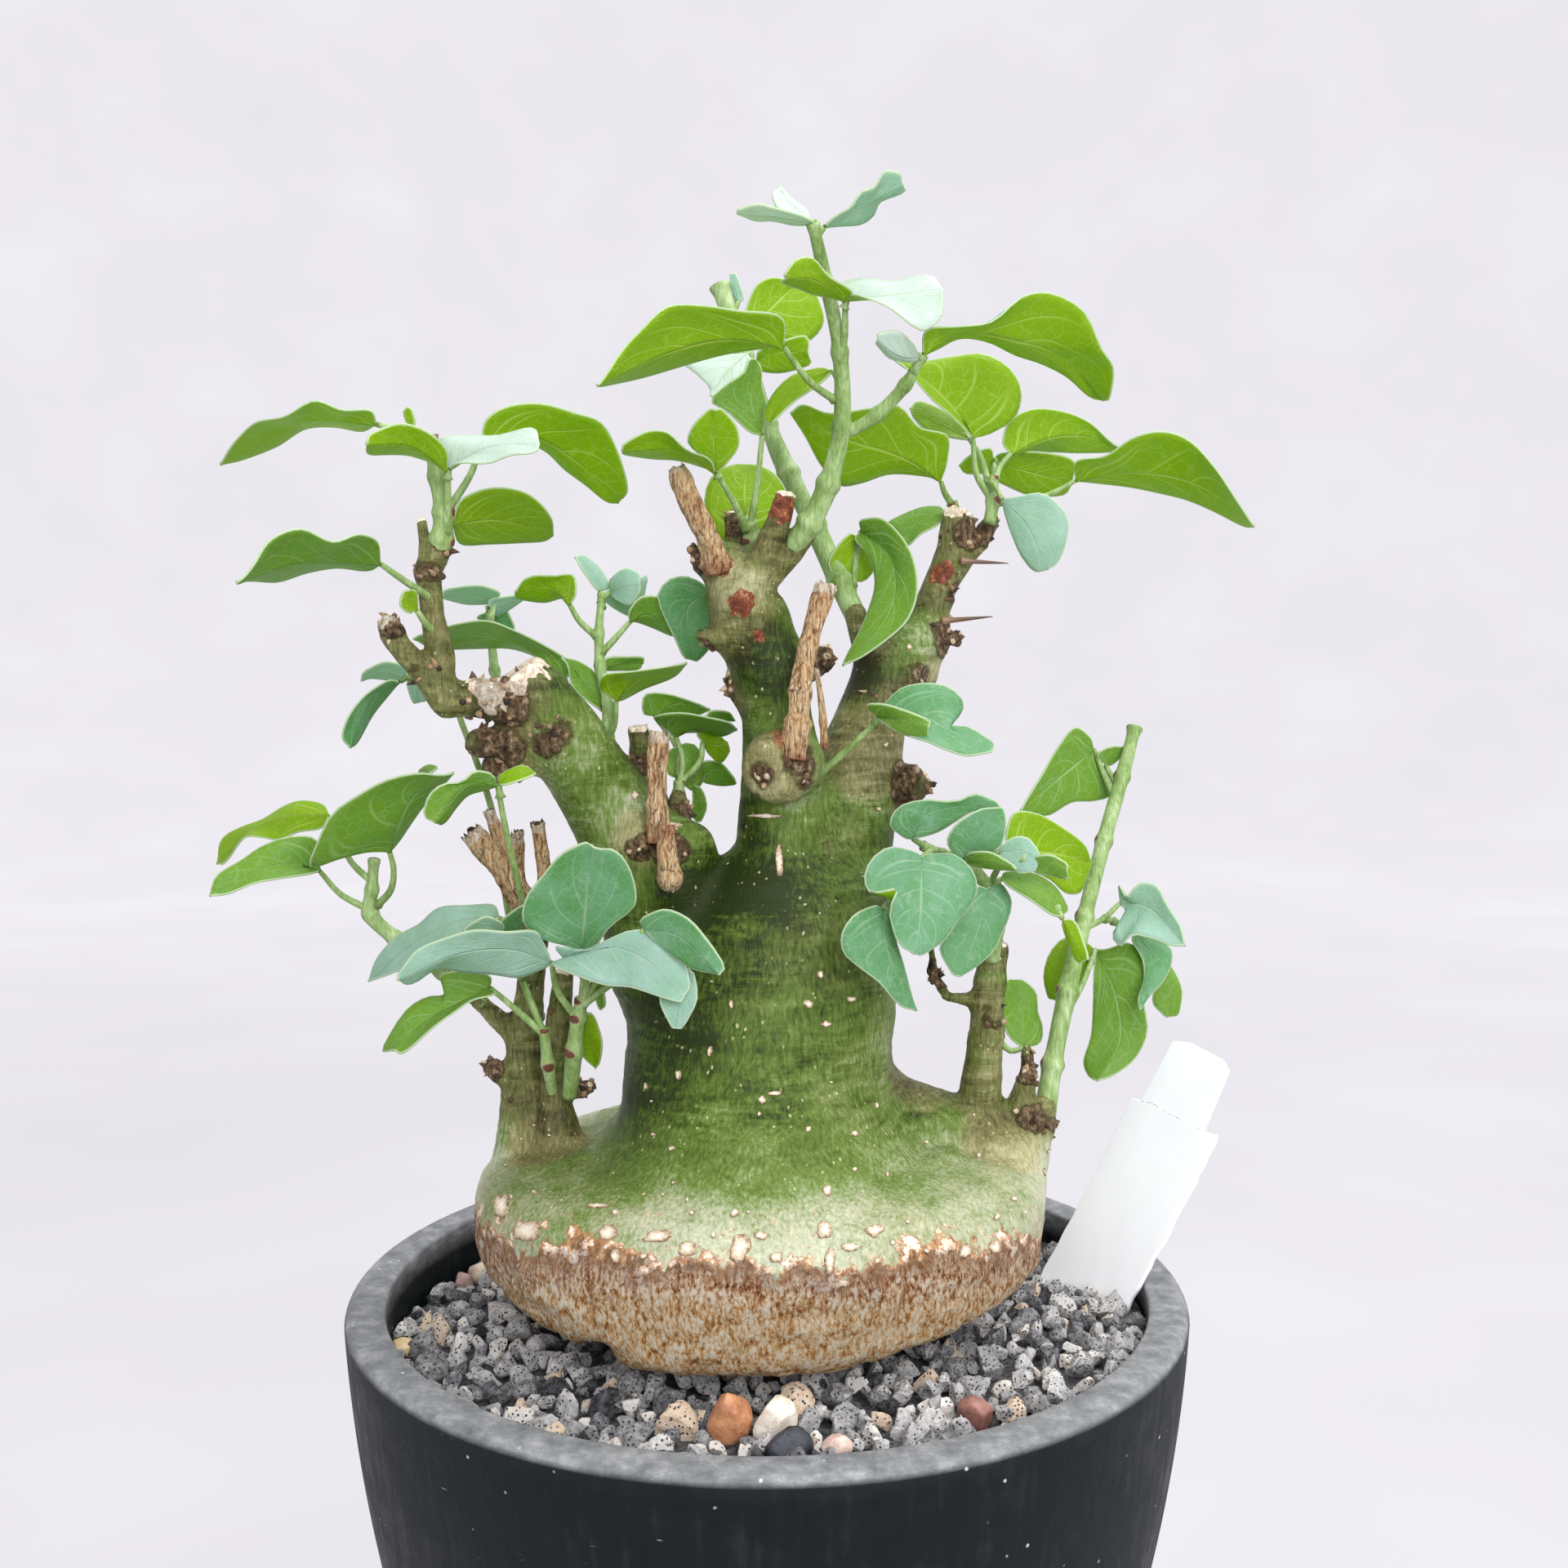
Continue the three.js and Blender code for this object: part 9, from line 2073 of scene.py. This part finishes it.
class ADENIA_OT_sprays(PieceOperator):
    """Grow the leafy shoots: stems, stalks and blades"""
    bl_idname = "adenia.sprays"
    bl_label = "Leafy shoots"

    def execute(self, context):
        growth = in_mm(context.scene.adenia_growth)
        materials = [blade_finish(growth), stem_finish()]
        for number, (name, spray) in enumerate(SPRAYS.items()):
            heap = Heap("tone", "margin", "scar")
            root = spray["stems"][0][0] if spray["stems"] else spray["leaves"][0]["stalk"][0]

            def bent(station):
                away = math.hypot(station[0] - root[0], station[1] - root[1])
                return [station[0], station[1], station[2] + spray["bow"] * away / 50, *station[3:]]

            for stem in spray["stems"]:
                self.add_stem(heap, [bent(station) for station in stem], number)
            for order, part in enumerate(spray["leaves"]):
                self.add_leaf(heap, part, bent, LEAF_SHADES[name][order], 100 * number + order, growth)
            settle(heap.build(name + "_grown", materials), "leaf", name)
        return {"FINISHED"}

    def add_stem(self, heap, stations, seed):
        """A stem with a slightly swollen scar at each station."""
        path, radii = stem_path(stations, 0.7)
        scar = np.zeros(len(path))
        for station in stations[1:]:
            away = np.linalg.norm(path - swept(station[:3]), axis=1)
            scar = np.maximum(scar, np.exp(-((away / 1.3) ** 2)))
        sides = 14
        radii = radii * (1 + 0.3 * scar + 0.08 * noise(path / 6, seed))
        points, faces = tube(path, radii, sides)
        facing = np.clip(np.cos(np.tile(around(sides), len(path)) - seed), 0, 1)
        heap.add(points, faces, 1, scar=np.repeat(scar, sides) * facing)

    def add_leaf(self, heap, part, bent, letter, seed, growth):
        """A blade of two shades with its round stalk."""
        points, faces, flat, margin, upper, lower = blade_form(part, bent, growth.blade_half, seed)
        if point_normals(points, faces).mean(axis=0) @ (EYE - points.mean(axis=0)) < 0:
            faces = [face[::-1] for face in faces]
        if letter in UNDERSIDE_SHADES:
            upper, lower = lower, upper
        shell_points, shell = thickened(points, faces, upper, lower)
        shown, behind = SHADE_VALUES[letter]
        tone = np.repeat([shown, behind], len(points))
        heap.add(shell_points, shell, 0, flat=np.vstack([flat, flat]), tone=tone, margin=np.tile(margin, 2))
        knots = swept([bent(station) for station in part["stalk"][:-1] + [part["rib"][0]]])
        reach = np.linalg.norm(np.diff(knots, axis=0), axis=1).sum()
        line = curve(knots, np.linspace(0, 1, max(int(reach / 1.1), 4)))
        radii = np.linspace(0.85, 0.55, len(line))
        radii[0] *= 1.35
        heap.add(*tube(line, radii, 8), 1)


# Label

def label_corner(point):
    """Where the sight line through [x, z] meets the label's flat."""
    a, b, c = sighted(LABEL_PLANE)
    normal = np.cross(b - a, c - a)
    away = sighted([point[0], point[1], 0.0]) - EYE
    return EYE + away * ((a - EYE) @ normal) / (away @ normal)


def ragged_outline(outline, step, amount):
    """An outline with points every step, each a little off its line."""
    found = []
    for a, b in zip(outline, outline[1:] + outline[:1]):
        a, b = np.array(a, float), np.array(b, float)
        count = max(int(np.linalg.norm(b - a) / step), 1)
        found += [a + (b - a) * k / count for k in range(count)]
    found = np.array(found)
    for axis in range(2):
        found[:, axis] += amount * noise(np.column_stack([found, 0 * found[:, 0]]) / 1.3, 40 + axis)
    return found


class ADENIA_OT_label(PieceOperator):
    """Cut the bare label and the clear tape sleeve around it"""
    bl_idname = "adenia.label"
    bl_label = "Label"

    def execute(self, context):
        label = in_mm(context.scene.adenia_label)
        finish = label_finish(label)
        half = label.half_thickness
        settle(self.plate("plant_label_sheet", LABEL_OUTLINE, half, finish), "label", "plant_label")
        sleeve = ragged_outline(TAPE_OUTLINE, 1.6, 0.3)
        settle(self.plate("plant_label_tape", sleeve, half + TAPE_THICKNESS, finish), "label")
        return {"FINISHED"}

    def plate(self, name, outline, half, finish):
        """A thin plate with softened edges from an outline sighted on the label's flat."""
        corners = np.array([label_corner(point) for point in outline])
        middle = corners.mean(axis=0)
        flat = unit(np.cross(corners - middle, np.roll(corners, -1, axis=0) - middle).sum(axis=0))
        form = bmesh.new()
        form.faces.new([form.verts.new(corner * MM) for corner in corners + flat * half])
        raised = bmesh.ops.extrude_face_region(form, geom=form.faces[:])
        moved = [item for item in raised["geom"] if isinstance(item, bmesh.types.BMVert)]
        bmesh.ops.translate(form, verts=moved, vec=Vector(flat * (-2 * half * MM)))
        bmesh.ops.recalc_face_normals(form, faces=form.faces[:])
        bmesh.ops.bevel(form, geom=form.edges[:], offset=LABEL_EDGE * MM, segments=2, affect="EDGES")
        bmesh.ops.triangulate(form, faces=form.faces[:])
        bmesh.ops.subdivide_edges(form, edges=form.edges[:], cuts=1)
        points = np.array([vertex.co for vertex in form.verts]) / MM
        faces = [[vertex.index for vertex in face.verts] for face in form.faces]
        form.free()
        buried = smooth_step(132, 124, points[:, 2])
        piece = mesh_object(name, points, faces, [finish], values={"buried": buried})
        piece.data.shade_flat()
        return piece


# Studio

class ADENIA_OT_studio(PieceOperator):
    """Set the pale floor and backdrop, the soft lights and the camera"""
    bl_idname = "adenia.studio"
    bl_label = "Studio"

    def execute(self, context):
        studio = in_mm(context.scene.adenia_studio)
        self.add_backdrop(studio)
        self.add_lights(context.scene, studio)
        self.add_camera(context.scene)
        return {"FINISHED"}

    def add_backdrop(self, studio):
        """A floor that curves up into a backdrop all round."""
        flat, bend, top, segments = 1900, 900, 3800, 128
        profile = [[flat * 0.5, 0], [flat, 0]]
        profile += [[flat + bend * math.sin(a), bend - bend * math.cos(a)]
                    for a in np.linspace(0.1, math.pi / 2, 12)]
        profile += [[flat + bend, top]]
        points = level_rings(profile, segments).reshape(-1, 3)
        faces = [face[::-1] for face in ring_faces(len(profile), segments, closed_ends=False)]
        faces.append(list(range(segments)))
        mesh_object("studio_floor", points, faces, [studio_finish(studio)])

    def add_lights(self, scene, studio):
        """A broad soft light overhead, a fill in front and even light all round."""
        world = bpy.data.worlds.new("studio_sky")
        world.use_nodes = True
        sky = world.node_tree.nodes["Background"]
        sky.inputs["Color"].default_value = SKY_LIGHT
        sky.inputs["Strength"].default_value = studio.sky
        scene.world = world
        places = {
            "overhead_light": ((0.35, 0.15, 1.35), 1.0, studio.key),
            "front_light": ((0.35, -1.15, 0.75), 0.9, studio.fill),
        }
        for name, (place, size, power) in places.items():
            lamp = bpy.data.lights.new(name, "AREA")
            lamp.energy = power
            lamp.size = size
            lamp.spread = math.radians(LAMP_SPREAD)
            light = bpy.data.objects.new(name, lamp)
            light.location = place
            light.rotation_euler = (LIGHT_AIM - light.location).to_track_quat("-Z", "Y").to_euler()
            scene.collection.objects.link(light)

    def add_camera(self, scene):
        """The photograph's view."""
        lens = bpy.data.cameras.new("photo_view")
        lens.sensor_width = 36
        lens.lens = LENS
        lens.clip_start = 0.01
        camera = bpy.data.objects.new("photo_view", lens)
        camera.location = EYE * MM
        camera.rotation_euler = (math.radians(90 - EYE_PITCH), 0, 0)
        scene.collection.objects.link(camera)
        scene.camera = camera
        scene.view_settings.view_transform = "Standard"


class ADENIA_PT_panel(bpy.types.Panel):
    """Lists the steps that build the plant and their settings"""
    bl_label = "Adenia"
    bl_space_type = "VIEW_3D"
    bl_region_type = "UI"
    bl_category = "Adenia"

    def draw(self, context):
        for step in STEPS:
            self.layout.operator(step.bl_idname)
        for name, group in GROUPS.items():
            box = self.layout.box()
            for key in group.__annotations__:
                box.prop(getattr(context.scene, name), key)


GROUPS = {
    "adenia_pot": AdeniaPot,
    "adenia_gravel": AdeniaGravel,
    "adenia_growth": AdeniaGrowth,
    "adenia_label": AdeniaLabel,
    "adenia_studio": AdeniaStudio,
}
STEPS = [
    ADENIA_OT_studio, ADENIA_OT_pot, ADENIA_OT_gravel, ADENIA_OT_pebbles, ADENIA_OT_caudex,
    ADENIA_OT_dry_stubs, ADENIA_OT_spines, ADENIA_OT_sprays, ADENIA_OT_label,
]


def register():
    """Registers the settings, the steps and the panel."""
    for name, group in GROUPS.items():
        bpy.utils.register_class(group)
        setattr(bpy.types.Scene, name, bpy.props.PointerProperty(type=group))
    for step in [*STEPS, ADENIA_PT_panel]:
        bpy.utils.register_class(step)


def unregister():
    """Takes them off again."""
    for step in [ADENIA_PT_panel, *reversed(STEPS)]:
        bpy.utils.unregister_class(step)
    for name, group in GROUPS.items():
        delattr(bpy.types.Scene, name)
        bpy.utils.unregister_class(group)


def main():
    """Builds every piece in order."""
    register()
    for step in STEPS:
        group, name = step.bl_idname.split(".")
        getattr(getattr(bpy.ops, group), name)()
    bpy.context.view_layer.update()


if __name__ == "__main__":
    main()
